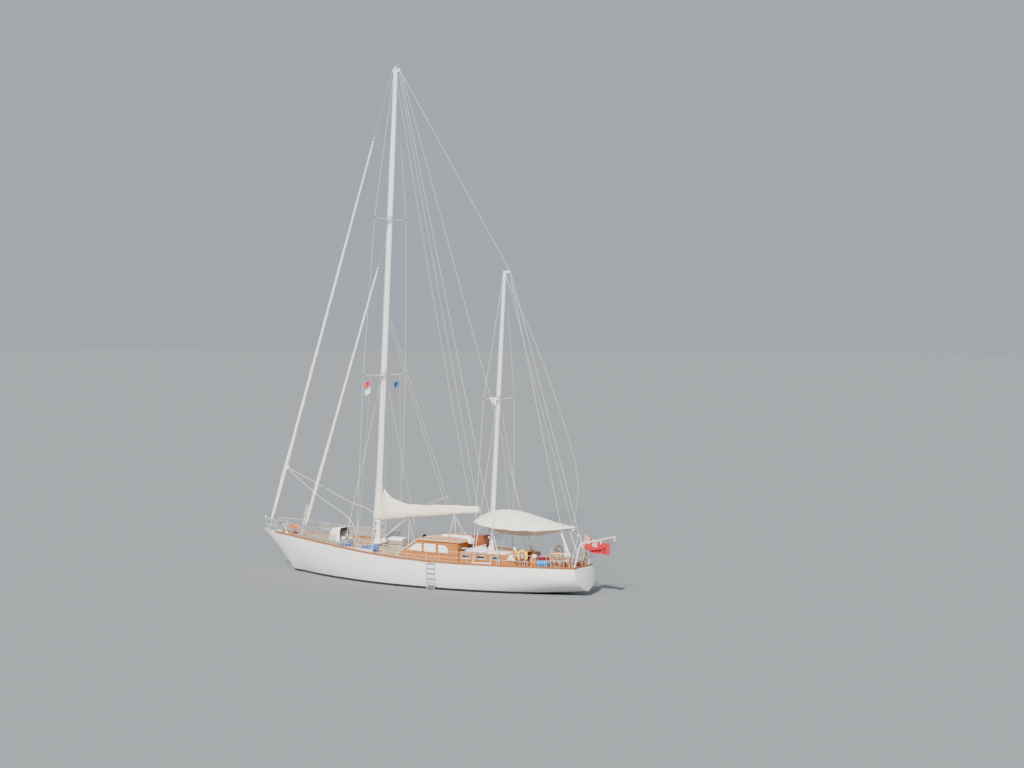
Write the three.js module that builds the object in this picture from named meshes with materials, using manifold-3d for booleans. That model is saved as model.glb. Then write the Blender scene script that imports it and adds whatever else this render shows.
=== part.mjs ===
// Ketch-rigged sailing yacht, 20 m long, with her sails furled.
// Millimetres. +X towards the bow, +Y to port, +Z up. The origin is amidships on the waterline.
import * as THREE from 'three';
import { mergeVertices } from 'three/addons/utils/BufferGeometryUtils.js';
import Module from 'manifold-3d';

const wasm = await Module();
wasm.setup();

// Driving dimensions
const GAP = 0.3;
const RUNNING_GAP = 8;
const BOW_X = 10000;
const STERN_X = -10100;
const MAX_BEAM_X = -600;
const HALF_BEAM = 2350;
const STERN_NARROWING = 1430;
const RAIL_LOW_Z = 1460;
const RAIL_SPRING = 630;
const RAIL_HEIGHT = 95;
const CAMBER_RATE = 0.022;
const DECK_THICKNESS = 38;
const DECK_MARGIN = 75;

// Small makers of geometry

function v(point) {
  return new THREE.Vector3(...point);
}

function toSolid(geometry) {
  const bare = geometry.clone();
  bare.deleteAttribute('normal');
  bare.deleteAttribute('uv');
  const merged = mergeVertices(bare, 0.001);
  return new wasm.Manifold(new wasm.Mesh({
    numProp: 3,
    vertProperties: merged.attributes.position.array,
    triVerts: new Uint32Array(merged.index.array),
  }));
}

function toGeometry(solid) {
  const mesh = solid.getMesh();
  const geometry = new THREE.BufferGeometry();
  const places = new Float32Array(mesh.numVert * 3);
  for (let i = 0; i < mesh.numVert; i += 1) {
    for (let k = 0; k < 3; k += 1) {
      places[i * 3 + k] = mesh.vertProperties[i * mesh.numProp + k];
    }
  }
  geometry.setAttribute('position', new THREE.BufferAttribute(places, 3));
  geometry.setIndex(Array.from(mesh.triVerts));
  geometry.computeVertexNormals();
  return geometry;
}

function join(...pieces) {
  return pieces.map(asSolid).reduce((sum, piece) => sum.add(piece));
}

function cut(body, ...tools) {
  return tools.map(asSolid).reduce((rest, tool) => rest.subtract(tool), asSolid(body));
}

function asSolid(piece) {
  return piece.isBufferGeometry ? toSolid(piece) : piece;
}

// A box from its low corner to its high corner.
function boxBetween(low, high) {
  const size = v(high).sub(v(low));
  const middle = v(high).add(v(low)).multiplyScalar(0.5);
  return new THREE.BoxGeometry(size.x, size.y, size.z).translate(middle.x, middle.y, middle.z);
}

// A round bar from point a to point b, with its own radius at each end.
function bar(a, b, radiusA, radiusB = radiusA, sides = 8) {
  const along = v(b).sub(v(a));
  const geometry = new THREE.CylinderGeometry(radiusB, radiusA, along.length(), sides);
  const direction = along.clone().normalize();
  const turn = new THREE.Quaternion().setFromUnitVectors(new THREE.Vector3(0, 1, 0), direction);
  const middle = v(a).add(along.multiplyScalar(0.5));
  return geometry.applyQuaternion(turn).translate(middle.x, middle.y, middle.z);
}

// A straight turned piece: rows of [distance from a, radius] along the line from a to b.
function turned(a, b, rows, sides = 10) {
  const along = v(b).sub(v(a)).normalize();
  const profile = rows.map(([distance, radius]) => new THREE.Vector2(radius, distance));
  const turn = new THREE.Quaternion().setFromUnitVectors(new THREE.Vector3(0, 1, 0), along);
  return new THREE.LatheGeometry(profile, sides).applyQuaternion(turn).translate(...a);
}

// A bent round tube through the given points.
function tube(points, radius, steps, sides = 8) {
  const section = new THREE.Shape();
  for (let i = 0; i < sides; i += 1) {
    const angle = (i / sides) * 2 * Math.PI;
    const place = [radius * Math.cos(angle), radius * Math.sin(angle)];
    if (i === 0) {
      section.moveTo(...place);
    } else {
      section.lineTo(...place);
    }
  }
  const path = new THREE.CatmullRomCurve3(points.map(v), false, 'centripetal');
  return new THREE.ExtrudeGeometry(section, { steps, bevelEnabled: false, extrudePath: path });
}

// Straight lengths of wire from each point to the next.
function lengths(points, radius) {
  return points.slice(1).map((end, i) => bar(points[i], end, radius, radius, 5));
}

// A line of wire through the given points, its bends filled by small balls.
function wire(points, radius) {
  const bends = points.slice(1, -1).map((bend) => {
    return new THREE.OctahedronGeometry(radius * 1.4, 0).translate(...bend);
  });
  return join(...lengths(points, radius), ...bends);
}

// A flat outline of [x, y] points, drawn up from z low to z high.
function prism(outline, low, high) {
  const shape = new THREE.Shape(outline.map(([x, y]) => new THREE.Vector2(x, y)));
  const geometry = new THREE.ExtrudeGeometry(shape, { depth: high - low, bevelEnabled: false });
  return geometry.translate(0, 0, low);
}

// A flat outline of [x, z] points, drawn across from y low to y high.
function sidePrism(outline, low, high) {
  const shape = new THREE.Shape(outline.map(([x, z]) => new THREE.Vector2(x, z)));
  const geometry = new THREE.ExtrudeGeometry(shape, { depth: high - low, bevelEnabled: false });
  return geometry.rotateX(Math.PI / 2).translate(0, high, 0);
}

// A closed skin over rings of points that all have the same count.
function loft(rings) {
  const places = [];
  const faces = [];
  const count = rings[0].length;
  rings.forEach((ring) => ring.forEach((place) => places.push(...place)));
  for (let r = 0; r + 1 < rings.length; r += 1) {
    for (let i = 0; i < count; i += 1) {
      const next = (i + 1) % count;
      const [a, b, c, d] = [r * count + i, r * count + next, (r + 1) * count + next, (r + 1) * count + i];
      faces.push(a, b, c, a, c, d);
    }
  }
  [0, rings.length - 1].forEach((r) => {
    const middle = rings[r].reduce((sum, place) => sum.add(v(place)), new THREE.Vector3());
    middle.multiplyScalar(1 / count);
    places.push(middle.x, middle.y, middle.z);
    const centre = places.length / 3 - 1;
    for (let i = 0; i < count; i += 1) {
      const pair = [r * count + i, r * count + ((i + 1) % count)];
      faces.push(centre, ...(r === 0 ? pair.reverse() : pair));
    }
  });
  const geometry = new THREE.BufferGeometry();
  geometry.setAttribute('position', new THREE.BufferAttribute(new Float32Array(places), 3));
  geometry.setIndex(faces);
  return geometry;
}

// A loft whose faces are turned outwards, whichever way its rings run.
function skin(rings) {
  const geometry = loft(rings);
  const solid = toSolid(geometry);
  if (solid.volume() > 0) {
    return solid;
  }
  return toSolid(loft(rings.map((ring) => [...ring].reverse())));
}

// Lines of the hull

function railZ(x) {
  const along = THREE.MathUtils.clamp((x + 4000) / 14000, 0, 1);
  return RAIL_LOW_Z + RAIL_SPRING * ((1 - Math.cos(Math.PI * along)) / 2) ** 1.15;
}

function deckEdgeZ(x) {
  return railZ(x) - RAIL_HEIGHT;
}

function deckHalf(x) {
  if (x > MAX_BEAM_X) {
    return HALF_BEAM * (1 - ((x - MAX_BEAM_X) / (BOW_X - MAX_BEAM_X)) ** 1.95);
  }
  return HALF_BEAM - STERN_NARROWING * ((MAX_BEAM_X - x) / 9150) ** 2;
}

function deckZ(x, y) {
  const half = Math.max(deckHalf(x), 1);
  return deckEdgeZ(x) + CAMBER_RATE * half * (1 - Math.abs(y) / half);
}

// Columns: x, height of the keel line, fullness of the section, roundness of the bilge, tumblehome
const STATIONS = [
  { x: 9990, keel: 1985, full: 1.2, round: 1.25, tumble: 0 },
  { x: 9400, keel: 1468, full: 1.2, round: 1.25, tumble: 0 },
  { x: 8700, keel: 745, full: 1.25, round: 1.25, tumble: 0 },
  { x: 7980, keel: 0, full: 1.35, round: 1.3, tumble: 0 },
  { x: 7100, keel: -190, full: 1.75, round: 1.5, tumble: 0 },
  { x: 6000, keel: -450, full: 2.2, round: 1.6, tumble: 0 },
  { x: 4600, keel: -720, full: 2.45, round: 1.6, tumble: 0 },
  { x: 3000, keel: -900, full: 2.7, round: 1.6, tumble: 0 },
  { x: 1000, keel: -1000, full: 3.05, round: 1.6, tumble: 0 },
  { x: -1000, keel: -970, full: 3.15, round: 1.6, tumble: 0 },
  { x: -3000, keel: -860, full: 3.2, round: 1.6, tumble: 0.01 },
  { x: -5000, keel: -620, full: 3.1, round: 1.6, tumble: 0.02 },
  { x: -7000, keel: -250, full: 3.0, round: 1.6, tumble: 0.05 },
  { x: -8400, keel: 35, full: 3.0, round: 1.6, tumble: 0.09 },
  { x: -9400, keel: 180, full: 2.8, round: 1.55, tumble: 0.12 },
  { x: STERN_X, keel: 262, full: 2.6, round: 1.5, tumble: 0.13 },
];
const GIRTH_STEPS = [0, 0.16, 0.32, 0.48, 0.62, 0.74, 0.84, 0.92, 0.975, 1];

function hullRing({ x, keel, full, round, tumble }) {
  const half = deckHalf(x);
  const edge = deckEdgeZ(x);
  const port = GIRTH_STEPS.map((s) => {
    const shape = Math.max(1 - s ** full, 0) ** (1 / round);
    return [x, half * shape * (1 + tumble * Math.sin(Math.PI * s)), edge + (keel - edge) * s];
  });
  const starboard = port.slice(0, -1).reverse().map(([px, py, pz]) => [px, -py, pz]);
  return [[x, 0, deckZ(x, 0)], ...port, ...starboard];
}

// The transom leans forward towards its top.
const TRANSOM = { footX: -10000, footZ: 250, topX: -9720, topZ: 1450 };

function transomX(z) {
  const { footX, footZ, topX, topZ } = TRANSOM;
  return footX + ((z - footZ) / (topZ - footZ)) * (topX - footX);
}

function behindTransom() {
  const [aft, low, high] = [-12000, -400, 2400];
  const outline = [[aft, low], [transomX(low), low], [transomX(high), high], [aft, high]];
  return sidePrism(outline, -2000, 2000);
}

function hullForm() {
  return cut(skin(STATIONS.map(hullRing)), behindTransom());
}

const HULL_FORM = hullForm();
const ABOVE_DECK = HULL_FORM.add(HULL_FORM.translate(0, 0, GAP));

// Whatever stands on the deck is trimmed to the deck's own curve.
function onDeck(piece) {
  return cut(piece, ABOVE_DECK);
}

function deckOutline(margin) {
  const xs = [9600, 8700, 7980, 7100, 6000, 4600, 3000, 1000, -1000, -3000, -5000, -7000, -8400, -9560];
  const port = xs.map((x) => [x, Math.max(deckHalf(x) - margin, 12)]);
  const starboard = [...port].reverse().map(([x, y]) => [x, -y]);
  return [...port, ...starboard];
}

// Underwater shape: rows of a foil from its top to its tip
const KEEL = [
  { z: -560, lead: 3350, trail: -2900, half: 230 },
  { z: -1300, lead: 3000, trail: -2450, half: 200 },
  { z: -1950, lead: 2650, trail: -2250, half: 235 },
  { z: -2420, lead: 2330, trail: -2100, half: 225 },
  { z: -2600, lead: 2050, trail: -1950, half: 120 },
];
const SKEG = [
  { z: 0, lead: -5600, trail: -6935, half: 75 },
  { z: -1000, lead: -6130, trail: -6935, half: 75 },
  { z: -1780, lead: -6540, trail: -6935, half: 66 },
];
const FOIL_STEPS = [[0, 0.04], [0.04, 0.42], [0.14, 0.78], [0.3, 1], [0.52, 0.92], [0.78, 0.5], [1, 0.06]];
const SKEG_STEPS = [[0, 0.06], [0.1, 0.5], [0.35, 0.9], [0.7, 1], [1, 1]];

function foil(rows, steps) {
  const rings = rows.map(({ z, lead, trail, half }) => {
    const port = steps.map(([share, thick]) => [lead + (trail - lead) * share, half * thick, z]);
    return [...port, ...[...port].reverse().map(([x, y]) => [x, -y, z])];
  });
  return skin(rings);
}

function ballastKeel() {
  return cut(foil(KEEL, FOIL_STEPS), HULL_FORM, HULL_FORM.translate(0, 0, -GAP));
}

// Rudder: a blade behind the skeg, turning about an upright stock
const STOCK = { x: -7020, radius: 45, blade: -310, foot: -1800 };
const RUDDER_STEPS = [[0, 0.35], [0.03, 0.86], [0.08, 1], [0.3, 0.88], [0.65, 0.52], [1, 0.1]];

function rudder() {
  const nose = 74;
  const blade = foil([
    { z: STOCK.blade, lead: STOCK.x + nose, trail: -7960, half: 70 },
    { z: STOCK.foot, lead: STOCK.x + nose, trail: -7760, half: 55 },
  ], RUDDER_STEPS);
  const stock = bar([STOCK.x, 0, STOCK.blade - 300], [STOCK.x, 0, -130], STOCK.radius, STOCK.radius, 12);
  return join(blade, stock);
}

// Propeller shaft line, running down aft out of the deadwood
const SHAFT = { start: [-4150, 0, -700], end: [-5560, 0, -960], radius: 24 };
const SHAFT_DIR = v(SHAFT.end).sub(v(SHAFT.start)).normalize();
const PROPELLER_RADIUS = 270;

function alongShaft(distance) {
  return v(SHAFT.end).addScaledVector(SHAFT_DIR, distance).toArray();
}

function propellerBlade(angle) {
  const outline = new THREE.Shape();
  outline.moveTo(-26, 30);
  outline.bezierCurveTo(-110, 110, -110, PROPELLER_RADIUS, 10, PROPELLER_RADIUS);
  outline.bezierCurveTo(105, PROPELLER_RADIUS, 95, 110, 26, 30);
  const blade = new THREE.ExtrudeGeometry(outline, { depth: 14, bevelEnabled: false, curveSegments: 5 });
  return blade.translate(0, 0, -7).rotateY(0.6).rotateX(angle);
}

function propeller() {
  const turn = new THREE.Quaternion().setFromUnitVectors(new THREE.Vector3(-1, 0, 0), SHAFT_DIR);
  const blades = [0, 1, 2].map((i) => {
    const blade = propellerBlade((i * 2 * Math.PI) / 3);
    return blade.applyQuaternion(turn).translate(...alongShaft(0));
  });
  const hub = turned(alongShaft(-60), alongShaft(140), [[0, 0], [0, 44], [90, 46], [140, 34], [190, 0]], 12);
  const shaft = bar(SHAFT.start, alongShaft(0), SHAFT.radius, SHAFT.radius, 10);
  return join(hub, shaft, ...blades);
}

function shaftBracket() {
  const [front, back] = [alongShaft(-330), alongShaft(-170)];
  const middle = alongShaft(-250);
  const boss = bar(front, back, 60, 56, 12);
  const leg = sidePrism([
    [middle[0] + 60, middle[2] + 30],
    [middle[0] - 60, middle[2] + 30],
    [middle[0] - 75, -300],
    [middle[0] + 75, -300],
  ], -13, 13);
  const room = SHAFT.radius + RUNNING_GAP;
  const bore = bar(alongShaft(-900), alongShaft(100), room, room, 12);
  return cut(join(boss, leg), bore, HULL_FORM.translate(0, 0, -GAP));
}

// Hollows let down into the hull from the deck: low and high corners. The aft stair opens out of the
// cockpit, and the main stair leads down into the saloon.
const COCKPIT = [[-8950, -720, 850], [-6850, 720, 3000]];
const AFT_STAIR = [[-6900, -310, 850], [-5900, 310, 3000]];
const SALOON = [[-3150, -1150, 380], [-650, 1150, 3000]];
const ENGINE_BAY = [[-2600, -430, -380], [-1100, 430, 400]];
const MAIN_STAIR = [[-4130, -290, 600], [-3100, 290, 3000]];
const FORE_HATCH_WELL = [[4840, -300, 1000], [5280, 300, 3000]];
const SKYLIGHT_WELL = [[820, -290, 1100], [1560, 290, 3000]];
const SKYLIGHT = { low: [770, -340, 1500], high: [1610, 340, 2080] };
const WELLS = [COCKPIT, AFT_STAIR, SALOON, MAIN_STAIR, FORE_HATCH_WELL, SKYLIGHT_WELL];
const FORE_HATCH = { low: [4780, -360, 1600], high: [5340, 360, 1985] };

function wellBoxes() {
  return WELLS.map(([low, high]) => boxBetween(low, high));
}

// The hatch coamings stand up through the deck from the hull's beams; room is what the deck leaves
// round them.
function coamings(room) {
  return [FORE_HATCH, SKYLIGHT].map(({ low, high }) => boxBetween(
    [low[0] - room, low[1] - room, low[2]],
    [high[0] + room, high[1] + room, high[2]],
  ));
}

function hull() {
  const deckLayer = cut(toSolid(prism(deckOutline(DECK_MARGIN - GAP), 1200, 3000)),
    HULL_FORM.translate(0, 0, -DECK_THICKNESS - GAP));
  const body = cut(join(HULL_FORM, foil(SKEG, SKEG_STEPS)), deckLayer);
  const [stockRoom, shaftRoom] = [STOCK.radius + RUNNING_GAP, SHAFT.radius + RUNNING_GAP];
  const stockBore = bar([STOCK.x, 0, -600], [STOCK.x, 0, -100], stockRoom, stockRoom, 12);
  const shaftTop = v(SHAFT.start).addScaledVector(SHAFT_DIR, -30).toArray();
  const shaftBore = bar(shaftTop, alongShaft(-600), shaftRoom, shaftRoom, 10);
  const bores = [stockBore, shaftBore, boxBetween(...ENGINE_BAY)];
  return cut(join(body, ...coamings(0)), ...bores, ...wellBoxes());
}

// The hull is built in four lengths between its main bulkheads.
const HULL_LENGTHS = [
  { name: 'hull_bow', aft: 3900, fore: 12000 },
  { name: 'hull_forward', aft: -300, fore: 3900 },
  { name: 'hull_saloon', aft: -5100, fore: -300 },
  { name: 'hull_stern', aft: -12000, fore: -5100 },
];

function lengthOf(body, { aft, fore }) {
  return body.intersect(toSolid(boxBetween([aft + GAP / 2, -3000, -3000], [fore - GAP / 2, 3000, 3000])));
}

function deck() {
  const layer = toSolid(prism(deckOutline(DECK_MARGIN), 1200, 3000)).intersect(HULL_FORM);
  return cut(layer, HULL_FORM.translate(0, 0, -DECK_THICKNESS), ...coamings(GAP), ...wellBoxes());
}

// Toe rail with its cap, one half for each side
function railHalf(side) {
  const xs = [9490, 8700, 7980, 7100, 6000, 4600, 3000, 1000, -1000, -3000, -5000, -7000, -8400, -9620];
  const [width, overhang, capWidth, capDepth] = [48, 12, 84, 32];
  const rings = xs.map((x) => {
    const outer = deckHalf(x) + overhang;
    const low = deckEdgeZ(x) + 6;
    const high = railZ(x);
    const inner = Math.max(outer - overhang - width, 3);
    const capInner = Math.max(outer - capWidth, 2);
    return [
      [x, side * outer, low], [x, side * outer, high], [x, side * capInner, high],
      [x, side * capInner, high - capDepth], [x, side * inner, high - capDepth], [x, side * inner, low],
    ];
  });
  return onDeck(skin(rings));
}

// The space of a rail half with a hair of room on its inner side and above it
function railRoom(side) {
  const rail = railHalf(side);
  return join(rail, rail.translate(0, -side * GAP, 0), rail.translate(0, 0, GAP));
}

function taffrail() {
  const half = deckHalf(-9650) - 40;
  return onDeck(sidePrism([[-9700, 1300], [-9622, 1300], [-9622, 1470], [-9712, 1470]], -half, half));
}

// Deckhouse: raked front, four walls and a roof, with three windows cut in each side
const HOUSE = {
  side: 1450,
  wall: 42,
  frontFootX: 190,
  frontTopX: -850,
  aftTopX: -3380,
  aftFootX: -3440,
  roofZ: 2300,
};
const WINDOW_SILL = 1755;

function houseSideOutline(inset) {
  const { frontFootX, frontTopX, aftTopX, aftFootX, roofZ } = HOUSE;
  return [[frontFootX - inset, 1000], [frontFootX - inset, 1640], [frontTopX - inset, roofZ],
    [aftTopX + inset, roofZ], [aftFootX + inset, 1000]];
}

// Rows of a window's corners as [x, z], from its front lower corner upwards
const WINDOWS = [
  [[-330, 1790], [-760, 2120], [-840, 2160], [-1210, 2185], [-1210, WINDOW_SILL - 5]],
  [[-1320, WINDOW_SILL], [-1320, 2190], [-2070, 2190], [-2070, WINDOW_SILL]],
  [[-2190, WINDOW_SILL], [-2190, 2175], [-2560, 2160], [-2740, 2080], [-2820, 1940], [-2820, WINDOW_SILL]],
];

function houseSide(side) {
  const { side: halfWidth, wall } = HOUSE;
  const [low, high] = side > 0 ? [halfWidth - wall, halfWidth] : [-halfWidth, wall - halfWidth];
  const panel = sidePrism(houseSideOutline(0), low, high);
  const openings = WINDOWS.map((outline) => sidePrism(outline, low - 10, high + 10));
  return onDeck(cut(panel, ...openings));
}

// An outline drawn in towards its own middle.
function drawnIn(outline, shareX, shareZ) {
  const middle = [0, 1].map((k) => outline.reduce((sum, corner) => sum + corner[k], 0) / outline.length);
  return outline.map(([x, z]) => [
    middle[0] + (x - middle[0]) * shareX,
    middle[1] + (z - middle[1]) * shareZ,
  ]);
}

// Padded covers that fill the side windows, on one backing sheet
function windowCovers(side) {
  const { side: halfWidth, wall } = HOUSE;
  const inner = halfWidth - wall - GAP;
  const order = (a, b) => (side > 0 ? [a, b] : [-b, -a]);
  const pads = WINDOWS.map((outline) => {
    return sidePrism(drawnIn(outline, 0.985, 0.975), ...order(inner - 4, halfWidth + 12));
  });
  const backing = sidePrism([[-420, 1790], [-880, 2150], [-2560, 2150], [-2760, 2000], [-2760, 1790]],
    ...order(inner - 14, inner));
  return join(backing, ...pads);
}

function houseFront() {
  const { side, wall, frontFootX, frontTopX, roofZ } = HOUSE;
  const half = side - wall - GAP;
  const outline = [[frontFootX, 1000], [frontFootX, 1640], [frontTopX, roofZ], [frontTopX - wall, roofZ],
    [frontFootX - wall - 20, 1640], [frontFootX - wall - 20, 1000]];
  const panes = [[-1180, -180], [180, 1180]].map(([low, high]) => sidePrism([
    [60, 1705], [-560, 2110], [-760, 2110], [-160, 1705]], low, high));
  return onDeck(cut(sidePrism(outline, -half, half), ...panes));
}

function houseAft() {
  const { side, wall, aftTopX, aftFootX, roofZ } = HOUSE;
  const half = side - wall - GAP;
  const outline = [[aftFootX, 1000], [aftFootX + wall, 1000], [aftTopX + wall, roofZ], [aftTopX, roofZ]];
  return onDeck(sidePrism(outline, -half, half));
}

function houseRoof() {
  const [foot, edge, crown] = [HOUSE.roofZ + GAP, 62, 62];
  const rings = [[-760, 1360], [-860, 1440], [-2100, 1500], [-3430, 1480], [-3490, 1440]].map(([x, half]) => {
    const arch = [1, 0.8, 0.45, 0].map((share) => [x, half * share, foot + edge + crown * (1 - share ** 2)]);
    const mirror = arch.slice(0, -1).reverse().map(([px, py, pz]) => [px, -py, pz]);
    return [[x, half, foot], ...arch, ...mirror, [x, -half, foot]];
  });
  return skin(rings);
}

// Low trunk abaft the deckhouse, with recessed port lights and a coaming for the aft sliding hatch
const AFT_HATCH = { low: [-6660, -370, 1925], high: [-5860, 370, 1965] };
const COAMING_TOP = AFT_HATCH.low[2] - RUNNING_GAP;
const TRUNK = { side: 1400, frontX: -3445, aftX: -6600, topZ: 1885, aftTopZ: 1840 };
const PORT_LIGHTS = [-3810, -4670, -5540];

function aftTrunk() {
  const { side, frontX, aftX, topZ, aftTopZ } = TRUNK;
  const rings = [[frontX, topZ], [-5200, topZ - 10], [aftX, aftTopZ]].map(([x, top]) => {
    const half = side - (frontX - x) * 0.06;
    return [[x, half + 25, 900], [x, half, top - 45], [x, half - 60, top], [x, 0, top + 25],
      [x, 60 - half, top], [x, -half, top - 45], [x, -half - 25, 900]];
  });
  const recesses = PORT_LIGHTS.flatMap((x) => {
    const outline = [
      [x - 190, 1610], [x + 190, 1610], [x + 225, 1680],
      [x + 190, 1750], [x - 190, 1750], [x - 225, 1680],
    ];
    return [sidePrism(outline, 1230, 1600), sidePrism(outline, -1600, -1230)];
  });
  const coaming = boxBetween([AFT_HATCH.low[0] + 20, -350, 1700], [AFT_HATCH.high[0] - 20, 350, COAMING_TOP]);
  const body = join(skin(rings), coaming);
  return onDeck(cut(body, ...recesses, boxBetween(...AFT_STAIR), boxBetween(...MAIN_STAIR)));
}

const ON_TRUNK = aftTrunk().translate(0, 0, GAP);

// Varnished box over the main stair, with a hatch that slides forward over the deckhouse roof
const STAIR_BOX = { low: [-4190, -350, 1700], high: [-3500, 350, 2560], wall: 40, lid: 38 };

function stairBox() {
  const { low, high, wall } = STAIR_BOX;
  const inside = boxBetween([low[0] + wall, low[1] + wall, 1000], [high[0] - wall, high[1] - wall, 3000]);
  return cut(boxBetween(low, high), inside, ON_TRUNK);
}

function stairSlide() {
  const { low, high, lid } = STAIR_BOX;
  const outline = [
    [low[0] - 15, high[2] + 6], [low[0] - 15, high[2] + lid],
    [high[0] + 30, high[2] + lid + 12], [high[0] + 30, high[2] + 6],
  ];
  return toSolid(sidePrism(outline, low[1] - 15, high[1] + 15));
}

function aftHatch() {
  return toSolid(boxBetween(AFT_HATCH.low, AFT_HATCH.high));
}

// Fore hatch with its folding hood, whose mouth looks aft
const HOOD = { aftX: 4720, foreX: 5420, half: 450, topZ: 2520, cloth: 30 };

function foreHatchLid() {
  return toSolid(boxBetween([4760, -380, 1993], [5330, 380, 2035]));
}

// The hood from its open mouth, over the top and down to its foot
function hoodOutline(mouthX, inset) {
  const { foreX, topZ } = HOOD;
  return [
    [mouthX, 1500], [mouthX, topZ - inset], [foreX - 240 - inset, topZ - inset - 10],
    [foreX - 60 - inset, topZ - 150 - inset], [foreX - inset, 1900], [foreX - inset, 1500],
  ];
}

function foreHood() {
  const { aftX, half, cloth } = HOOD;
  const outside = sidePrism(hoodOutline(aftX, 0), -half, half);
  const inside = sidePrism(hoodOutline(aftX - 50, cloth), cloth - half, half - cloth);
  return onDeck(cut(outside, inside));
}

// The skylight's lid is hinged along its fore edge.
function skylightLid() {
  const { low, high } = SKYLIGHT;
  const outline = [[low[1] - 25, high[2] + 8], [high[1] + 25, high[2] + 8], [high[1] + 25, high[2] + 50],
    [0, high[2] + 110], [low[1] - 25, high[2] + 50]];
  const rings = [low[0] - 25, high[0] + 25].map((x) => outline.map(([y, z]) => [x, y, z]));
  return skin(rings);
}

// Masts: oval sections in rows of height, centre x, half length fore and aft, half width
const MAIN_MAST = [
  { z: 1500, x: 2608, fore: 165, side: 118 },
  { z: 12000, x: 2073, fore: 165, side: 118 },
  { z: 21000, x: 1618, fore: 150, side: 108 },
  { z: 26300, x: 1352, fore: 105, side: 82 },
];
const MIZZEN_MAST = [
  { z: 1500, x: -4420, fore: 118, side: 88 },
  { z: 9500, x: -4882, fore: 115, side: 86 },
  { z: 15850, x: -5248, fore: 82, side: 66 },
];

function mastForm(rows, extra = 0, sides = 12) {
  return skin(rows.map(({ z, x, fore, side }) => Array.from({ length: sides }, (_, i) => {
    const angle = (i / sides) * 2 * Math.PI;
    return [x + (fore + extra) * Math.cos(angle), (side + extra) * Math.sin(angle), z];
  })));
}

function mastX(rows, z) {
  const after = Math.max(rows.findIndex((row) => row.z >= z), 1);
  const [a, b] = [rows[after - 1], rows[after]];
  return a.x + ((b.x - a.x) * (z - a.z)) / (b.z - a.z);
}

function mastArms(mast, { z, half, rise, rake, chord }) {
  const x = mastX(mast, z);
  return [1, -1].map((side) => {
    return bar([x, side * 60, z], [x - rake, side * half, z + rise], chord, chord * 0.6, 8);
  });
}

const LOWER = { z: 10550, half: 1850, rise: 60, rake: 40, chord: 42 };
const UPPER = { z: 18600, half: 1380, rise: 90, rake: 30, chord: 36 };
const MIZZEN_SPREAD = { z: 9430, half: 1430, rise: 90, rake: 30, chord: 32 };

function tipOf(mast, { z, half, rise, rake }, out = 20) {
  return [mastX(mast, z) - rake, half + out, z + rise];
}

function mainMast() {
  const head = boxBetween([1080, -50, 26180], [1560, 50, 26330]);
  const cap = boxBetween([1180, -110, 26290], [1500, 110, 26330]);
  const wand = bar([1260, 0, 26320], [1260, 0, 26700], 9, 6, 6);
  const vane = bar([1430, 0, 26320], [1430, 0, 26560], 12, 12, 6);
  const arms = [LOWER, UPPER].flatMap((row) => mastArms(MAIN_MAST, row));
  return onDeck(join(mastForm(MAIN_MAST), ...arms, head, cap, wand, vane));
}

function mizzenMast() {
  const crane = boxBetween([-5520, -40, 15740], [-5160, 40, 15850]);
  const bracket = sidePrism([[-4800, 9540], [-4350, 9540], [-4350, 9490], [-4800, 9050]], -45, 45);
  const arms = mastArms(MIZZEN_MAST, MIZZEN_SPREAD);
  return cut(join(mastForm(MIZZEN_MAST), ...arms, crane, bracket), ON_TRUNK, ABOVE_DECK);
}

// Standing rigging
const WIRE = 8;

function mirrored([x, y, z], side) {
  return [x, side * y, z];
}

// Each fan of shrouds stands on one strap that runs along the rail.
function shrouds(side, { lines, strap }) {
  const wires = lines.map((points) => wire(points.map((place) => mirrored(place, side)), WIRE));
  const [[aftX, aftY], [foreX, foreY]] = strap.ends;
  const outline = [[aftX, aftY - 7], [foreX, foreY - 7], [foreX, foreY + 7], [aftX, aftY + 7]];
  const plate = prism(outline.map(([x, y]) => [x, side * y]), strap.z - 110, strap.z + 60);
  return cut(join(plate, ...wires), ABOVE_DECK, railRoom(side));
}

const MAIN_SHROUDS = {
  strap: { ends: [[1380, 2085], [3420, 1850]], z: 1700 },
  lines: [
    [[2500, 1956, 1720], tipOf(MAIN_MAST, LOWER), tipOf(MAIN_MAST, UPPER), [1410, 110, 26080]],
    [[3380, 1855, 1730], [mastX(MAIN_MAST, 10350) + 60, 150, 10350]],
    [[1440, 2078, 1710], [mastX(MAIN_MAST, 10350) - 60, 150, 10350]],
  ],
};
const MIZZEN_SHROUDS = {
  strap: { ends: [[-5560, 1760], [-4500, 1925]], z: 1450 },
  lines: [
    [[-4560, 1916, 1470], tipOf(MIZZEN_MAST, MIZZEN_SPREAD), [mastX(MIZZEN_MAST, 15600), 95, 15600]],
    [[-4600, 1909, 1470], [mastX(MIZZEN_MAST, 9200) + 40, 115, 9200]],
    [[-5500, 1769, 1470], [mastX(MIZZEN_MAST, 9200) - 40, 115, 9200]],
  ],
};

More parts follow.
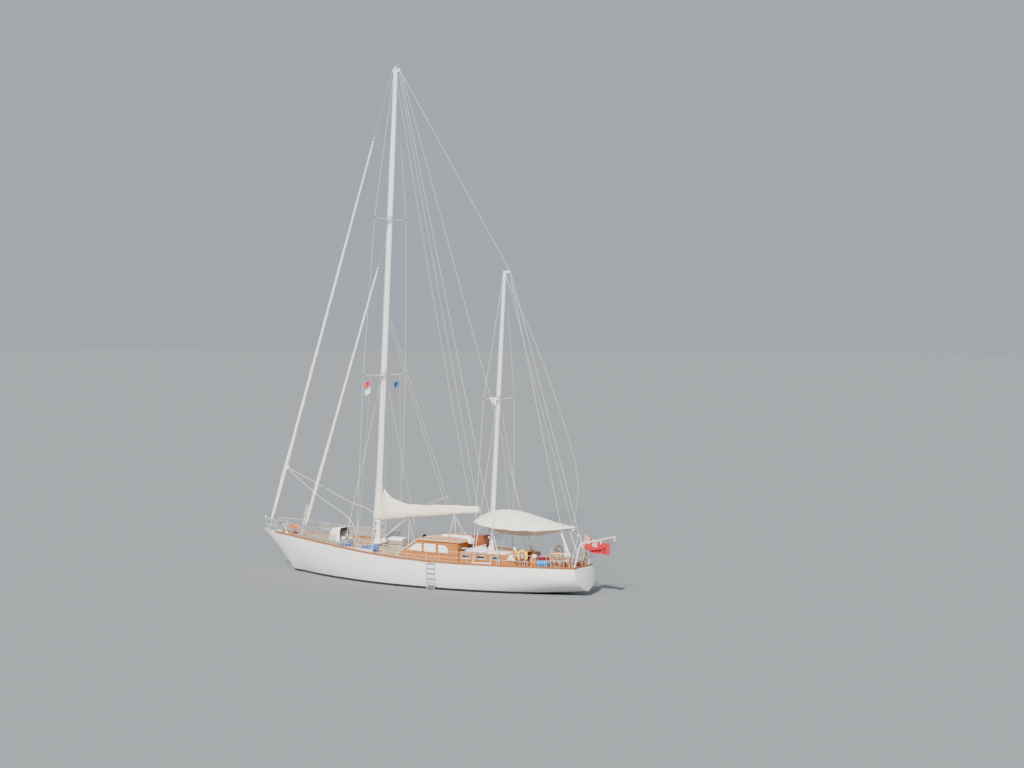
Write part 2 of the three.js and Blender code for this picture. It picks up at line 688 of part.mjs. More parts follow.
// The standing wires behind the masts, one piece through the plates at the two mastheads: the main
// backstays, the stay between the mastheads and the mizzen backstays, the port one in a thick sleeve.
function backstays() {
  const [mainFoot, mainHead] = [[-6000, 1660, 1300], [1060, 56, 26222]];
  const [mizzenFoot, mizzenHead] = [[-9480, 872, 1300], [-5562, 50, 15792]];
  const wires = [1, -1].flatMap((side) => [
    bar(mirrored(mainFoot, side), mirrored(mainHead, side), WIRE, WIRE, 5),
    bar(mirrored(mizzenFoot, side), mirrored(mizzenHead, side), WIRE, WIRE, 8),
  ]);
  const between = bar([1060, 0, 26210], [-5562, 0, 15812], WIRE, WIRE, 5);
  const plates = [
    boxBetween([1040, -80, 26170], [1079.7, 80, 26250]),
    boxBetween([-5598, -71, 15755], [-5529, 71, 15847]),
  ];
  const sleeve = bar([-9318, 838, 1900], [-9020, 776, 3000], 42, 42, 8);
  return cut(join(...wires, between, ...plates, sleeve), ABOVE_DECK);
}

// Furled headsails on their stays: rows of [distance up the stay, radius]
const GENOA = { foot: [9820, 0, 2098], head: [1585, 0, 26240] };
const STAYSAIL = { foot: [7500, 0, 1940], head: [2010, 0, 17560] };

function furledSail({ foot, head }, drumAt, tackAt, headAt, girth) {
  const length = v(head).distanceTo(v(foot));
  const rows = [
    [0, 0], [0, 14], [drumAt, 14], [drumAt, 95],
    [drumAt + 150, 95], [drumAt + 150, 30], [tackAt, 34],
    [tackAt + 350, girth * 0.9], [tackAt + 2600, girth * 1.25], [tackAt + 5200, girth],
    [headAt * 0.62, girth * 0.82], [headAt, girth * 0.5],
    [headAt + 60, 10], [length, 10], [length, 0],
  ];
  return onDeck(turned(foot, head, rows, 10));
}

// Main boom with the furled sail under its cover
const GOOSENECK = { main: [2315, 0, 3120], mizzen: [-4672, 0, 3120] };
const MAIN_BOOM_START = [2235, 0, 3130];
const MAIN_BOOM_END = [-3740, 0, 3830];

function mainBoom() {
  const pin = bar([2321, 0, 3010], [2309, 0, 3240], 18, 18, 8);
  const arms = [3060, 3190].map((z) => boxBetween([2160, -24, z - 14], [2325, 24, z + 14]));
  return join(bar(MAIN_BOOM_START, MAIN_BOOM_END, 95, 80, 12), pin, ...arms);
}

// Rows of the cover: x, underside, top, half width. Each ring leans with the mast.
const MAST_RAKE = 0.051;
const MAIN_COVER = [
  { x: 2180, low: 3230, high: 4620, half: 170 },
  { x: 1990, low: 3120, high: 4430, half: 200 },
  { x: 1690, low: 3130, high: 4200, half: 215 },
  { x: 960, low: 3340, high: 3990, half: 210 },
  { x: -90, low: 3520, high: 3930, half: 190 },
  { x: -1260, low: 3630, high: 3990, half: 175 },
  { x: -2690, low: 3710, high: 4020, half: 150 },
  { x: -3650, low: 3850, high: 3990, half: 90 },
];

function coverRing({ x, low, high, half }) {
  return Array.from({ length: 10 }, (_, i) => {
    const angle = (i / 10) * 2 * Math.PI;
    const lift = (Math.sin(angle) + 1) / 2;
    const z = low + (high - low) * lift;
    return [x - MAST_RAKE * (z - GOOSENECK.main[2]), half * Math.cos(angle) * (1.15 - 0.45 * lift), z];
  });
}

function mainCover() {
  return cut(skin(MAIN_COVER.map(coverRing)), bar([2600, 0, 3088], [-3900, 0, 3849], 99, 82, 12));
}

function vang() {
  const foot = [2395, 0, 1960];
  const head = [700, 0, 3215];
  const rows = [
    [0, 0], [0, 26], [700, 26], [700, 46],
    [1600, 46], [1600, 30], [2060, 30], [2060, 0],
  ];
  const body = turned(foot, head, rows, 10);
  return cut(body, bar(MAIN_BOOM_START, MAIN_BOOM_END, 97, 82, 12));
}

// Mizzen boom, its furled sail, and the awning laid over both
const MIZZEN_BOOM_END = [-9230, 0, 3170];

function mizzenBoom() {
  const knuckle = bar([-4668, 0, 3050], [-4676, 0, 3190], 18, 18, 8);
  return join(bar(GOOSENECK.mizzen, MIZZEN_BOOM_END, 72, 60, 10), knuckle);
}

const MIZZEN_COVER = [
  { x: -4720, low: 3200, high: 3680, half: 130 },
  { x: -5300, low: 3205, high: 3710, half: 160 },
  { x: -6300, low: 3205, high: 3640, half: 165 },
  { x: -7500, low: 3215, high: 3510, half: 140 },
  { x: -8500, low: 3232, high: 3380, half: 80 },
];

function mizzenCover() {
  return cut(skin(MIZZEN_COVER.map(coverRing)), bar(GOOSENECK.mizzen, MIZZEN_BOOM_END, 73, 61, 10),
    mastForm(MIZZEN_MAST, 12));
}

// Rows of the awning: x, ridge height, then half width and edge height to port and to starboard.
// The starboard edge is hauled down.
const AWNING = [
  { x: -3380, ridge: 3250, port: [60, 3225], starboard: [60, 3215] },
  { x: -3900, ridge: 3590, port: [600, 3270], starboard: [680, 2900] },
  { x: -4480, ridge: 3820, port: [930, 3210], starboard: [1040, 2640] },
  { x: -5130, ridge: 3940, port: [1130, 3150], starboard: [1190, 2560] },
  { x: -6130, ridge: 3910, port: [1240, 3130], starboard: [1240, 2600] },
  { x: -7280, ridge: 3690, port: [1160, 3120], starboard: [1080, 2790] },
  { x: -8100, ridge: 3490, port: [920, 3160], starboard: [760, 3010] },
  { x: -8750, ridge: 3370, port: [500, 3240], starboard: [360, 3180] },
  { x: -9300, ridge: 3310, port: [60, 3280], starboard: [60, 3280] },
];
const AWNING_THICKNESS = 26;

function awningRing({ x, ridge, port, starboard }) {
  const half = (side, [width, edge]) => [0, 0.22, 0.5, 0.78, 1].map((share) => {
    return [x, side * width * share, ridge - (ridge - edge) * (0.45 * share + 0.55 * share ** 2.4)];
  });
  const top = [...half(1, port).slice(1).reverse(), ...half(-1, starboard)];
  const under = [...top].reverse().map(([px, py, pz]) => [px, py * 0.995, pz - AWNING_THICKNESS]);
  return [...top, ...under];
}

function awning() {
  const coverRoom = skin(MIZZEN_COVER.map(({ x, low, high, half }) => {
    return coverRing({ x, low: low - 20, high: high + 4, half: half + 4 });
  }));
  const boomRoom = bar(GOOSENECK.mizzen, MIZZEN_BOOM_END, 74, 62, 10);
  return cut(skin(AWNING.map(awningRing)), mastForm(MIZZEN_MAST, 60), boomRoom, coverRoom);
}

// Guard rails
const STANCHIONS = [7050, 5500, 3900, 2600, 600, -900, -2000, -2740, -4300, -5900, -7300, -8380];
const STANCHION_INSET = 92;
const LIFELINE_HEIGHT = 610;

function lifelines(side) {
  const feet = STANCHIONS.map((x) => [x, side * (deckHalf(x) - STANCHION_INSET), deckEdgeZ(x)]);
  const posts = feet.map(([x, y, z]) => bar([x, y, z - 40], [x, y, z + LIFELINE_HEIGHT], 13, 12, 6));
  const lines = [LIFELINE_HEIGHT - 12, LIFELINE_HEIGHT / 2].flatMap((up) => (
    lengths(feet.map(([x, y, z]) => [x, y, z + up]), 5)));
  return cut(join(...posts, ...lines), ABOVE_DECK, railRoom(side));
}

// Pulpit, welded to the stemhead plate that carries the anchor roller and the forestay
function pulpit() {
  const topZ = 2700;
  const rail = tube([
    [8050, 640, topZ - 20], [8900, 470, topZ], [9700, 300, topZ + 10], [10080, 0, topZ + 20],
    [9700, -300, topZ + 10], [8900, -470, topZ], [8050, -640, topZ - 20],
  ], 16, 18, 6);
  const rows = [
    { x: 8060, foot: [640, 1920], top: 640 },
    { x: 8950, foot: [300, 1920], top: 460 },
    { x: 9600, foot: [130, 2000], top: 325 },
  ];
  const legs = [1, -1].flatMap((side) => rows.map(({ x, foot: [y, z], top }) => {
    return bar([x, side * y, z], [x, side * top, topZ - 4], 14, 14, 6);
  }));
  const plate = prism([[9492, -200], [10060, -62], [10060, 62], [9492, 200]], 1998, 2088);
  const cheeks = [-62, 40].map((y) => boxBetween([9760, y, 2060], [10110, y + 22, 2150]));
  const roller = bar([10080, -50, 2112], [10080, 50, 2112], 40, 40, 10);
  return cut(join(rail, ...legs, plate, ...cheeks, roller), ABOVE_DECK, railRoom(1), railRoom(-1));
}

function pushpit() {
  const topZ = 2110;
  const corner = (z) => [[-8560, 1165, z], [-9200, 975, z], [-9540, 760, z], [-9600, 620, z], [-9600, 0, z],
    [-9600, -620, z], [-9540, -760, z], [-9200, -975, z], [-8560, -1165, z]];
  const rails = [tube(corner(topZ), 16, 18, 6), tube(corner(1760), 11, 18, 6)];
  const legs = [1, -1].flatMap((side) => [[-8560, 1165], [-9200, 975], [-9540, 760]].map(([x, y]) => {
    return bar([x, side * y, 1320], [x, side * y, topZ], 14, 14, 6);
  }));
  return cut(join(...rails, ...legs), ABOVE_DECK, railRoom(1), railRoom(-1), taffrail());
}

// Stern davits, the ensign staff and the flag
function davit(side) {
  const y = 690 * side;
  const line = [[-9640, 1490], [-9780, 2060], [-9930, 2570], [-10400, 2720], [-11150, 2900]];
  const arm = tube(line.map(([x, z]) => [x, y, z]), 27, 14, 8);
  const brace = bar([-10330, y, 2703], [-10860, y, 2830], 38, 34, 8);
  const foot = boxBetween([-9700, y - 60, 1471], [-9610, y + 60, 1530]);
  return cut(join(arm, brace, foot), pushpit());
}

function flagstaff() {
  const shoe = boxBetween([-9705, -45, 1471], [-9632, 45, 1560]);
  return join(bar([-9668, 0, 1500], [-9800, 0, 3060], 17, 12, 8), shoe);
}

// The flag as a flat outline, its fly blown aft
const FLAG = [[-9860, 2985], [-10480, 2700], [-11220, 2670], [-11160, 2090], [-10440, 2120], [-9790, 2390]];

function ensign() {
  return toSolid(sidePrism(FLAG, -12, 12));
}

// Boarding ladder hooked over the port rail
function ladder() {
  const rungs = [1330, 1085, 840, 595, 350, 105];
  const rails = [-2140, -2600].map((x) => bar([x, 2375, 30], [x, 2385, 1560], 16, 16, 6));
  const steps = rungs.map((z) => bar([-2140, 2376, z], [-2600, 2376, z], 13, 13, 6));
  const hooks = [-2140, -2600].map((x) => boxBetween([x - 16, 2270, 1500], [x + 16, 2400, 1562]));
  const body = join(...rails, ...steps, ...hooks);
  return cut(body, railHalf(1).translate(0, 0, GAP), HULL_FORM.translate(0, GAP * 4, 0));
}

function lifebuoy() {
  const middle = [-7100, 1370, 1915];
  const path = [210, 180, 150, 120, 90, 60, 30, 0, -30].map((degrees) => {
    const angle = THREE.MathUtils.degToRad(degrees);
    return [middle[0] + 235 * Math.cos(angle), middle[1], middle[2] + 240 * Math.sin(angle)];
  });
  path.unshift([path[0][0] + 45, middle[1], middle[2] - 270]);
  path.push([path.at(-1)[0] - 45, middle[1], middle[2] - 270]);
  return toSolid(tube(path, 75, 22, 8));
}

// Cockpit: coaming, wheel pedestal, wheel
function cockpitCoaming() {
  const [low, high] = COCKPIT;
  const outside = boxBetween([low[0] - 60, low[1] - 60, 1200], [high[0], high[1] + 60, 1660]);
  return cut(onDeck(cut(outside, boxBetween(low, high))), ON_TRUNK);
}

const WHEEL = { centre: [-8330, 0, 1930], radius: 430 };

function steeringPedestal() {
  const post = boxBetween([-8250, -90, 850 + GAP], [-8090, 90, 1840]);
  const outline = [[-8272, 1800], [-8060, 1800], [-8060, 2010], [-8180, 2060], [-8272, 2010]];
  const head = sidePrism(outline, -140, 140);
  return join(post, head);
}

function steeringWheel() {
  const [x, y, z] = WHEEL.centre;
  const rim = new THREE.TorusGeometry(WHEEL.radius, 17, 6, 20).rotateY(Math.PI / 2).translate(x, y, z);
  const spokes = [0, 1, 2, 3, 4, 5].map((i) => {
    const angle = (i * Math.PI) / 3 + Math.PI / 6;
    const tip = [x, y + WHEEL.radius * Math.cos(angle), z + WHEEL.radius * Math.sin(angle)];
    return bar([x, y, z], tip, 15, 11, 6);
  });
  return join(rim, bar([x - 30, y, z], [x + 48, y, z], 50, 50, 12), ...spokes);
}

// Foredeck gear
function windlass() {
  const base = boxBetween([7780, -170, 1700], [8180, 170, 2060]);
  const drum = bar([7990, -290, 2130], [7990, 290, 2130], 85, 85, 12);
  const body = boxBetween([7840, -120, 2040], [8140, 120, 2200]);
  return onDeck(join(base, body, drum));
}

// Deck stowage: soft goods and jugs as plain solids
function jugs() {
  const cans = [[3800, 1330], [3540, 1080]].map(([x, y]) => bar([x, y, 1600], [x, y, 2200], 135, 135, 12));
  return onDeck(join(...cans, bar([3800, 1330, 1990], [3540, 1080, 1990], 30, 30, 6)));
}

function deckBags() {
  const fore = boxBetween([2030, 1330, 1400], [2520, 1680, 1880]);
  const aft = boxBetween([1470, 1280, 1400], [2040, 1700, 1950]);
  return onDeck(join(fore, aft));
}

// White covers: a roll on the deckhouse roof, a bundle hanging over its edge, sheets and two pads on the trunk
function trunkCovers() {
  const roll = bar([-1800, 460, 2525], [-3300, 460, 2525], 80, 80, 10);
  const heap = sidePrism([
    [-3080, 2380], [-3080, 2600], [-3560, 2590], [-3700, 2440],
    [-3770, 2050], [-3770, 1850], [-3505, 1850], [-3505, 2380],
  ], 405, 800);
  const sheets = boxBetween([-4600, 470, 1830], [-3505, 1290, 1965]);
  const pads = [
    boxBetween([-4910, 560, 1830], [-4300, 1290, 2000]),
    boxBetween([-6100, 520, 1780], [-4900, 1250, 1985]),
  ];
  return cut(join(roll, heap, sheets, ...pads), ON_TRUNK, houseRoof().translate(0, 0, GAP), houseRoof(),
    boxBetween([-3504, -2000, 1700], [-3000, 2000, 2360]));
}

// Gear stowed on the side deck by the cockpit
function sideStowage() {
  return onDeck(boxBetween([-8420, 830, 1300], [-7660, 1150, 1900]));
}

function engineBlock() {
  return toSolid(boxBetween([-2480, -330, -379.7], [-1220, 330, 330]));
}

// Finishes: colour, roughness, metalness
const FINISH = {
  hullWhite: ['#f4f4f0', 0.28, 0],
  antifoul: ['#1d1f24', 0.8, 0],
  teak: ['#c9a070', 0.75, 0],
  varnish: ['#b56f32', 0.3, 0],
  mastWhite: ['#f2f2ef', 0.35, 0],
  canvas: ['#efe6d6', 0.9, 0],
  steel: ['#b9bdc1', 0.3, 1],
  bronze: ['#9a7434', 0.4, 1],
  castGrey: ['#62676c', 0.6, 0.4],
  yellow: ['#f2d326', 0.6, 0],
  red: ['#d3232b', 0.85, 0],
  blue: ['#3d86c6', 0.8, 0],
  darkBlue: ['#26447e', 0.85, 0],
  glass: ['#2a3238', 0.12, 0],
};

const yacht = new THREE.Group();

function place(name, piece, finish) {
  const [color, roughness, metalness] = FINISH[finish];
  const material = new THREE.MeshStandardMaterial({ color, roughness, metalness });
  const mesh = new THREE.Mesh(toGeometry(asSolid(piece)), material);
  mesh.name = name;
  yacht.add(mesh);
}

const SIDES = [['port', 1], ['starboard', -1]];
const GENOA_ROLL = furledSail(GENOA, 260, 480, 21800, 92);
const STAYSAIL_ROLL = furledSail(STAYSAIL, 330, 520, 14900, 84);

const WHOLE_HULL = hull();
HULL_LENGTHS.forEach((row) => place(row.name, lengthOf(WHOLE_HULL, row), 'hullWhite'));
place('deck', deck(), 'teak');
place('ballast_keel', ballastKeel(), 'antifoul');
place('taffrail', taffrail(), 'varnish');
place('engine_block', engineBlock(), 'castGrey');
place('shaft_bracket', shaftBracket(), 'bronze');
place('propeller', propeller(), 'bronze');
place('rudder', rudder(), 'antifoul');
place('deckhouse_front', houseFront(), 'varnish');
place('deckhouse_aft', houseAft(), 'varnish');
place('deckhouse_roof', houseRoof(), 'teak');
place('aft_trunk', aftTrunk(), 'varnish');
place('stair_box', stairBox(), 'varnish');
place('stair_slide', stairSlide(), 'varnish');
place('aft_hatch', aftHatch(), 'varnish');
place('fore_hatch_lid', foreHatchLid(), 'hullWhite');
place('fore_hood', foreHood(), 'canvas');
place('skylight_lid', skylightLid(), 'hullWhite');
place('main_mast', mainMast(), 'mastWhite');
place('mizzen_mast', mizzenMast(), 'mastWhite');
place('backstays', backstays(), 'steel');
place('furled_genoa', GENOA_ROLL, 'canvas');
place('furled_staysail', STAYSAIL_ROLL, 'canvas');
place('main_boom', mainBoom(), 'mastWhite');
place('main_sail_cover', mainCover(), 'canvas');
place('boom_vang', vang(), 'steel');
place('mizzen_boom', mizzenBoom(), 'mastWhite');
place('mizzen_sail_cover', mizzenCover(), 'canvas');
place('awning', awning(), 'canvas');
place('pulpit', pulpit(), 'steel');
place('pushpit', pushpit(), 'steel');
place('flagstaff', flagstaff(), 'varnish');
place('ensign', ensign(), 'red');
place('boarding_ladder', ladder(), 'steel');
place('lifebuoy', lifebuoy(), 'yellow');
place('cockpit_coaming', cockpitCoaming(), 'varnish');
place('steering_pedestal', steeringPedestal(), 'varnish');
place('steering_wheel', steeringWheel(), 'varnish');
place('windlass', windlass(), 'castGrey');
place('jugs', jugs(), 'blue');
place('deck_bags', deckBags(), 'darkBlue');
place('trunk_covers', trunkCovers(), 'canvas');
place('side_stowage', sideStowage(), 'blue');
SIDES.forEach(([word, side]) => {
  place(`rail_${word}`, railHalf(side), 'varnish');
  place(`lifelines_${word}`, lifelines(side), 'steel');
  place(`davit_${word}`, davit(side), 'mastWhite');
  place(`deckhouse_${word}`, houseSide(side), 'varnish');
  place(`window_covers_${word}`, windowCovers(side), 'canvas');
  place(`main_shrouds_${word}`, shrouds(side, MAIN_SHROUDS), 'steel');
  place(`mizzen_shrouds_${word}`, shrouds(side, MIZZEN_SHROUDS), 'steel');
});

export default yacht;
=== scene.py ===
"""Finishes and fine fittings of a 20 m ketch-rigged sailing yacht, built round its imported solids."""
import logging
import math
from collections.abc import Callable, Iterable, Sequence
from dataclasses import dataclass
from enum import Enum

import bmesh
import bpy
from mathutils import Matrix, Vector, noise


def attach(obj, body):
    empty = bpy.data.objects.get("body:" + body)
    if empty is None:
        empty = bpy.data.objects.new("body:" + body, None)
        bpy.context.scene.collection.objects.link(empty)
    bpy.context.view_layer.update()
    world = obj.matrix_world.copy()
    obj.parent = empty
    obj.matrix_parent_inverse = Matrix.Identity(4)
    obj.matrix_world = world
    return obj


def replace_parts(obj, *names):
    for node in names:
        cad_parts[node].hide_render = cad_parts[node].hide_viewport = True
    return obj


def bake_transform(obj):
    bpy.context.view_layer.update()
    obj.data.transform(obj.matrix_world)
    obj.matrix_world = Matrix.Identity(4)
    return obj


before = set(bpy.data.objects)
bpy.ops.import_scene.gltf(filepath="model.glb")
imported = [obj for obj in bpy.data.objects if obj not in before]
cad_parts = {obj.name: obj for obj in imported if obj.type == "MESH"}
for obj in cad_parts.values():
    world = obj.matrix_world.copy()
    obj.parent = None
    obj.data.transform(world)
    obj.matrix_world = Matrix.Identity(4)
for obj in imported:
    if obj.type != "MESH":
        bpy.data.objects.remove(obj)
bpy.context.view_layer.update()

LOG = logging.getLogger("yacht")
Point = tuple[float, float, float] | Vector
Colour = tuple[float, float, float]
Made = bmesh.types.BMesh
Socket = bpy.types.NodeSocket
ROOT = "root"
# metres that a sail's folds lie further aft for each metre up, as the masts lean
RAKE = 0.051
# height from which that lean is measured, near both booms' fore ends
BOOM_Z = 3.12


class Side(Enum):
    """Port and starboard, each with the sign of its y."""

    PORT = 1
    STARBOARD = -1

    @property
    def word(self) -> str:
        """The side's name as the nodes use it."""
        return self.name.lower()


def blended(a: float, b: float, share: float) -> float:
    """The value a share of the way from a to b."""
    return a + (b - a) * share


def eased(share: float) -> float:
    """A share from 0 to 1 that starts and ends gently."""
    kept = min(max(share, 0.0), 1.0)
    return kept * kept * (3.0 - 2.0 * kept)


def from_table(rows: Sequence[Sequence[float]], x: float, column: int) -> float:
    """Reads a column of a table smoothly between its rows.

    Args:
        rows: rows whose first value rises from row to row.
        x: where to read, in the units of the first column.
        column: the column to read.

    Returns:
        The value at x.
    """
    if x <= rows[0][0]:
        return rows[0][column]
    if x >= rows[-1][0]:
        return rows[-1][column]
    i = next(k for k in range(len(rows) - 1) if rows[k + 1][0] >= x)
    before, after = rows[max(i - 1, 0)], rows[min(i + 2, len(rows) - 1)]
    low, high = rows[i], rows[i + 1]
    span = high[0] - low[0]
    t = (x - low[0]) / span
    slope_low = (high[column] - before[column]) / (high[0] - before[0]) * span
    slope_high = (after[column] - low[column]) / (after[0] - low[0]) * span
    t2, t3 = t * t, t * t * t
    return ((2 * t3 - 3 * t2 + 1) * low[column] + (t3 - 2 * t2 + t) * slope_low
            + (3 * t2 - 2 * t3) * high[column] + (t3 - t2) * slope_high)


def round_turn(count: int) -> list[float]:
    """The angles of a closed ring of count stretches, the last one a full turn after the first."""
    return [math.tau * k / count for k in range(count + 1)]


def sagging(a: Point, b: Point, sag: float, count: int = 16) -> list[Vector]:
    """Points of a slack line between two places.

    Args:
        a: its start.
        b: its end.
        sag: how far its middle hangs below the straight line.
        count: number of points.

    Returns:
        The points, from a to b.
    """
    start, end = Vector(a), Vector(b)
    drop = [4 * sag * t * (1 - t) for t in (i / (count - 1) for i in range(count))]
    return [start.lerp(end, i / (count - 1)) - Vector((0, 0, drop[i])) for i in range(count)]


def smooth_path(points: Sequence[Point], steps: int) -> list[Vector]:
    """A smooth line through some points.

    Args:
        points: the points that it passes through.
        steps: number of stretches between each two of them.

    Returns:
        The points of the line.
    """
    rows = [Vector(p) for p in points]
    ends = [rows[0] * 2 - rows[1], *rows, rows[-1] * 2 - rows[-2]]
    line: list[Vector] = []
    for i in range(1, len(ends) - 2):
        p, q, r, s = ends[i - 1:i + 3]
        for k in range(steps):
            t = k / steps
            line.append(0.5 * (2 * q + (r - p) * t + (2 * p - 5 * q + 4 * r - s) * t ** 2
                               + (3 * q - p - 3 * r + s) * t ** 3))
    return [*line, rows[-1]]


def length_of(path: Sequence[Vector]) -> float:
    """The length of a line of points."""
    return sum((b - a).length for a, b in zip(path, path[1:]))


class Shape:
    """One piece in the making: bmesh shapes put together before they become an object."""

    def __init__(self) -> None:
        """Starts with nothing."""
        self.bm = bmesh.new()
        self.bm.loops.layers.uv.new("UVMap")

    def take(self, made: Made) -> "Shape":
        """Adds a finished bmesh and frees it."""
        holder = bpy.data.meshes.new("holder")
        made.to_mesh(holder)
        made.free()
        self.bm.from_mesh(holder)
        bpy.data.meshes.remove(holder)
        return self

    def block(self, a: Point, b: Point, bevel: float = 0.006, segments: int = 2) -> "Shape":
        """Adds a box with rounded edges.

        Args:
            a: one of its corners.
            b: the corner across from it.
            bevel: width of the rounding.
            segments: faces across the rounding.

        Returns:
            This shape.
        """
        low, high = Vector(tuple(map(min, a, b))), Vector(tuple(map(max, a, b)))
        return self.take(rounded_box(low, high, bevel, segments))

    def rod(self, a: Point, b: Point, radius: float, far: float | None = None, sides: int = 12) -> "Shape":
        """Adds a round rod, tapered where far is given.

        Args:
            a: middle of its first end.
            b: middle of its other end.
            radius: radius at a.
            far: radius at b.
            sides: number of sides.

        Returns:
            This shape.
        """
        start, end = Vector(a), Vector(b)
        along = end - start
        turn = along.to_track_quat("Z", "Y").to_matrix().to_4x4()
        made = bmesh.new()
        bmesh.ops.create_cone(
            made, cap_ends=True, segments=sides, radius1=radius, radius2=radius if far is None else far,
            depth=along.length, matrix=Matrix.Translation((start + end) / 2) @ turn, calc_uvs=True)
        return self.take(made)

    def turned(self, a: Point, b: Point, rows: Iterable[tuple[float, float]], steps: int = 20) -> "Shape":
        """Adds a turned form by spinning a profile.

        Args:
            a: where the axis starts.
            b: a further point on the axis.
            rows: distance along the axis and radius, in order.
            steps: sides of the form.

        Returns:
            This shape.
        """
        made = bmesh.new()
        verts = [made.verts.new((max(radius, 0.0), 0.0, along)) for along, radius in rows]
        edges = [made.edges.new(pair) for pair in zip(verts, verts[1:])]
        bmesh.ops.spin(made, geom=[*verts, *edges], cent=(0, 0, 0), axis=(0, 0, 1), angle=math.tau,
                       steps=steps, use_merge=True, use_duplicate=False)
        bmesh.ops.remove_doubles(made, verts=list(made.verts), dist=1e-5)
        bmesh.ops.recalc_face_normals(made, faces=list(made.faces))
        direction = (Vector(b) - Vector(a)).to_track_quat("Z", "Y").to_matrix().to_4x4()
        bmesh.ops.transform(made, matrix=Matrix.Translation(a) @ direction, verts=list(made.verts))
        return self.take(made)

    def tube(self, path: Sequence[Point], radius: float | Sequence[float], sides: int = 10) -> "Shape":
        """Adds a round tube along a path.

        Args:
            path: its middle line.
            radius: one radius, or one for each point.
            sides: number of sides.

        Returns:
            This shape.
        """
        line = [Vector(p) for p in path]
        sizes = [radius] * len(line) if isinstance(radius, (int, float)) else list(radius)
        frames = frames_along(line)
        total = length_of(line)

        def place(u: float, v: float) -> Vector:
            i = round(v * (len(line) - 1))
            across, up = frames[i]
            angle = math.tau * u
            return line[i] + (across * math.cos(angle) + up * math.sin(angle)) * sizes[i]

        return self.take(wrapped(sides, len(line) - 1, place, reach=(1.0, total)))

    def ball(self, centre: Point, radius: float, squash: Point = (1, 1, 1)) -> "Shape":
        """Adds a ball, or an egg where squash is given."""
        made = bmesh.new()
        place = Matrix.Translation(centre) @ Matrix.Diagonal((*squash, 1.0))
        bmesh.ops.create_uvsphere(made, u_segments=16, v_segments=10, radius=radius, matrix=place)
        return self.take(made)

    def plate(self, outline: Sequence[Point], thick: Point, bevel: float = 0.004, segments: int = 2) -> "Shape":
        """Adds a plate drawn out from a flat outline.

        Args:
            outline: its corners in order, in one plane.
            thick: how far and which way it is drawn out.
            bevel: width of the rounding, 0 for none.
            segments: faces across the rounding.

        Returns:
            This shape.
        """
        made = bmesh.new()
        face = made.faces.new([made.verts.new(corner) for corner in outline])
        drawn_out(made, [face], thick)
        bmesh.ops.recalc_face_normals(made, faces=list(made.faces))
        if bevel > 0:
            round_edges(made, list(made.edges), bevel, segments)
        return self.take(made)

    def made_into(self, name: str, finish: "Finish", body: str | None = ROOT, sharp: float = 38.0) -> bpy.types.Object:
        """Turns the shape into an object that rides on a body.

        Args:
            name: the piece's name.
            finish: what it is finished with.
            body: the body that carries it, or None for a piece that is left unattached.
            sharp: edges bent by more degrees than this look sharp.

        Returns:
            The finished object.
        """
        mesh = bpy.data.meshes.new(name)
        self.bm.to_mesh(mesh)
        self.bm.free()
        mesh.materials.append(finish.material())
        mesh.shade_smooth()
        mesh.set_sharp_from_angle(angle=math.radians(sharp))
        obj = bpy.data.objects.new(name, mesh)
        bpy.context.scene.collection.objects.link(obj)
        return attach(obj, body) if body else obj


def rounded_box(low: Vector, high: Vector, bevel: float, segments: int) -> Made:
    """Makes a box with rounded edges.

    Args:
        low: its low corner.
        high: its high corner.
        bevel: width of the rounding, less where the box is thin.
        segments: faces across the rounding.

    Returns:
        The box.
    """
    made = bmesh.new()
    size = high - low
    place = Matrix.Translation((high + low) / 2) @ Matrix.Diagonal((*size, 1.0))
    bmesh.ops.create_cube(made, size=1.0, matrix=place)
    round_edges(made, list(made.edges), min(bevel, min(size) * 0.45), segments)
    return made


def round_edges(made: Made, edges: list, width: float, segments: int = 2) -> None:
    """Rounds edges of a bmesh.

    Args:
        made: the bmesh.
        edges: the edges to round.
        width: width of the rounding.
        segments: faces across it.
    """
    bmesh.ops.bevel(made, geom=edges, offset=width, offset_type="OFFSET", segments=segments, profile=0.5,
                    affect="EDGES", material=-1, clamp_overlap=True)


def frames_along(line: Sequence[Vector]) -> list[tuple[Vector, Vector]]:
    """Two directions square to a line at each of its points, without a twist from one to the next."""
    frames: list[tuple[Vector, Vector]] = []
    for i, _ in enumerate(line):
        along = (line[min(i + 1, len(line) - 1)] - line[max(i - 1, 0)]).normalized()
        if frames:
            across = frames[-1][0] - along * frames[-1][0].dot(along)
        else:
            across = along.orthogonal()
        across.normalize()
        frames.append((across, along.cross(across)))
    return frames


def spread_grid(columns: int, rows: int, place: Callable[[float, float], Point],
                reach: tuple[float, float] = (1.0, 1.0)) -> Made:
    """Makes an open grid and moves each of its points into place.

    Args:
        columns: faces along u.
        rows: faces along v.
        place: gives a point for each u and v from 0 to 1.
        reach: what the UV map counts to along u and v.

    Returns:
        The grid.
    """
    made = bmesh.new()
    uv = made.loops.layers.uv.new("UVMap")
    bmesh.ops.create_grid(made, x_segments=columns, y_segments=rows, size=0.5)
    shares = {vert: (vert.co.x + 0.5, vert.co.y + 0.5) for vert in made.verts}
    for face in made.faces:
        for loop in face.loops:
            u, v = shares[loop.vert]
            loop[uv].uv = (u * reach[0], v * reach[1])
    for vert, (u, v) in shares.items():
        vert.co = Vector(place(u, v))
    return made


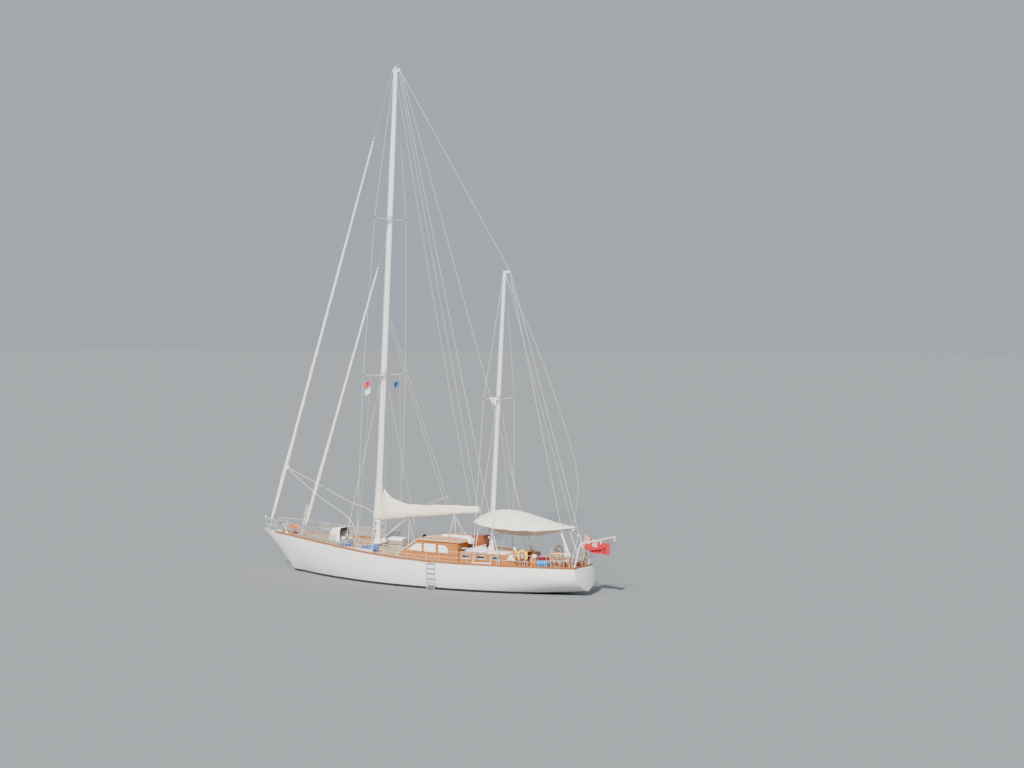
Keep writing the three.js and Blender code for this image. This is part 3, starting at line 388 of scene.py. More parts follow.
def wrapped(columns: int, rows: int, place: Callable[[float, float], Point],
            reach: tuple[float, float] = (1.0, 1.0)) -> Made:
    """Makes a grid whose two long edges meet, with its ends closed.

    Args:
        columns: faces round it.
        rows: faces along it.
        place: gives a point for each u round it and v along it.
        reach: what the UV map counts to along u and v.

    Returns:
        The closed form, its faces outwards.
    """
    made = spread_grid(columns, rows, place, reach)
    bmesh.ops.remove_doubles(made, verts=list(made.verts), dist=1e-6)
    open_edges = [edge for edge in made.edges if edge.is_boundary]
    if open_edges:
        bmesh.ops.holes_fill(made, edges=open_edges, sides=0)
    bmesh.ops.recalc_face_normals(made, faces=list(made.faces))
    return made


def thickened(made: Made, thickness: float) -> Made:
    """Gives a sheet a thickness on its inner side."""
    bmesh.ops.recalc_face_normals(made, faces=list(made.faces))
    bmesh.ops.solidify(made, geom=list(made.faces), thickness=thickness)
    return made


class Recipe:
    """A node tree in the making, with short makers for the nodes that the finishes share."""

    def __init__(self, name: str) -> None:
        """Starts a material with one shader."""
        self.material = bpy.data.materials.new(name)
        self.material.use_nodes = True
        self.tree = self.material.node_tree
        self.tree.nodes.clear()
        self.shader = self.tree.nodes.new("ShaderNodeBsdfPrincipled")
        out = self.tree.nodes.new("ShaderNodeOutputMaterial")
        self.tree.links.new(self.shader.outputs[0], out.inputs["Surface"])

    def feed(self, socket: Socket, value: object) -> None:
        """Links a socket, or sets its own value."""
        if isinstance(value, bpy.types.NodeSocket):
            self.tree.links.new(value, socket)
        else:
            socket.default_value = value

    def shade(self, **values: object) -> None:
        """Feeds the shader's sockets, named with underscores for spaces."""
        for name, value in values.items():
            label = name.replace("_", " ").title().replace("Ior", "IOR")
            if label == "Base Color" and isinstance(value, tuple):
                value = (*value, 1.0)
            self.feed(self.shader.inputs[label], value)

    def place(self, scale: Point = (1, 1, 1), uv: bool = False) -> Socket:
        """Object or UV coordinates, scaled."""
        where = self.tree.nodes.new("ShaderNodeTexCoord")
        mapping = self.tree.nodes.new("ShaderNodeMapping")
        mapping.inputs["Scale"].default_value = scale
        self.tree.links.new(where.outputs["UV" if uv else "Object"], mapping.inputs["Vector"])
        return mapping.outputs["Vector"]

    def axis(self, which: int, uv: bool = False) -> Socket:
        """One coordinate: 0 for x, 1 for y, 2 for z."""
        split = self.tree.nodes.new("ShaderNodeSeparateXYZ")
        self.tree.links.new(self.place(uv=uv), split.inputs[0])
        return split.outputs[which]

    def noise(self, scale: float, stretch: Point = (1, 1, 1), detail: float = 4.0, rough: float = 0.55,
              uv: bool = False) -> Socket:
        """Noise from 0 to 1.

        Args:
            scale: how fine it is.
            stretch: scale along each axis.
            detail: its octaves.
            rough: weight of the finer octaves.
            uv: whether it follows the UV map.

        Returns:
            The socket that carries it.
        """
        node = self.tree.nodes.new("ShaderNodeTexNoise")
        self.feed(node.inputs["Vector"], self.place(stretch, uv))
        node.inputs["Scale"].default_value = scale
        node.inputs["Detail"].default_value = detail
        node.inputs["Roughness"].default_value = rough
        return node.outputs["Fac"]

    def sum(self, kind: str, a: object, b: object = 0.0, clamp: bool = False) -> Socket:
        """One math node on two values."""
        node = self.tree.nodes.new("ShaderNodeMath")
        node.operation = kind
        node.use_clamp = clamp
        self.feed(node.inputs[0], a)
        self.feed(node.inputs[1], b)
        return node.outputs[0]

    def step(self, value: Socket, low: float, high: float, flip: bool = False) -> Socket:
        """A gentle step from 0 to 1 as a value goes from low to high."""
        node = self.tree.nodes.new("ShaderNodeMapRange")
        node.interpolation_type = "SMOOTHSTEP"
        self.feed(node.inputs["Value"], value)
        node.inputs["From Min"].default_value = low
        node.inputs["From Max"].default_value = high
        node.inputs["To Min"].default_value = 1.0 if flip else 0.0
        node.inputs["To Max"].default_value = 0.0 if flip else 1.0
        return node.outputs["Result"]

    def ramp(self, value: Socket, *stops: tuple[float, Colour]) -> Socket:
        """Colours laid along a value."""
        node = self.tree.nodes.new("ShaderNodeValToRGB")
        self.feed(node.inputs[0], value)
        elements = node.color_ramp.elements
        while len(elements) < len(stops):
            elements.new(0.5)
        for element, (where, colour) in zip(elements, stops):
            element.position = where
            element.color = (*colour, 1.0)
        return node.outputs["Color"]

    def mix(self, share: object, a: object, b: object) -> Socket:
        """A mix of two colours."""
        node = self.tree.nodes.new("ShaderNodeMix")
        node.data_type = "RGBA"
        self.feed(node.inputs["Factor"], share)
        for socket, value in ((node.inputs[6], a), (node.inputs[7], b)):
            self.feed(socket, (*value, 1.0) if isinstance(value, tuple) else value)
        return node.outputs[2]

    def bump(self, height: Socket, distance: float, strength: float = 1.0) -> None:
        """Raises the surface by a height, on top of any bump before it."""
        node = self.tree.nodes.new("ShaderNodeBump")
        node.inputs["Strength"].default_value = strength
        node.inputs["Distance"].default_value = distance
        self.feed(node.inputs["Height"], height)
        normal = self.shader.inputs["Normal"]
        if normal.is_linked:
            self.tree.links.new(normal.links[0].from_socket, node.inputs["Normal"])
        self.tree.links.new(node.outputs["Normal"], normal)


@dataclass(frozen=True)
class Finish:
    """A finish: each makes its material once."""

    name: str

    def material(self) -> bpy.types.Material:
        """The finish's material, made when first asked for."""
        found = bpy.data.materials.get(self.name)
        return found or self.cast()

    def cast(self) -> bpy.types.Material:
        """Makes the material."""
        raise NotImplementedError


@dataclass(frozen=True)
class HullPaint(Finish):
    """Gloss white topsides, weathered a little and with a painted greenish reflection of the water low down, over a
    dark bottom up to the boot-top.
    """

    white: Colour = (0.84, 0.84, 0.82)
    shade: Colour = (0.74, 0.75, 0.73)
    bottom: Colour = (0.012, 0.014, 0.018)
    boot_top: float = 0.13

    def cast(self) -> bpy.types.Material:
        """Makes the material."""
        r = Recipe(self.name)
        height = r.axis(2)
        cloud = r.noise(0.9, (0.6, 1, 1.6))
        streak = r.noise(7.0, (1, 1, 0.12), detail=6)
        paint = r.mix(r.sum("MULTIPLY", cloud, 0.35), self.white, self.shade)
        # greenish streaks low on the topsides, fading out by 0.75 m up: painted reflection of the water
        low = r.sum("MULTIPLY", r.step(height, 0.15, 0.75, flip=True), r.step(streak, 0.45, 0.75))
        paint = r.mix(r.sum("MULTIPLY", low, 0.4), paint, (0.62, 0.66, 0.62))
        run = r.sum("MULTIPLY", r.step(streak, 0.63, 0.8), r.step(height, 0.3, 1.6))
        paint = r.mix(r.sum("MULTIPLY", run, 0.18), paint, (0.60, 0.55, 0.44))
        bottom = r.ramp(r.noise(9.0), (0.3, self.bottom), (0.75, (0.03, 0.033, 0.036)))
        under = r.step(height, self.boot_top - 0.004, self.boot_top + 0.004, flip=True)
        r.shade(base_color=r.mix(under, paint, bottom), coat_weight=0.25, coat_roughness=0.08)
        gloss = r.sum("ADD", r.sum("MULTIPLY", cloud, 0.14), 0.2)
        r.shade(roughness=r.sum("ADD", gloss, r.sum("MULTIPLY", under, 0.45)))
        r.bump(r.noise(0.55, (0.5, 1, 1), detail=1), 0.006)
        r.bump(r.noise(60.0, detail=2), 0.0004, 0.4)
        return r.material


@dataclass(frozen=True)
class Varnish(Finish):
    """Varnished hardwood with its grain along one axis."""

    light: Colour = (0.44, 0.165, 0.042)
    dark: Colour = (0.26, 0.080, 0.018)
    grain: Point = (1, 16, 16)
    roughness: float = 0.26

    def cast(self) -> bpy.types.Material:
        """Makes the material."""
        r = Recipe(self.name)
        broad = r.noise(1.6, self.grain, detail=3)
        fine = r.noise(9.0, self.grain, detail=6, rough=0.65)
        grain = r.sum("ADD", r.sum("MULTIPLY", broad, 0.6), r.sum("MULTIPLY", fine, 0.4))
        wood = r.ramp(grain, (0.32, self.dark), (0.5, self.light), (0.72, tuple(c * 1.22 for c in self.light)))
        worn = r.step(r.noise(2.3, (1, 1, 1), detail=7, rough=0.7), 0.62, 0.72)
        r.shade(base_color=r.mix(r.sum("MULTIPLY", worn, 0.35), wood, (0.66, 0.37, 0.15)))
        r.shade(roughness=r.sum("ADD", r.sum("MULTIPLY", worn, 0.25), self.roughness),
                coat_weight=0.6, coat_roughness=0.12)
        r.bump(fine, 0.0012, 0.6)
        return r.material


@dataclass(frozen=True)
class LaidTeak(Finish):
    """Scrubbed teak planks with dark seams, running fore and aft."""

    plank: float = 0.062
    seam: float = 0.007
    light: Colour = (0.60, 0.42, 0.27)
    dark: Colour = (0.42, 0.28, 0.17)
    caulk: Colour = (0.045, 0.04, 0.036)

    def cast(self) -> bpy.types.Material:
        """Makes the material."""
        r = Recipe(self.name)
        across = r.sum("DIVIDE", r.axis(1), self.plank)
        inside = r.sum("FRACT", across)
        row = r.sum("FLOOR", across)
        edge = r.sum("ABSOLUTE", r.sum("SUBTRACT", inside, 0.5))
        seam = r.step(edge, 0.5 - self.seam / self.plank, 0.5 - self.seam / self.plank * 0.45)
        tone = r.sum("FRACT", r.sum("MULTIPLY", r.sum("SINE", r.sum("MULTIPLY", row, 12.9898)), 43.7))
        grain = r.noise(14.0, (1.2, 18, 6), detail=6, rough=0.7)
        wood = r.ramp(r.sum("ADD", r.sum("MULTIPLY", tone, 0.45), r.sum("MULTIPLY", grain, 0.6)),
                      (0.25, self.dark), (0.75, self.light))
        bleached = r.step(r.noise(0.7, detail=3), 0.4, 0.7)
        wood = r.mix(r.sum("MULTIPLY", bleached, 0.35), wood, (0.55, 0.47, 0.38))
        r.shade(base_color=r.mix(seam, wood, self.caulk))
        r.shade(roughness=r.sum("ADD", r.sum("MULTIPLY", grain, 0.2), 0.6))
        r.bump(r.sum("SUBTRACT", grain, r.sum("MULTIPLY", seam, 1.4)), 0.0016, 0.8)
        return r.material


@dataclass(frozen=True)
class Canvas(Finish):
    """Woven cloth with soft wrinkles and a little weathering."""

    colour: Colour = (0.83, 0.77, 0.66)
    soiled: Colour = (0.66, 0.58, 0.46)
    thread: float = 420.0
    wrinkle: float = 0.008
    panel: float = 0.0

    def cast(self) -> bpy.types.Material:
        """Makes the material."""
        r = Recipe(self.name)
        weave = self.weave(r)
        cloud = r.noise(1.7, detail=5, rough=0.6)
        cloth = r.mix(r.sum("MULTIPLY", r.step(cloud, 0.42, 0.72), 0.45), self.colour, self.soiled)
        cloth = r.mix(r.sum("MULTIPLY", weave, 0.12), cloth, tuple(c * 0.75 for c in self.colour))
        if self.panel > 0:
            inside = r.sum("FRACT", r.sum("DIVIDE", r.axis(1, uv=True), self.panel))
            near = r.sum("ABSOLUTE", r.sum("SUBTRACT", inside, 0.5))
            seam = r.step(near, 0.5 - 0.03 / self.panel, 0.5 - 0.012 / self.panel)
            cloth = r.mix(r.sum("MULTIPLY", seam, 0.3), cloth, self.soiled)
            r.bump(seam, 0.002)
        r.shade(base_color=cloth, roughness=0.88, sheen_weight=0.25, sheen_roughness=0.5)
        r.bump(r.noise(5.0, detail=4, rough=0.5), self.wrinkle)
        r.bump(weave, 0.0004, 0.7)
        return r.material

    def weave(self, r: Recipe) -> Socket:
        """The crossing of warp and weft, from 0 to 1."""
        waves = [r.sum("SINE", r.sum("MULTIPLY", r.axis(k), self.thread * 2.0)) for k in (0, 1, 2)]
        crossed = r.sum("MULTIPLY", r.sum("ADD", waves[0], waves[1]), waves[2])
        return r.sum("ADD", r.sum("MULTIPLY", crossed, 0.25), 0.5, clamp=True)


@dataclass(frozen=True)
class Metal(Finish):
    """Bare or polished metal with fine scratches and dull patches."""

    colour: Colour = (0.62, 0.63, 0.64)
    roughness: float = 0.22
    dull: Colour = (0.42, 0.42, 0.41)
    metallic: float = 1.0

    def cast(self) -> bpy.types.Material:
        """Makes the material."""
        r = Recipe(self.name)
        patch = r.noise(6.0, detail=6, rough=0.65)
        scratch = r.noise(45.0, (1, 1, 9), detail=3)
        worn = r.step(patch, 0.5, 0.75)
        r.shade(base_color=r.mix(r.sum("MULTIPLY", worn, 0.6), self.colour, self.dull), metallic=self.metallic)
        rough = r.sum("ADD", r.sum("MULTIPLY", worn, 0.25), r.sum("MULTIPLY", scratch, 0.12))
        r.shade(roughness=r.sum("ADD", rough, self.roughness))
        r.bump(scratch, 0.0003, 0.5)
        return r.material


@dataclass(frozen=True)
class Paint(Finish):
    """Enamel or moulded plastic in one colour, a little faded and scuffed."""

    colour: Colour = (0.80, 0.80, 0.78)
    faded: Colour = (0.66, 0.66, 0.63)
    roughness: float = 0.32
    grain: float = 0.0006

    def cast(self) -> bpy.types.Material:
        """Makes the material."""
        r = Recipe(self.name)
        patch = r.noise(2.6, (1, 1, 0.5), detail=6, rough=0.6)
        scuff = r.step(r.noise(18.0, detail=7, rough=0.75), 0.6, 0.75)
        base = r.mix(r.sum("MULTIPLY", r.step(patch, 0.4, 0.75), 0.5), self.colour, self.faded)
        r.shade(base_color=r.mix(r.sum("MULTIPLY", scuff, 0.3), base, tuple(c * 0.8 for c in self.faded)))
        r.shade(roughness=r.sum("ADD", r.sum("MULTIPLY", scuff, 0.2), self.roughness), coat_weight=0.15)
        r.bump(r.noise(90.0, detail=2), self.grain, 0.5)
        return r.material


@dataclass(frozen=True)
class Rope(Finish):
    """Laid or braided rope: the strands wind round along the UV map, with painted shade darkening the grooves between
    them.
    """

    colour: Colour = (0.62, 0.56, 0.46)
    # colour of the grooves between strands: painted shade, and in the blue fleck rope also its darker fleck
    dark: Colour = (0.36, 0.31, 0.24)
    lay: float = 0.05

    def cast(self) -> bpy.types.Material:
        """Makes the material."""
        r = Recipe(self.name)
        turn = r.sum("ADD", r.sum("MULTIPLY", r.axis(0, uv=True), math.tau * 3),
                     r.sum("MULTIPLY", r.axis(1, uv=True), math.tau / self.lay))
        strand = r.sum("ADD", r.sum("MULTIPLY", r.sum("SINE", turn), 0.5), 0.5)
        fibre = r.noise(160.0, (1, 1, 1), detail=3)
        tone = r.sum("ADD", r.sum("MULTIPLY", strand, 0.7), r.sum("MULTIPLY", fibre, 0.3))
        # crests take the colour and grooves the dark one: painted shade in the lay
        r.shade(base_color=r.mix(tone, self.dark, self.colour), roughness=0.85, sheen_weight=0.15)
        r.bump(strand, 0.002)
        return r.material


@dataclass(frozen=True)
class DarkGlass(Finish):
    """Window glass with a dark room behind it."""

    tint: Colour = (0.02, 0.026, 0.03)

    def cast(self) -> bpy.types.Material:
        """Makes the material."""
        r = Recipe(self.name)
        haze = r.noise(3.0, detail=5)
        r.shade(base_color=r.mix(r.sum("MULTIPLY", haze, 0.3), self.tint, (0.10, 0.12, 0.13)))
        r.shade(roughness=r.sum("ADD", r.sum("MULTIPLY", haze, 0.12), 0.04), coat_weight=0.5)
        return r.material


@dataclass(frozen=True)
class Bunting(Finish):
    """Red bunting with a crossed canton in its upper hoist corner, laid out on the UV map."""

    red: Colour = (0.50, 0.004, 0.012)
    blue: Colour = (0.02, 0.04, 0.22)
    white: Colour = (0.82, 0.80, 0.80)

    def bars(self, r: Recipe, value: Socket, half: float) -> Socket:
        """1 where a value is nearer to nothing than half."""
        return r.step(r.sum("ABSOLUTE", value), half * 0.92, half * 1.08, flip=True)

    def cast(self) -> bpy.types.Material:
        """Makes the material."""
        r = Recipe(self.name)
        along, up = r.axis(0, uv=True), r.axis(1, uv=True)
        x = r.sum("SUBTRACT", r.sum("MULTIPLY", along, 2.0), 0.5)
        y = r.sum("SUBTRACT", r.sum("MULTIPLY", up, 2.0), 1.5)
        rising, falling = r.sum("SUBTRACT", y, x), r.sum("ADD", y, x)
        field_colour = r.mix(self.bars(r, rising, 0.17), self.blue, self.white)
        field_colour = r.mix(self.bars(r, falling, 0.17), field_colour, self.white)
        field_colour = r.mix(self.bars(r, rising, 0.06), field_colour, self.red)
        field_colour = r.mix(self.bars(r, falling, 0.06), field_colour, self.red)
        for width, colour in ((0.17, self.white), (0.10, self.red)):
            field_colour = r.mix(self.bars(r, x, width), field_colour, colour)
            field_colour = r.mix(self.bars(r, y, width), field_colour, colour)
        corner = r.sum("MULTIPLY", r.step(along, 0.497, 0.503, flip=True), r.step(up, 0.497, 0.503))
        weave = r.noise(320.0, detail=1)
        cloth = r.mix(corner, self.red, field_colour)
        r.shade(base_color=r.mix(r.sum("MULTIPLY", weave, 0.2), cloth, (0.3, 0.02, 0.03)), roughness=0.8,
                sheen_weight=0.3)
        r.bump(r.noise(14.0, detail=3), 0.004)
        r.bump(weave, 0.0005, 0.5)
        return r.material


HULL_WHITE = HullPaint("hull_white")
VARNISH = Varnish("varnish_fore_and_aft")
VARNISH_UPRIGHT = Varnish("varnish_upright", grain=(16, 16, 1))
VARNISH_ATHWART = Varnish("varnish_athwart", grain=(16, 1, 16))
RAIL_VARNISH = Varnish("rail_varnish", light=(0.40, 0.140, 0.036), dark=(0.21, 0.062, 0.016))
TEAK = LaidTeak("laid_teak")
ROOF_TEAK = LaidTeak("roof_teak", plank=0.075, light=(0.72, 0.47, 0.30), dark=(0.60, 0.37, 0.22),
                     caulk=(0.33, 0.20, 0.12))
SAILCLOTH = Canvas("sailcloth", colour=(0.86, 0.83, 0.76), soiled=(0.72, 0.66, 0.56), wrinkle=0.012)
COVER_CLOTH = Canvas("cover_cloth", wrinkle=0.014)
AWNING_CLOTH = Canvas("awning_cloth", colour=(0.85, 0.80, 0.70), soiled=(0.74, 0.67, 0.55), panel=0.9)
WHITE_CLOTH = Canvas("white_cloth", colour=(0.88, 0.88, 0.86), soiled=(0.74, 0.73, 0.70), wrinkle=0.006)
BLUE_CLOTH = Canvas("blue_cloth", colour=(0.045, 0.065, 0.30), soiled=(0.03, 0.04, 0.18), wrinkle=0.02)
MAHOGANY = Varnish("red_mahogany", light=(0.26, 0.065, 0.018), dark=(0.13, 0.030, 0.010), grain=(16, 16, 1))
GREY_TEAK = Paint("weathered_slats", colour=(0.36, 0.33, 0.30), faded=(0.27, 0.24, 0.22), roughness=0.7)
BRIGHT_BLUE_CLOTH = Canvas("bright_blue_cloth", colour=(0.012, 0.17, 0.56), soiled=(0.01, 0.11, 0.36), wrinkle=0.02)
CRIMSON_CLOTH = Canvas("crimson_cloth", colour=(0.20, 0.004, 0.022), soiled=(0.12, 0.004, 0.016))
ORANGE_CLOTH = Canvas("orange_cloth", colour=(0.72, 0.075, 0.015), soiled=(0.50, 0.05, 0.012))
BUOY_COVER = Canvas("buoy_cover", colour=(0.82, 0.50, 0.0), soiled=(0.62, 0.34, 0.01), wrinkle=0.004)
MAST_PAINT = Paint("mast_paint", colour=(0.84, 0.84, 0.82), faded=(0.74, 0.74, 0.71))
WHITE_PAINT = Paint("white_paint")
GREY_PAINT = Paint("grey_paint", colour=(0.30, 0.32, 0.33), faded=(0.22, 0.23, 0.24), roughness=0.5)
WHITE_PLASTIC = Paint("white_plastic", colour=(0.78, 0.80, 0.80), faded=(0.68, 0.70, 0.70), roughness=0.4)
ORANGE_PLASTIC = Paint("orange_plastic", colour=(0.80, 0.30, 0.05), faded=(0.66, 0.27, 0.08), roughness=0.45)
BLACK_RUBBER = Paint("black_rubber", colour=(0.02, 0.02, 0.022), faded=(0.05, 0.05, 0.05), roughness=0.7)
STEEL = Metal("polished_steel", colour=(0.74, 0.74, 0.73), dull=(0.58, 0.58, 0.57), metallic=0.55)
WIRE_STEEL = Metal("wire_steel", colour=(0.80, 0.80, 0.78), roughness=0.4, dull=(0.62, 0.62, 0.60), metallic=0.25)
GALVANISED = Metal("galvanised", colour=(0.40, 0.41, 0.42), roughness=0.5, dull=(0.28, 0.28, 0.28), metallic=0.7)
BRONZE = Metal("bronze", colour=(0.48, 0.30, 0.12), roughness=0.35, dull=(0.22, 0.20, 0.12))
ANTIFOULING = Paint("antifouling", colour=(0.016, 0.018, 0.022), faded=(0.035, 0.038, 0.042), roughness=0.75)
ROPE = Rope("rope")
WHITE_ROPE = Rope("white_rope", colour=(0.84, 0.83, 0.79), dark=(0.62, 0.60, 0.56))
GLASS = DarkGlass("dark_glass")
ENSIGN = Bunting("ensign_bunting")


@dataclass(frozen=True)
class HullLines:
    """The shape of the hull, from which everything on deck takes its place. In metres."""

    bow_x: float = 10.0
    widest_x: float = -0.6
    half_beam: float = 2.35
    narrowing: float = 1.43
    rail_low: float = 1.46
    spring: float = 0.63
    rail_height: float = 0.095
    camber: float = 0.022
    transom_foot: tuple[float, float] = (-10.0, 0.25)
    transom_top: tuple[float, float] = (-9.72, 1.45)
    # x, height of the keel line, fullness, roundness of the bilge, tumblehome
    stations: tuple[tuple[float, ...], ...] = (
        (-10.1, 0.262, 2.6, 1.5, 0.13), (-9.4, 0.180, 2.8, 1.55, 0.12), (-8.4, 0.035, 3.0, 1.6, 0.09),
        (-7.0, -0.250, 3.0, 1.6, 0.05), (-5.0, -0.620, 3.1, 1.6, 0.02), (-3.0, -0.860, 3.2, 1.6, 0.01),
        (-1.0, -0.970, 3.15, 1.6, 0.0), (1.0, -1.000, 3.05, 1.6, 0.0), (3.0, -0.900, 2.7, 1.6, 0.0),
        (4.6, -0.720, 2.45, 1.6, 0.0), (6.0, -0.450, 2.2, 1.6, 0.0), (7.1, -0.190, 1.75, 1.5, 0.0),
        (7.98, 0.0, 1.35, 1.3, 0.0), (8.7, 0.745, 1.25, 1.25, 0.0), (9.4, 1.468, 1.2, 1.25, 0.0),
        (9.99, 1.985, 1.2, 1.25, 0.0))

    def rail_z(self, x: float) -> float:
        """Height of the rail's top."""
        along = min(max((x + 4.0) / 14.0, 0.0), 1.0)
        return self.rail_low + self.spring * ((1 - math.cos(math.pi * along)) / 2) ** 1.15

    def edge_z(self, x: float) -> float:
        """Height of the deck at its edge."""
        return self.rail_z(x) - self.rail_height

    def half(self, x: float) -> float:
        """Half the width of the deck."""
        if x > self.widest_x:
            return self.half_beam * (1 - ((x - self.widest_x) / (self.bow_x - self.widest_x)) ** 1.95)
        return self.half_beam - self.narrowing * ((self.widest_x - x) / 9.15) ** 2

    def deck_z(self, x: float, y: float = 0.0) -> float:
        """Height of the deck with its camber."""
        half = max(self.half(x), 0.001)
        return self.edge_z(x) + self.camber * half * (1 - min(abs(y) / half, 1.0))

    def transom_x(self, z: float) -> float:
        """Where the leaning transom lies at a height."""
        (foot_x, foot_z), (top_x, top_z) = self.transom_foot, self.transom_top
        return foot_x + (z - foot_z) / (top_z - foot_z) * (top_x - foot_x)

    def skin(self, x: float, s: float, side: float) -> Vector:
        """A point of the hull's skin: s runs from 0 at the deck edge to 1 at the keel line."""
        keel, full, roundness, tumble = (from_table(self.stations, x, k) for k in (1, 2, 3, 4))
        shape = max(1 - s ** full, 0.0) ** (1 / roundness)
        half = self.half(x) * shape * (1 + tumble * math.sin(math.pi * s))
        edge = self.edge_z(x)
        return Vector((x, side * half, edge + (keel - edge) * s))

    def aft_end(self, s: float) -> float:
        """Where a line of the skin meets the transom."""
        x = self.transom_foot[0]
        for _ in range(6):
            x = self.transom_x(self.skin(x, s, 1.0).z)
        return x

    def inboard(self, x: float, side: float, distance: float, up: float = 0.0) -> Vector:
        """A point on deck at a distance in from the edge, raised by up."""
        y = self.half(x) - distance
        return Vector((x, side * y, self.deck_z(x, y) + up))


LINES = HullLines()


@dataclass
class Studio:
    """Camera at the photograph's angle, soft lights and a pale floor at the waterline."""

    camera_at: Point = (-52.01, 75.22, 12.85)
    looks_along: Point = (0.52435, -0.85099, -0.02956)
    lens: float = 62.58
    floor_size: float = 900.0
    pale: Colour = (0.24, 0.255, 0.27)

    def build(self) -> None:
        """Sets up the whole studio."""
        self.camera()
        self.floor()
        self.lights()

    def camera(self) -> None:
        """Places the camera."""
        data = bpy.data.cameras.new("camera")
        data.lens, data.sensor_width, data.clip_end = self.lens, 36.0, 2000.0
        camera = bpy.data.objects.new("camera", data)
        bpy.context.scene.collection.objects.link(camera)
        camera.location = self.camera_at
        camera.rotation_euler = Vector(self.looks_along).to_track_quat("-Z", "Y").to_euler()
        bpy.context.scene.camera = camera

    def floor(self) -> None:
        """Lays the floor."""
        made = bmesh.new()
        bmesh.ops.create_grid(made, x_segments=1, y_segments=1, size=self.floor_size)
        mesh = bpy.data.meshes.new("floor")
        made.to_mesh(mesh)
        made.free()
        r = Recipe("floor")
        r.shade(base_color=self.pale, roughness=0.9, specular_ior_level=0.0)
        mesh.materials.append(r.material)
        floor = bpy.data.objects.new("floor", mesh)
        bpy.context.scene.collection.objects.link(floor)

    def lights(self) -> None:
        """A high soft key from the camera's side, a wide fill, and a pale sky."""
        self.lamp("key", (-16.0, 58.0, 44.0), 4.0, 7.6, (1.0, 0.95, 0.88))
        self.lamp("fill", (40.0, 50.0, 34.0), 40.0, 0.55, (0.86, 0.93, 1.0))
        self.lamp("back", (10.0, -60.0, 40.0), 40.0, 0.5, (0.9, 0.95, 1.0))
        world = bpy.data.worlds.new("pale")
        world.use_nodes = True
        sky = world.node_tree.nodes["Background"]
        sky.inputs["Color"].default_value = (0.70, 0.78, 0.88, 1.0)
        sky.inputs["Strength"].default_value = 0.62
        bpy.context.scene.world = world

    def lamp(self, name: str, place: Point, spread: float, strength: float, colour: Colour) -> None:
        """Adds one distant lamp that shines at the yacht.

        Args:
            name: the lamp's name.
            place: the direction that it shines from.
            spread: its width in degrees, which softens its shadows.
            strength: its strength.
            colour: its colour.
        """
        data = bpy.data.lights.new(name, "SUN")
        data.angle, data.energy, data.color = math.radians(spread), strength, colour
        lamp = bpy.data.objects.new(name, data)
        bpy.context.scene.collection.objects.link(lamp)
        lamp.location = place
        lamp.rotation_euler = (-Vector(place)).to_track_quat("-Z", "Y").to_euler()


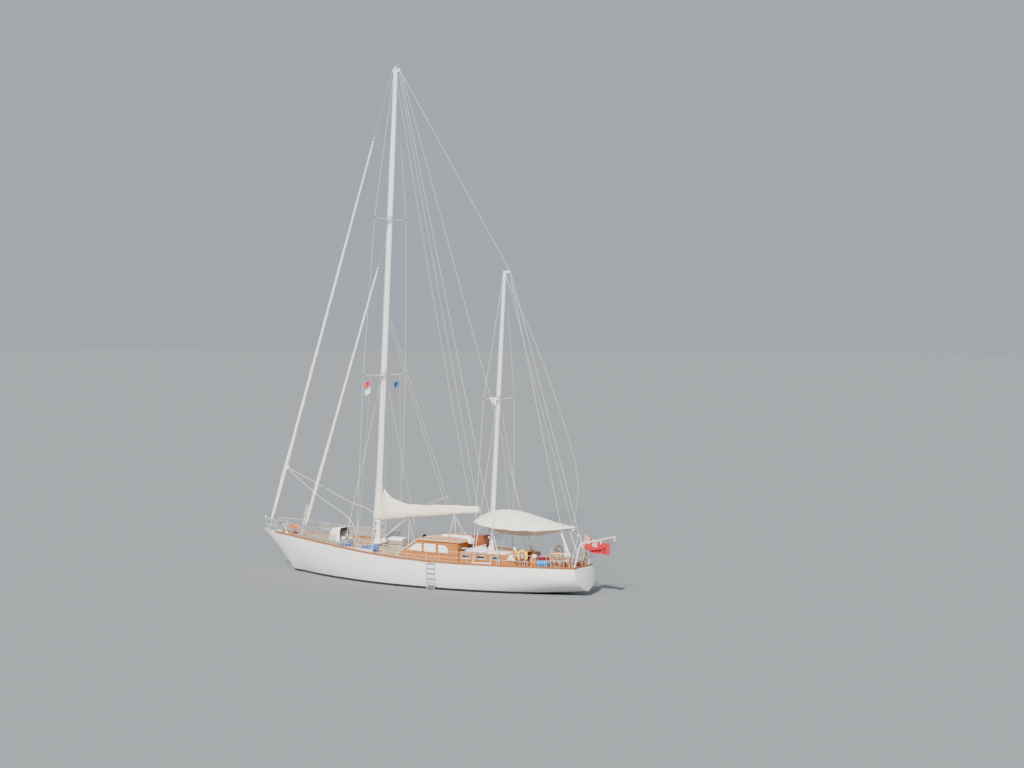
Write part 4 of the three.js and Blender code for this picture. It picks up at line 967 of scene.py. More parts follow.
@dataclass
class HullShell:
    """Smooth skin of the hull, its transom, rails, covering boards and small hull fittings."""

    proud: float = 0.004
    columns: int = 150
    rows: int = 60
    rail_width: float = 0.048
    cap_width: float = 0.084

    def build(self) -> None:
        """Makes every piece of the shell."""
        self.skin()
        self.transom()
        for side in Side:
            self.rail(side)
            self.covering_board(side)
            self.rail_fittings(side)
        self.taffrail()
        self.underwater()
        for node in ("hull_bow", "hull_forward", "hull_saloon", "hull_stern"):
            dress(node, HULL_WHITE)
        dress("deck", TEAK)

    def skin(self) -> None:
        """The planked surface from the rails to the keel line."""

        def place(u: float, v: float) -> Vector:
            turn = 2 * v - 1
            s = math.sin(abs(turn) * math.pi / 2) ** 0.9
            aft = LINES.aft_end(s)
            return LINES.skin(aft + (9.99 - aft) * u, s, 1.0 if turn < 0 else -1.0)

        made = spread_grid(self.columns, self.rows, place)
        bmesh.ops.remove_doubles(made, verts=list(made.verts), dist=1e-5)
        bmesh.ops.recalc_face_normals(made, faces=list(made.faces))
        made.normal_update()
        for vert in made.verts:
            vert.co += vert.normal * self.proud
        bmesh.ops.solidify(made, geom=list(made.faces), thickness=0.003)
        Shape().take(made).made_into("hull_skin", HULL_WHITE)

    def transom(self) -> None:
        """The flat transom with a soft edge."""
        edge = []
        for side in (1.0, -1.0):
            ring = [s / 24 for s in range(25)]
            line = [LINES.skin(LINES.aft_end(s), s, side) for s in ring]
            edge.extend(line if side > 0 else reversed(line[:-1]))
        leaning = Vector((-1.2, 0, 0.28)).normalized()
        outline = [tuple(corner + leaning * 0.003) for corner in edge]
        Shape().plate(outline, tuple(leaning * 0.008), bevel=0.004).made_into("transom_skin", HULL_WHITE)

    def rail(self, side: Side) -> None:
        """The toe rail with its overhanging cap."""
        sign = side.value

        def place(u: float, v: float, fore: float = 9.15, aft: float = -9.66) -> Point:
            x = blended(fore, aft, v)
            outer = LINES.half(x) + 0.012
            low, high = LINES.edge_z(x) + 0.004, LINES.rail_z(x) + 0.004
            inner, cap = max(outer - 0.06, 0.003), max(outer - self.cap_width, 0.002)
            loop = [(outer, low), (outer, high - 0.034), (outer + 0.014, high - 0.030), (outer + 0.016, high - 0.010),
                    (outer + 0.008, high), (cap, high), (cap - 0.006, high - 0.010), (cap, high - 0.032),
                    (inner, high - 0.034), (inner, low)]
            y, z = loop[round(u * 10) % 10]
            return x, sign * y, z

        made = wrapped(10, 110, place, reach=(0.3, 19.0))
        rail = Shape().take(made).made_into(f"rail_{side.word}_smooth", RAIL_VARNISH, sharp=30)
        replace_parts(rail, f"rail_{side.word}")
        tip = wrapped(10, 6, lambda u, v: place(u, v, 9.49, 9.152), reach=(0.3, 0.4))
        white = Shape().take(tip).made_into(f"rail_{side.word}_white_end", WHITE_PAINT, sharp=30)
        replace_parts(white, f"rail_{side.word}")

    def covering_board(self, side: Side) -> None:
        """The varnished plank along the deck edge, inside the rail."""

        def place(u: float, v: float) -> Vector:
            x = 9.40 + (-9.60 - 9.40) * v
            return LINES.inboard(x, side.value, min(0.05 + 0.17 * u, LINES.half(x) - 0.004), 0.006)

        made = thickened(spread_grid(3, 100, place, reach=(0.17, 19.0)), 0.004)
        Shape().take(made).made_into(f"covering_board_{side.word}", VARNISH)

    def rail_fittings(self, side: Side) -> None:
        """Cleats on deck, and the drain slots' plates along the rail."""
        shape = Shape()
        for x in (8.2, 3.2, -3.4, -8.9):
            foot = LINES.inboard(x, side.value, 0.20, 0.0)
            shape.block((foot.x - 0.05, foot.y - 0.025, foot.z), (foot.x + 0.05, foot.y + 0.025, foot.z + 0.03))
            for end in (-1, 1):
                shape.rod((foot.x + end * 0.03, foot.y, foot.z + 0.02), (foot.x + end * 0.03, foot.y, foot.z + 0.06),
                          0.012, sides=10)
            shape.tube([(foot.x + d, foot.y, foot.z + 0.065 + 0.02 * abs(d) / 0.14) for d in
                        (-0.14, -0.08, 0.0, 0.08, 0.14)], [0.007, 0.012, 0.014, 0.012, 0.007])
        for x in (7.4, 4.2, -1.5, -7.6):
            foot = LINES.inboard(x, side.value, 0.0, 0.02)
            y = foot.y + side.value * 0.016
            shape.block((foot.x - 0.07, y - 0.003, foot.z - 0.008), (foot.x + 0.07, y + 0.003, foot.z + 0.02), 0.002)
        shape.made_into(f"deck_cleats_{side.word}", STEEL)

    def taffrail(self) -> None:
        """The rail across the transom."""
        half = LINES.half(-9.65) - 0.03

        def place(u: float, v: float) -> Point:
            y = half * (1 - 2 * v)
            crown = 0.03 * (1 - (y / half) ** 2)
            loop = [(-9.725, 1.36), (-9.728, 1.44), (-9.742, 1.448), (-9.742, 1.468), (-9.73, 1.478), (-9.612, 1.478),
                    (-9.604, 1.468), (-9.604, 1.45), (-9.622, 1.444), (-9.622, 1.36)]
            x, z = loop[round(u * 10) % 10]
            return x - crown * 0.3, y, z

        taffrail = Shape().take(wrapped(10, 16, place)).made_into("taffrail_smooth", RAIL_VARNISH, sharp=30)
        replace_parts(taffrail, "taffrail")

    def underwater(self) -> None:
        """Finishes below the waterline and the sacrificial blocks on the skeg."""
        for node in ("ballast_keel", "rudder"):
            dress(node, ANTIFOULING)
        for node in ("propeller", "shaft_bracket"):
            dress(node, BRONZE)
        dress("engine_block", GREY_PAINT)
        shape = Shape()
        for side in Side:
            y = side.value * 0.062
            shape.plate([(-6.42, y, -0.62), (-6.62, y, -0.60), (-6.62, y, -0.70), (-6.42, y, -0.72)],
                        (0, side.value * 0.035, 0), 0.012)
        shape.made_into("skeg_anodes", GALVANISED)


def dress(node: str, finish: Finish) -> None:
    """Gives a CAD node a finish.

    Args:
        node: the node's name.
        finish: what it is finished with.
    """
    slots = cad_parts[node].data.materials
    slots.clear()
    slots.append(finish.material())


def drawn_out(made: Made, faces: Sequence[bmesh.types.BMFace], thick: Point) -> list:
    """Draws faces out into a closed form.

    Args:
        made: the bmesh that holds them.
        faces: the faces.
        thick: how far and which way they go.

    Returns:
        The new corners, edges and faces.
    """
    grown = bmesh.ops.extrude_face_region(made, geom=list(faces))["geom"]
    bmesh.ops.translate(made, vec=thick, verts=[g for g in grown if isinstance(g, bmesh.types.BMVert)])
    return grown


def ring_plate(outline: Sequence[Point], width: float, thick: Point, bevel: float = 0.003) -> Made:
    """A flat frame that follows an outline, its middle open.

    Args:
        outline: corners of its outer edge, in one plane.
        width: width of the frame.
        thick: how far and which way it is drawn out.
        bevel: rounding of its edges.

    Returns:
        The frame.
    """
    made = bmesh.new()
    face = made.faces.new([made.verts.new(corner) for corner in outline])
    made.normal_update()
    bmesh.ops.inset_region(made, faces=[face], use_boundary=True, use_even_offset=True, thickness=width)
    bmesh.ops.delete(made, geom=[face], context="FACES_ONLY")
    drawn_out(made, made.faces, thick)
    bmesh.ops.recalc_face_normals(made, faces=list(made.faces))
    crisp = [edge for edge in made.edges if edge.is_manifold and edge.calc_face_angle(0) > 0.6]
    round_edges(made, crisp, bevel, 2)
    return made


def rounded_outline(corners: Sequence[tuple[float, float]], radius: float,
                    steps: int = 5) -> list[tuple[float, float]]:
    """A flat outline with its corners rounded.

    Args:
        corners: its corners in order.
        radius: how far from each corner the rounding starts.
        steps: number of points on each rounding.

    Returns:
        The rounded outline.
    """
    rounded: list[tuple[float, float]] = []
    for i, corner in enumerate(corners):
        here = Vector(corner)
        before, after = Vector(corners[i - 1]) - here, Vector(corners[(i + 1) % len(corners)]) - here
        reach = min(radius, before.length * 0.48, after.length * 0.48)
        a, b = here + before.normalized() * reach, here + after.normalized() * reach
        for k in range(steps + 1):
            t = k / steps
            rounded.append(tuple(a * (1 - t) ** 2 + here * 2 * t * (1 - t) + b * t ** 2))
    return rounded


@dataclass
class Deckhouse:
    """Varnished deckhouse with covered windows, its roof and what lies on it."""

    side: float = 1.45
    wall: float = 0.042
    front_foot: float = 0.19
    front_top: float = -0.85
    aft_top: float = -3.38
    aft_foot: float = -3.44
    roof_z: float = 2.3003
    sill: float = 1.755
    # x and half width of the roof's edge
    roof_rows: tuple[tuple[float, ...], ...] = (
        (-3.50, 1.36), (-3.47, 1.42), (-3.40, 1.465), (-3.28, 1.485), (-2.10, 1.500), (-1.10, 1.470), (-0.86, 1.440),
        (-0.76, 1.360))

    def windows(self) -> list[list[tuple[float, float]]]:
        """Outlines of the three side windows as x and z."""
        sill = self.sill
        return [
            [(-0.33, 1.79), (-0.76, 2.12), (-0.84, 2.16), (-1.21, 2.185), (-1.21, sill - 0.005)],
            [(-1.32, sill), (-1.32, 2.19), (-2.07, 2.19), (-2.07, sill)],
            [(-2.19, sill), (-2.19, 2.175), (-2.56, 2.16), (-2.74, 2.08), (-2.82, 1.94), (-2.82, sill)],
        ]

    def build(self) -> None:
        """Makes every piece of the house."""
        for node in ("deckhouse_port", "deckhouse_starboard"):
            dress(node, VARNISH)
        for node in ("deckhouse_front", "deckhouse_aft"):
            dress(node, VARNISH_ATHWART)
        for side in Side:
            self.window_trim(side)
            self.window_pads(side)
            self.corner_trim(side)
            self.grab_rail(side)
        self.front_windows()
        self.roof()

    @staticmethod
    def scaled(outline: Sequence[tuple[float, float]], share: float) -> list[tuple[float, float]]:
        """An outline drawn larger or smaller about the mean of its corners."""
        middle = Vector((sum(p[0] for p in outline), sum(p[1] for p in outline))) / len(outline)
        return [tuple(middle + (Vector(p) - middle) * share) for p in outline]

    def window_trim(self, side: Side) -> None:
        """A rounded rim round each side window."""
        shape = Shape()
        y = side.value * self.side
        for outline in self.windows():
            rim = [(x, y, z) for x, z in rounded_outline(self.scaled(outline, 1.09), 0.09)]
            shape.take(ring_plate(rim, 0.035, (0, side.value * 0.012, 0), 0.004))
        shape.made_into(f"window_rims_{side.word}", RAIL_VARNISH)

    def window_pads(self, side: Side) -> None:
        """The white padded covers that fill the side windows."""
        shape = Shape()
        for k, outline in enumerate(self.windows()):
            shape.take(self.pad(rounded_outline(self.scaled(outline, 0.96), 0.08), side, 31.0 * k))
        pads = shape.made_into(f"window_pads_{side.word}", WHITE_CLOTH, sharp=60)
        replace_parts(pads, f"window_covers_{side.word}")

    def pad(self, outline: Sequence[tuple[float, float]], side: Side, seed: float) -> Made:
        """One padded cover: crowned outside, with its edge sewn down."""
        inner, outer = self.side - self.wall - 0.01, self.side + 0.002
        made = bmesh.new()
        face = made.faces.new([made.verts.new((x, side.value * inner, z)) for x, z in outline])
        grown = drawn_out(made, [face], (0, side.value * (outer - inner), 0))
        front = next(g for g in grown if isinstance(g, bmesh.types.BMFace))
        middle = Vector((sum(x for x, _ in outline), 0, sum(z for _, z in outline))) / len(outline)
        for share, out in ((0.965, 0.005), (0.90, 0.004), (0.70, 0.002), (0.35, 0.001)):
            bmesh.ops.inset_region(made, faces=[front], thickness=0.0)
            for vert in front.verts:
                ring = 0.002 * noise.noise(Vector((vert.co.x * 9 + seed, vert.co.z * 9, 0)))
                vert.co.y += side.value * (out + ring)
                vert.co.x = middle.x + (vert.co.x - middle.x) * share
                vert.co.z = middle.z + (vert.co.z - middle.z) * share
        bmesh.ops.recalc_face_normals(made, faces=list(made.faces))
        return made

    def corner_trim(self, side: Side) -> None:
        """Posts on the corners, the sill moulding, and the white bar up the raked front edge."""
        y = side.value * self.side
        shape = Shape()
        top = self.roof_z - 0.004
        shape.rod((self.aft_foot + 0.022, y, LINES.deck_z(self.aft_foot, self.side)), (self.aft_top + 0.022, y, top),
                  0.03)
        sill = [(x, y, self.sill - 0.075) for x in (0.17, -1.0, -2.0, -3.41)]
        shape.tube(sill, 0.016, sides=8)
        foot = [(x, y + side.value * 0.004, LINES.deck_z(x, self.side) + 0.012) for x in
                (0.19 - 0.3 * k for k in range(13))]
        shape.tube(foot, 0.02, sides=8)
        shape.made_into(f"house_mouldings_{side.word}", RAIL_VARNISH)
        bar = Shape()
        bar.tube([(0.30, y, LINES.deck_z(0.3, 1.45)), (0.205, y, 1.63), (0.13, y, 1.69), (-0.80, y, 2.28),
                  (-0.90, y, 2.33)], 0.024)
        for x, z in ((0.02, 1.76), (-0.70, 2.215)):
            bar.rod((x, y, z), (x - 0.02, y - side.value * 0.03, z - 0.02), 0.012)
        bar.made_into(f"screen_bar_{side.word}", WHITE_PAINT)

    def front_windows(self) -> None:
        """Glass and rims of the two raked front windows."""
        slope = Vector((self.front_top - self.front_foot, 0, self.roof_z - 1.64))
        normal = Vector((-slope.z, 0, slope.x)).normalized() * -1
        rims, panes = Shape(), Shape()
        for low, high in ((-1.18, -0.18), (0.18, 1.18)):
            corners = [(low + 0.02, 0.17), (high - 0.02, 0.17), (high - 0.02, 0.83), (low + 0.02, 0.83)]
            flat = rounded_outline(corners, 0.09)
            base = Vector((self.front_foot, 0, 1.64))
            at = [base + slope * t + Vector((0, y, 0)) + normal * 0.001 for y, t in flat]
            rims.take(ring_plate(at, 0.03, tuple(normal * 0.012), 0.004))
            panes.plate([tuple(p - normal * 0.022) for p in at], tuple(normal * 0.006), 0.0)
        rims.made_into("front_window_rims", RAIL_VARNISH)
        panes.made_into("front_window_panes", GLASS)

    def roof(self) -> None:
        """The crowned roof with a rounded edge, and the moulding under it."""

        def place(u: float, v: float) -> Point:
            x = blended(-3.505, -0.755, v)
            half = from_table(self.roof_rows, x, 1)
            turn = math.tau * u
            y = math.copysign(abs(math.cos(turn)) ** 0.35, math.cos(turn)) * half
            crown = 0.062 * (1 - (y / 1.5) ** 2)
            ends = 0.022 * (abs(2 * v - 1) ** 14)
            up = math.copysign(abs(math.sin(turn)) ** 0.5, math.sin(turn))
            z = self.roof_z + 0.031 + (0.031 + crown - ends) * max(up, 0) + 0.031 * min(up, 0)
            return x, y, z

        roof = Shape().take(wrapped(64, 40, place)).made_into("roof_smooth", ROOF_TEAK, sharp=50)
        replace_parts(roof, "deckhouse_roof")
        edge = [Vector((x, from_table(self.roof_rows, x, 1) + 0.004, self.roof_z + 0.028)) for x in
                (blended(-3.48, -0.80, k / 24) for k in range(25))]
        around = [*edge, *[Vector((-0.752, y, self.roof_z + 0.03)) for y in (1.2, 0.4, -0.4, -1.2)],
                  *[Vector((p.x, -p.y, p.z)) for p in reversed(edge)],
                  *[Vector((-3.508, y, self.roof_z + 0.03)) for y in (-1.2, -0.4, 0.4, 1.2)], edge[0]]
        Shape().tube(around, 0.02, 8).made_into("roof_edge_moulding", RAIL_VARNISH)

    def grab_rail(self, side: Side) -> None:
        """A varnished handrail on the roof."""
        y = side.value * 1.18
        shape = Shape()
        top = [(x, y, self.roof_z + 0.155) for x in (-1.1 - 0.25 * k for k in range(9))]
        shape.tube([(-1.0, y, self.roof_z + 0.09), *top, (-3.2, y, self.roof_z + 0.09)], 0.016)
        for x in (-1.1, -1.6, -2.1, -2.6, -3.1):
            shape.block((x - 0.035, y - 0.013, self.roof_z + 0.06), (x + 0.035, y + 0.013, self.roof_z + 0.15), 0.008)
        shape.made_into(f"roof_handrail_{side.word}", VARNISH)


@dataclass
class AftTrunk:
    """Low varnished trunk with its port lights, hatches and the companionway box."""

    side: float = 1.4
    front: float = -3.445
    aft: float = -6.6
    lights: tuple[float, ...] = (-3.81, -4.67, -5.54)
    # how much narrower each side grows for each metre aft
    narrowing: float = 0.06
    # x and height of the top
    tops: tuple[tuple[float, float], ...] = ((-6.6, 1.84), (-5.2, 1.875), (-3.445, 1.885))

    def wall_y(self, x: float, z: float) -> float:
        """How far out the trunk's wall stands."""
        top = from_table(self.tops, x, 1) - 0.045
        return self.side - (self.front - x) * self.narrowing + 0.025 * (top - z) / (top - 0.9)

    def build(self) -> None:
        """Makes every piece of the trunk."""
        dress("aft_trunk", VARNISH)
        dress("stair_box", MAHOGANY)
        for side in Side:
            self.port_lights(side)
            self.top_planks(side)
            self.vents(side)
        self.hatches()
        self.companionway()

    def port_lights(self, side: Side) -> None:
        """Frames and glass of the port lights."""
        frames, panes = Shape(), Shape()
        for x in self.lights:
            y = side.value * (self.wall_y(x, 1.68) + 0.005)
            lean = side.value * 0.06
            corners = [(x - 0.255, 1.575), (x + 0.255, 1.575), (x + 0.255, 1.785), (x - 0.255, 1.785)]
            flat = rounded_outline(corners, 0.085, 8)
            rim = [(px, y + (px - x) * lean, pz) for px, pz in flat]
            frames.take(ring_plate(rim, 0.045, (0, side.value * 0.014, 0), 0.004))
            for px, pz in ((x - 0.225, 1.68), (x + 0.225, 1.68), (x - 0.12, 1.597), (x + 0.12, 1.597),
                           (x - 0.12, 1.763), (x + 0.12, 1.763)):
                frames.ball((px, y + (px - x) * lean + side.value * 0.014, pz), 0.008, (1, 0.5, 1))
            inner = [(px, y - side.value * 0.02 + (px - x) * lean, pz) for px, pz in flat]
            panes.plate(inner, (0, side.value * 0.006, 0), 0.0)
        frames.made_into(f"port_light_frames_{side.word}", Paint("pale_frames", colour=(0.46, 0.36, 0.27)))
        panes.made_into(f"port_light_glass_{side.word}", GLASS)

    def top_planks(self, side: Side) -> None:
        """Teak laid on the trunk's top, beside its hatches."""

        def place(u: float, v: float) -> Point:
            x = blended(-6.57, -3.47, v)
            half = self.side - (self.front - x) * self.narrowing
            top = from_table(self.tops, x, 1)
            y = blended(0.365, half - 0.066, u)
            return x, side.value * y, top + 0.025 * (1 - y / (half - 0.06)) + 0.004

        made = thickened(spread_grid(6, 20, place), 0.003)
        Shape().take(made).made_into(f"trunk_planks_{side.word}", ROOF_TEAK)

    def vents(self, side: Side) -> None:
        """A cowl vent on its box."""
        x, y = -6.32, side.value * 0.72
        shape = Shape()
        shape.block((x - 0.12, y - 0.11, 1.83), (x + 0.12, y + 0.11, 1.95), 0.012)
        shape.made_into(f"vent_box_{side.word}", VARNISH)
        cowl = Shape()
        cowl.tube([(x, y, 1.94), (x, y, 2.03), (x + 0.01, y, 2.09), (x + 0.05, y, 2.14), (x + 0.10, y, 2.155)],
                  [0.05, 0.05, 0.055, 0.07, 0.085], 18)
        cowl.made_into(f"vent_cowl_{side.word}", WHITE_PLASTIC)

    def hatches(self) -> None:
        """The aft sliding hatch with its runners, in varnished boards."""
        shape = Shape()
        for k in range(5):
            low = -0.37 + 0.148 * k
            shape.block((-6.66, low + 0.001, 1.926), (-5.86, low + 0.147, 1.962 + 0.008 * (2 - abs(k - 2))), 0.006)
        shape.rod((-6.64, -0.3, 1.968), (-6.64, 0.3, 1.968), 0.012)
        hatch = shape.made_into("aft_hatch_boards", VARNISH, "aft_hatch")
        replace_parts(hatch, "aft_hatch")
        runners = Shape()
        for y in (-0.385, 0.385):
            runners.block((-6.64, y - 0.011, 1.86), (-5.2, y + 0.011, 1.935), 0.004)
        runners.made_into("hatch_runners", RAIL_VARNISH)

    def companionway(self) -> None:
        """The red-brown box over the main stair with its slide, panels and doors."""
        low, high = (-4.19, -0.35), (-3.50, 0.35)
        shape = Shape()
        for y in (-0.354, 0.354):
            sign = math.copysign(1, y)
            panel = [(low[0] + 0.08, y, 1.98), (high[0] - 0.08, y, 1.98), (high[0] - 0.08, y, 2.48),
                     (low[0] + 0.08, y, 2.48)]
            shape.take(ring_plate(panel, 0.05, (0, sign * 0.012, 0)))
            shape.block((low[0] - 0.012, y, 2.53), (high[0] + 0.012, y + sign * 0.01, 2.56), 0.004)
        shape.block((low[0] - 0.012, -0.30, 2.0), (low[0] - 0.001, -0.01, 2.5), 0.003)
        shape.block((low[0] - 0.012, 0.01, 2.0), (low[0] - 0.001, 0.30, 2.5), 0.003)
        for y in (-0.03, 0.03):
            shape.ball((low[0] - 0.02, y, 2.25), 0.014)
        shape.made_into("companionway_panels", MAHOGANY)
        slide = Shape()
        for k in range(5):
            y = -0.365 + 0.146 * k
            top = 2.60 + 0.006 * (2 - abs(k - 2))
            slide.block((low[0] - 0.015, y + 0.001, 2.567), (high[0] + 0.03, y + 0.145, top), 0.006)
        slide.rod((low[0] + 0.02, -0.25, 2.618), (low[0] + 0.02, 0.25, 2.618), 0.012)
        boards = slide.made_into("stair_slide_boards", MAHOGANY, "stair_slide")
        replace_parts(boards, "stair_slide")


@dataclass
class Spar:
    """A painted mast with its spreaders, track and fittings."""

    node: str
    # height, centre x, half length and half width
    rows: tuple[tuple[float, float, float, float], ...]
    # height, reach, rise, rake and half chord of each pair of spreaders
    spreaders: tuple[tuple[float, float, float, float, float], ...]
    foot_z: float
    boom_z: float
    winches: tuple[tuple[float, float], ...] = ()

    def section(self, z: float) -> tuple[float, float, float]:
        """Centre x, half length and half width at a height."""
        rows = self.rows
        i = next((k for k in range(len(rows) - 1) if rows[k + 1][0] >= z), len(rows) - 2)
        share = (z - rows[i][0]) / (rows[i + 1][0] - rows[i][0])
        x, fore, half = (blended(rows[i][k], rows[i + 1][k], share) for k in (1, 2, 3))
        return x, fore, half

    def face(self, z: float, degrees: float, out: float = 0.0) -> Point:
        """A point on the mast's surface: 0 degrees is forward, 90 to port, 180 aft."""
        x, fore, half = self.section(z)
        turn = math.radians(degrees)
        return x + (fore + out) * math.cos(turn), (half + out) * math.sin(turn), z

    def tip(self, row: int, side: Side, share: float = 1.0) -> Point:
        """A point along a spreader, its tip by default."""
        z, reach, rise, rake, _ = self.spreaders[row]
        return self.section(z)[0] - rake * share, side.value * reach * share, z + rise * share

    def build(self) -> None:
        """Makes every piece of the mast."""
        self.form()
        self.track()
        self.collars()
        self.halyards()
        self.hardware()

    def form(self) -> None:
        """The mast itself, its spreaders and its masthead."""
        top = self.rows[-1][0]

        def place(u: float, v: float) -> Point:
            return self.face(blended(self.foot_z, top, v), 360 * u)

        shape = Shape().take(wrapped(32, 48, place, reach=(0.9, top)))
        for row, (_, _, _, _, chord) in enumerate(self.spreaders):
            for side in Side:
                shape.take(self.wing(row, side, chord))
        self.masthead(shape)
        mast = shape.made_into(f"{self.node}_smooth", MAST_PAINT)
        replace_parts(mast, self.node)

    def wing(self, row: int, side: Side, chord: float) -> Made:
        """One spreader: an airfoil that tapers to its tip."""

        def place(u: float, v: float) -> Point:
            x, y, z = self.tip(row, side, 0.03 + 0.97 * v)
            turn = math.tau * u
            wide = blended(chord * 1.45, chord * 0.75, v)
            return x + wide * math.cos(turn), y, z + wide * 0.42 * math.sin(turn)

        return wrapped(14, 10, place)

    def masthead(self, shape: Shape) -> None:
        """The masthead's crane and its fittings."""
        if self.node == "main_mast":
            shape.block((1.08, -0.05, 26.18), (1.56, 0.05, 26.33), 0.012)
            shape.block((1.18, -0.11, 26.29), (1.50, 0.11, 26.33), 0.008)
            shape.rod((1.26, 0, 26.32), (1.26, 0, 26.70), 0.009, 0.005)
            shape.rod((1.43, 0, 26.32), (1.43, 0, 26.56), 0.012)
            shape.turned((1.345, 0.06, 26.33), (1.345, 0.06, 27.0),
                         [(0, 0.04), (0.02, 0.045), (0.08, 0.045), (0.1, 0.03), (0.105, 0)])
        else:
            shape.block((-5.52, -0.04, 15.74), (-5.16, 0.04, 15.85), 0.01)
            shape.plate([(-4.80, -0.045, 9.54), (-4.35, -0.045, 9.54), (-4.35, -0.045, 9.49), (-4.80, -0.045, 9.05)],
                        (0, 0.09, 0), 0.008)

    def track(self) -> None:
        """The sail track down the mast's after face."""
        shape = Shape()
        top = self.rows[-1][0] - 0.35
        line = [self.face(z, 180, 0.006) for z in (blended(self.boom_z + 0.25, top, k / 30) for k in range(31))]
        shape.tube(line, 0.014, 6)
        shape.made_into(f"{self.node}_track", GALVANISED)

    def collars(self) -> None:
        """A canvas boot at the foot, and rubber tips on the spreaders."""
        shape = Shape()
        rows = ((0.0, 0.075), (0.02, 0.078), (0.05, 0.05), (0.16, 0.028), (0.20, 0.03), (0.215, 0.012))

        def place(u: float, v: float) -> Point:
            up, out = rows[round(v * (len(rows) - 1))]
            ripple = 0.004 * math.sin(u * math.tau * 11)
            return self.face(self.foot_z + up, 360 * u, out + ripple)

        shape.take(wrapped(44, len(rows) - 1, place))
        shape.made_into(f"{self.node}_boot", WHITE_CLOTH)
        tips = Shape()
        for row in range(len(self.spreaders)):
            for side in Side:
                tips.ball(self.tip(row, side), 0.034, (1.3, 1, 1))
        tips.made_into(f"{self.node}_spreader_tips", BLACK_RUBBER)

    def band(self, z: float, height: float, out: float = 0.003) -> Made:
        """A band round the mast."""

        def place(u: float, v: float) -> Point:
            return self.face(z + height * v, 360 * u, out)

        return wrapped(28, 1, place)

    def halyards(self) -> None:
        """Halyards up both sides and the fore face, made fast at the foot, with their coils."""
        shape = Shape()
        top = self.rows[-1][0] - 0.12
        for degrees, low in ((62, 1.35), (298, 1.25), (118, 1.15), (242, 1.3), (20, 1.1)):
            heights = (self.foot_z + low, self.foot_z + 5.0, (top + self.foot_z) / 2, top)
            line = [self.face(z, degrees, 0.022) for z in heights]
            shape.tube(line, 0.0065, 6)
        shape.made_into(f"{self.node}_halyards", WHITE_ROPE)
        coils = Shape()
        for degrees, up, size in ((62, 1.22, 0.15), (298, 1.12, 0.14), (242, 1.2, 0.13)):
            x, y, z = self.face(self.foot_z + up, degrees, 0.045)
            out = math.copysign(1, y)
            for turn in range(4):
                ring = [(x + size * 0.42 * math.cos(a) + 0.008 * turn, y + out * (0.012 * turn),
                         z - size + size * math.sin(a) * 1.15)
                        for a in round_turn(20)]
                coils.tube(ring, 0.007, 6)
        coils.made_into(f"{self.node}_halyard_coils", WHITE_ROPE)

    def hardware(self) -> None:
        """Winches, cleats and tangs on the mast."""
        shape = Shape()
        for z, degrees in self.winches:
            x, y, _ = self.face(z, degrees, -0.01)
            out = math.copysign(1, y)
            shape.turned((x, y, z), (x, y + out, z), [(0, 0), (0, 0.075), (0.03, 0.078), (0.045, 0.058), (0.11, 0.05),
                                                      (0.15, 0.06), (0.165, 0.064), (0.18, 0.055), (0.19, 0)])
        for degrees, up in ((62, 1.2), (298, 1.1), (118, 1.0), (242, 1.15)):
            x, y, z = self.face(self.foot_z + up, degrees, 0.014)
            shape.block((x - 0.02, y - 0.014, z - 0.04), (x + 0.02, y + 0.014, z + 0.04), 0.006)
            shape.tube([(x, y, z - 0.10), (x, y + math.copysign(0.018, y), z - 0.04),
                        (x, y + math.copysign(0.018, y), z + 0.04), (x, y, z + 0.10)], [0.006, 0.011, 0.011, 0.006], 8)
        for row, (z, _, _, _, _) in enumerate(self.spreaders):
            shape.take(self.band(z - 0.22, 0.44, 0.004))
            for side in Side:
                x, y, zz = self.tip(row, side, 0.07)
                shape.block((x - 0.06, y - 0.03, zz - 0.03), (x + 0.06, y + 0.03, zz + 0.03), 0.01)
        shape.made_into(f"{self.node}_hardware", STEEL)


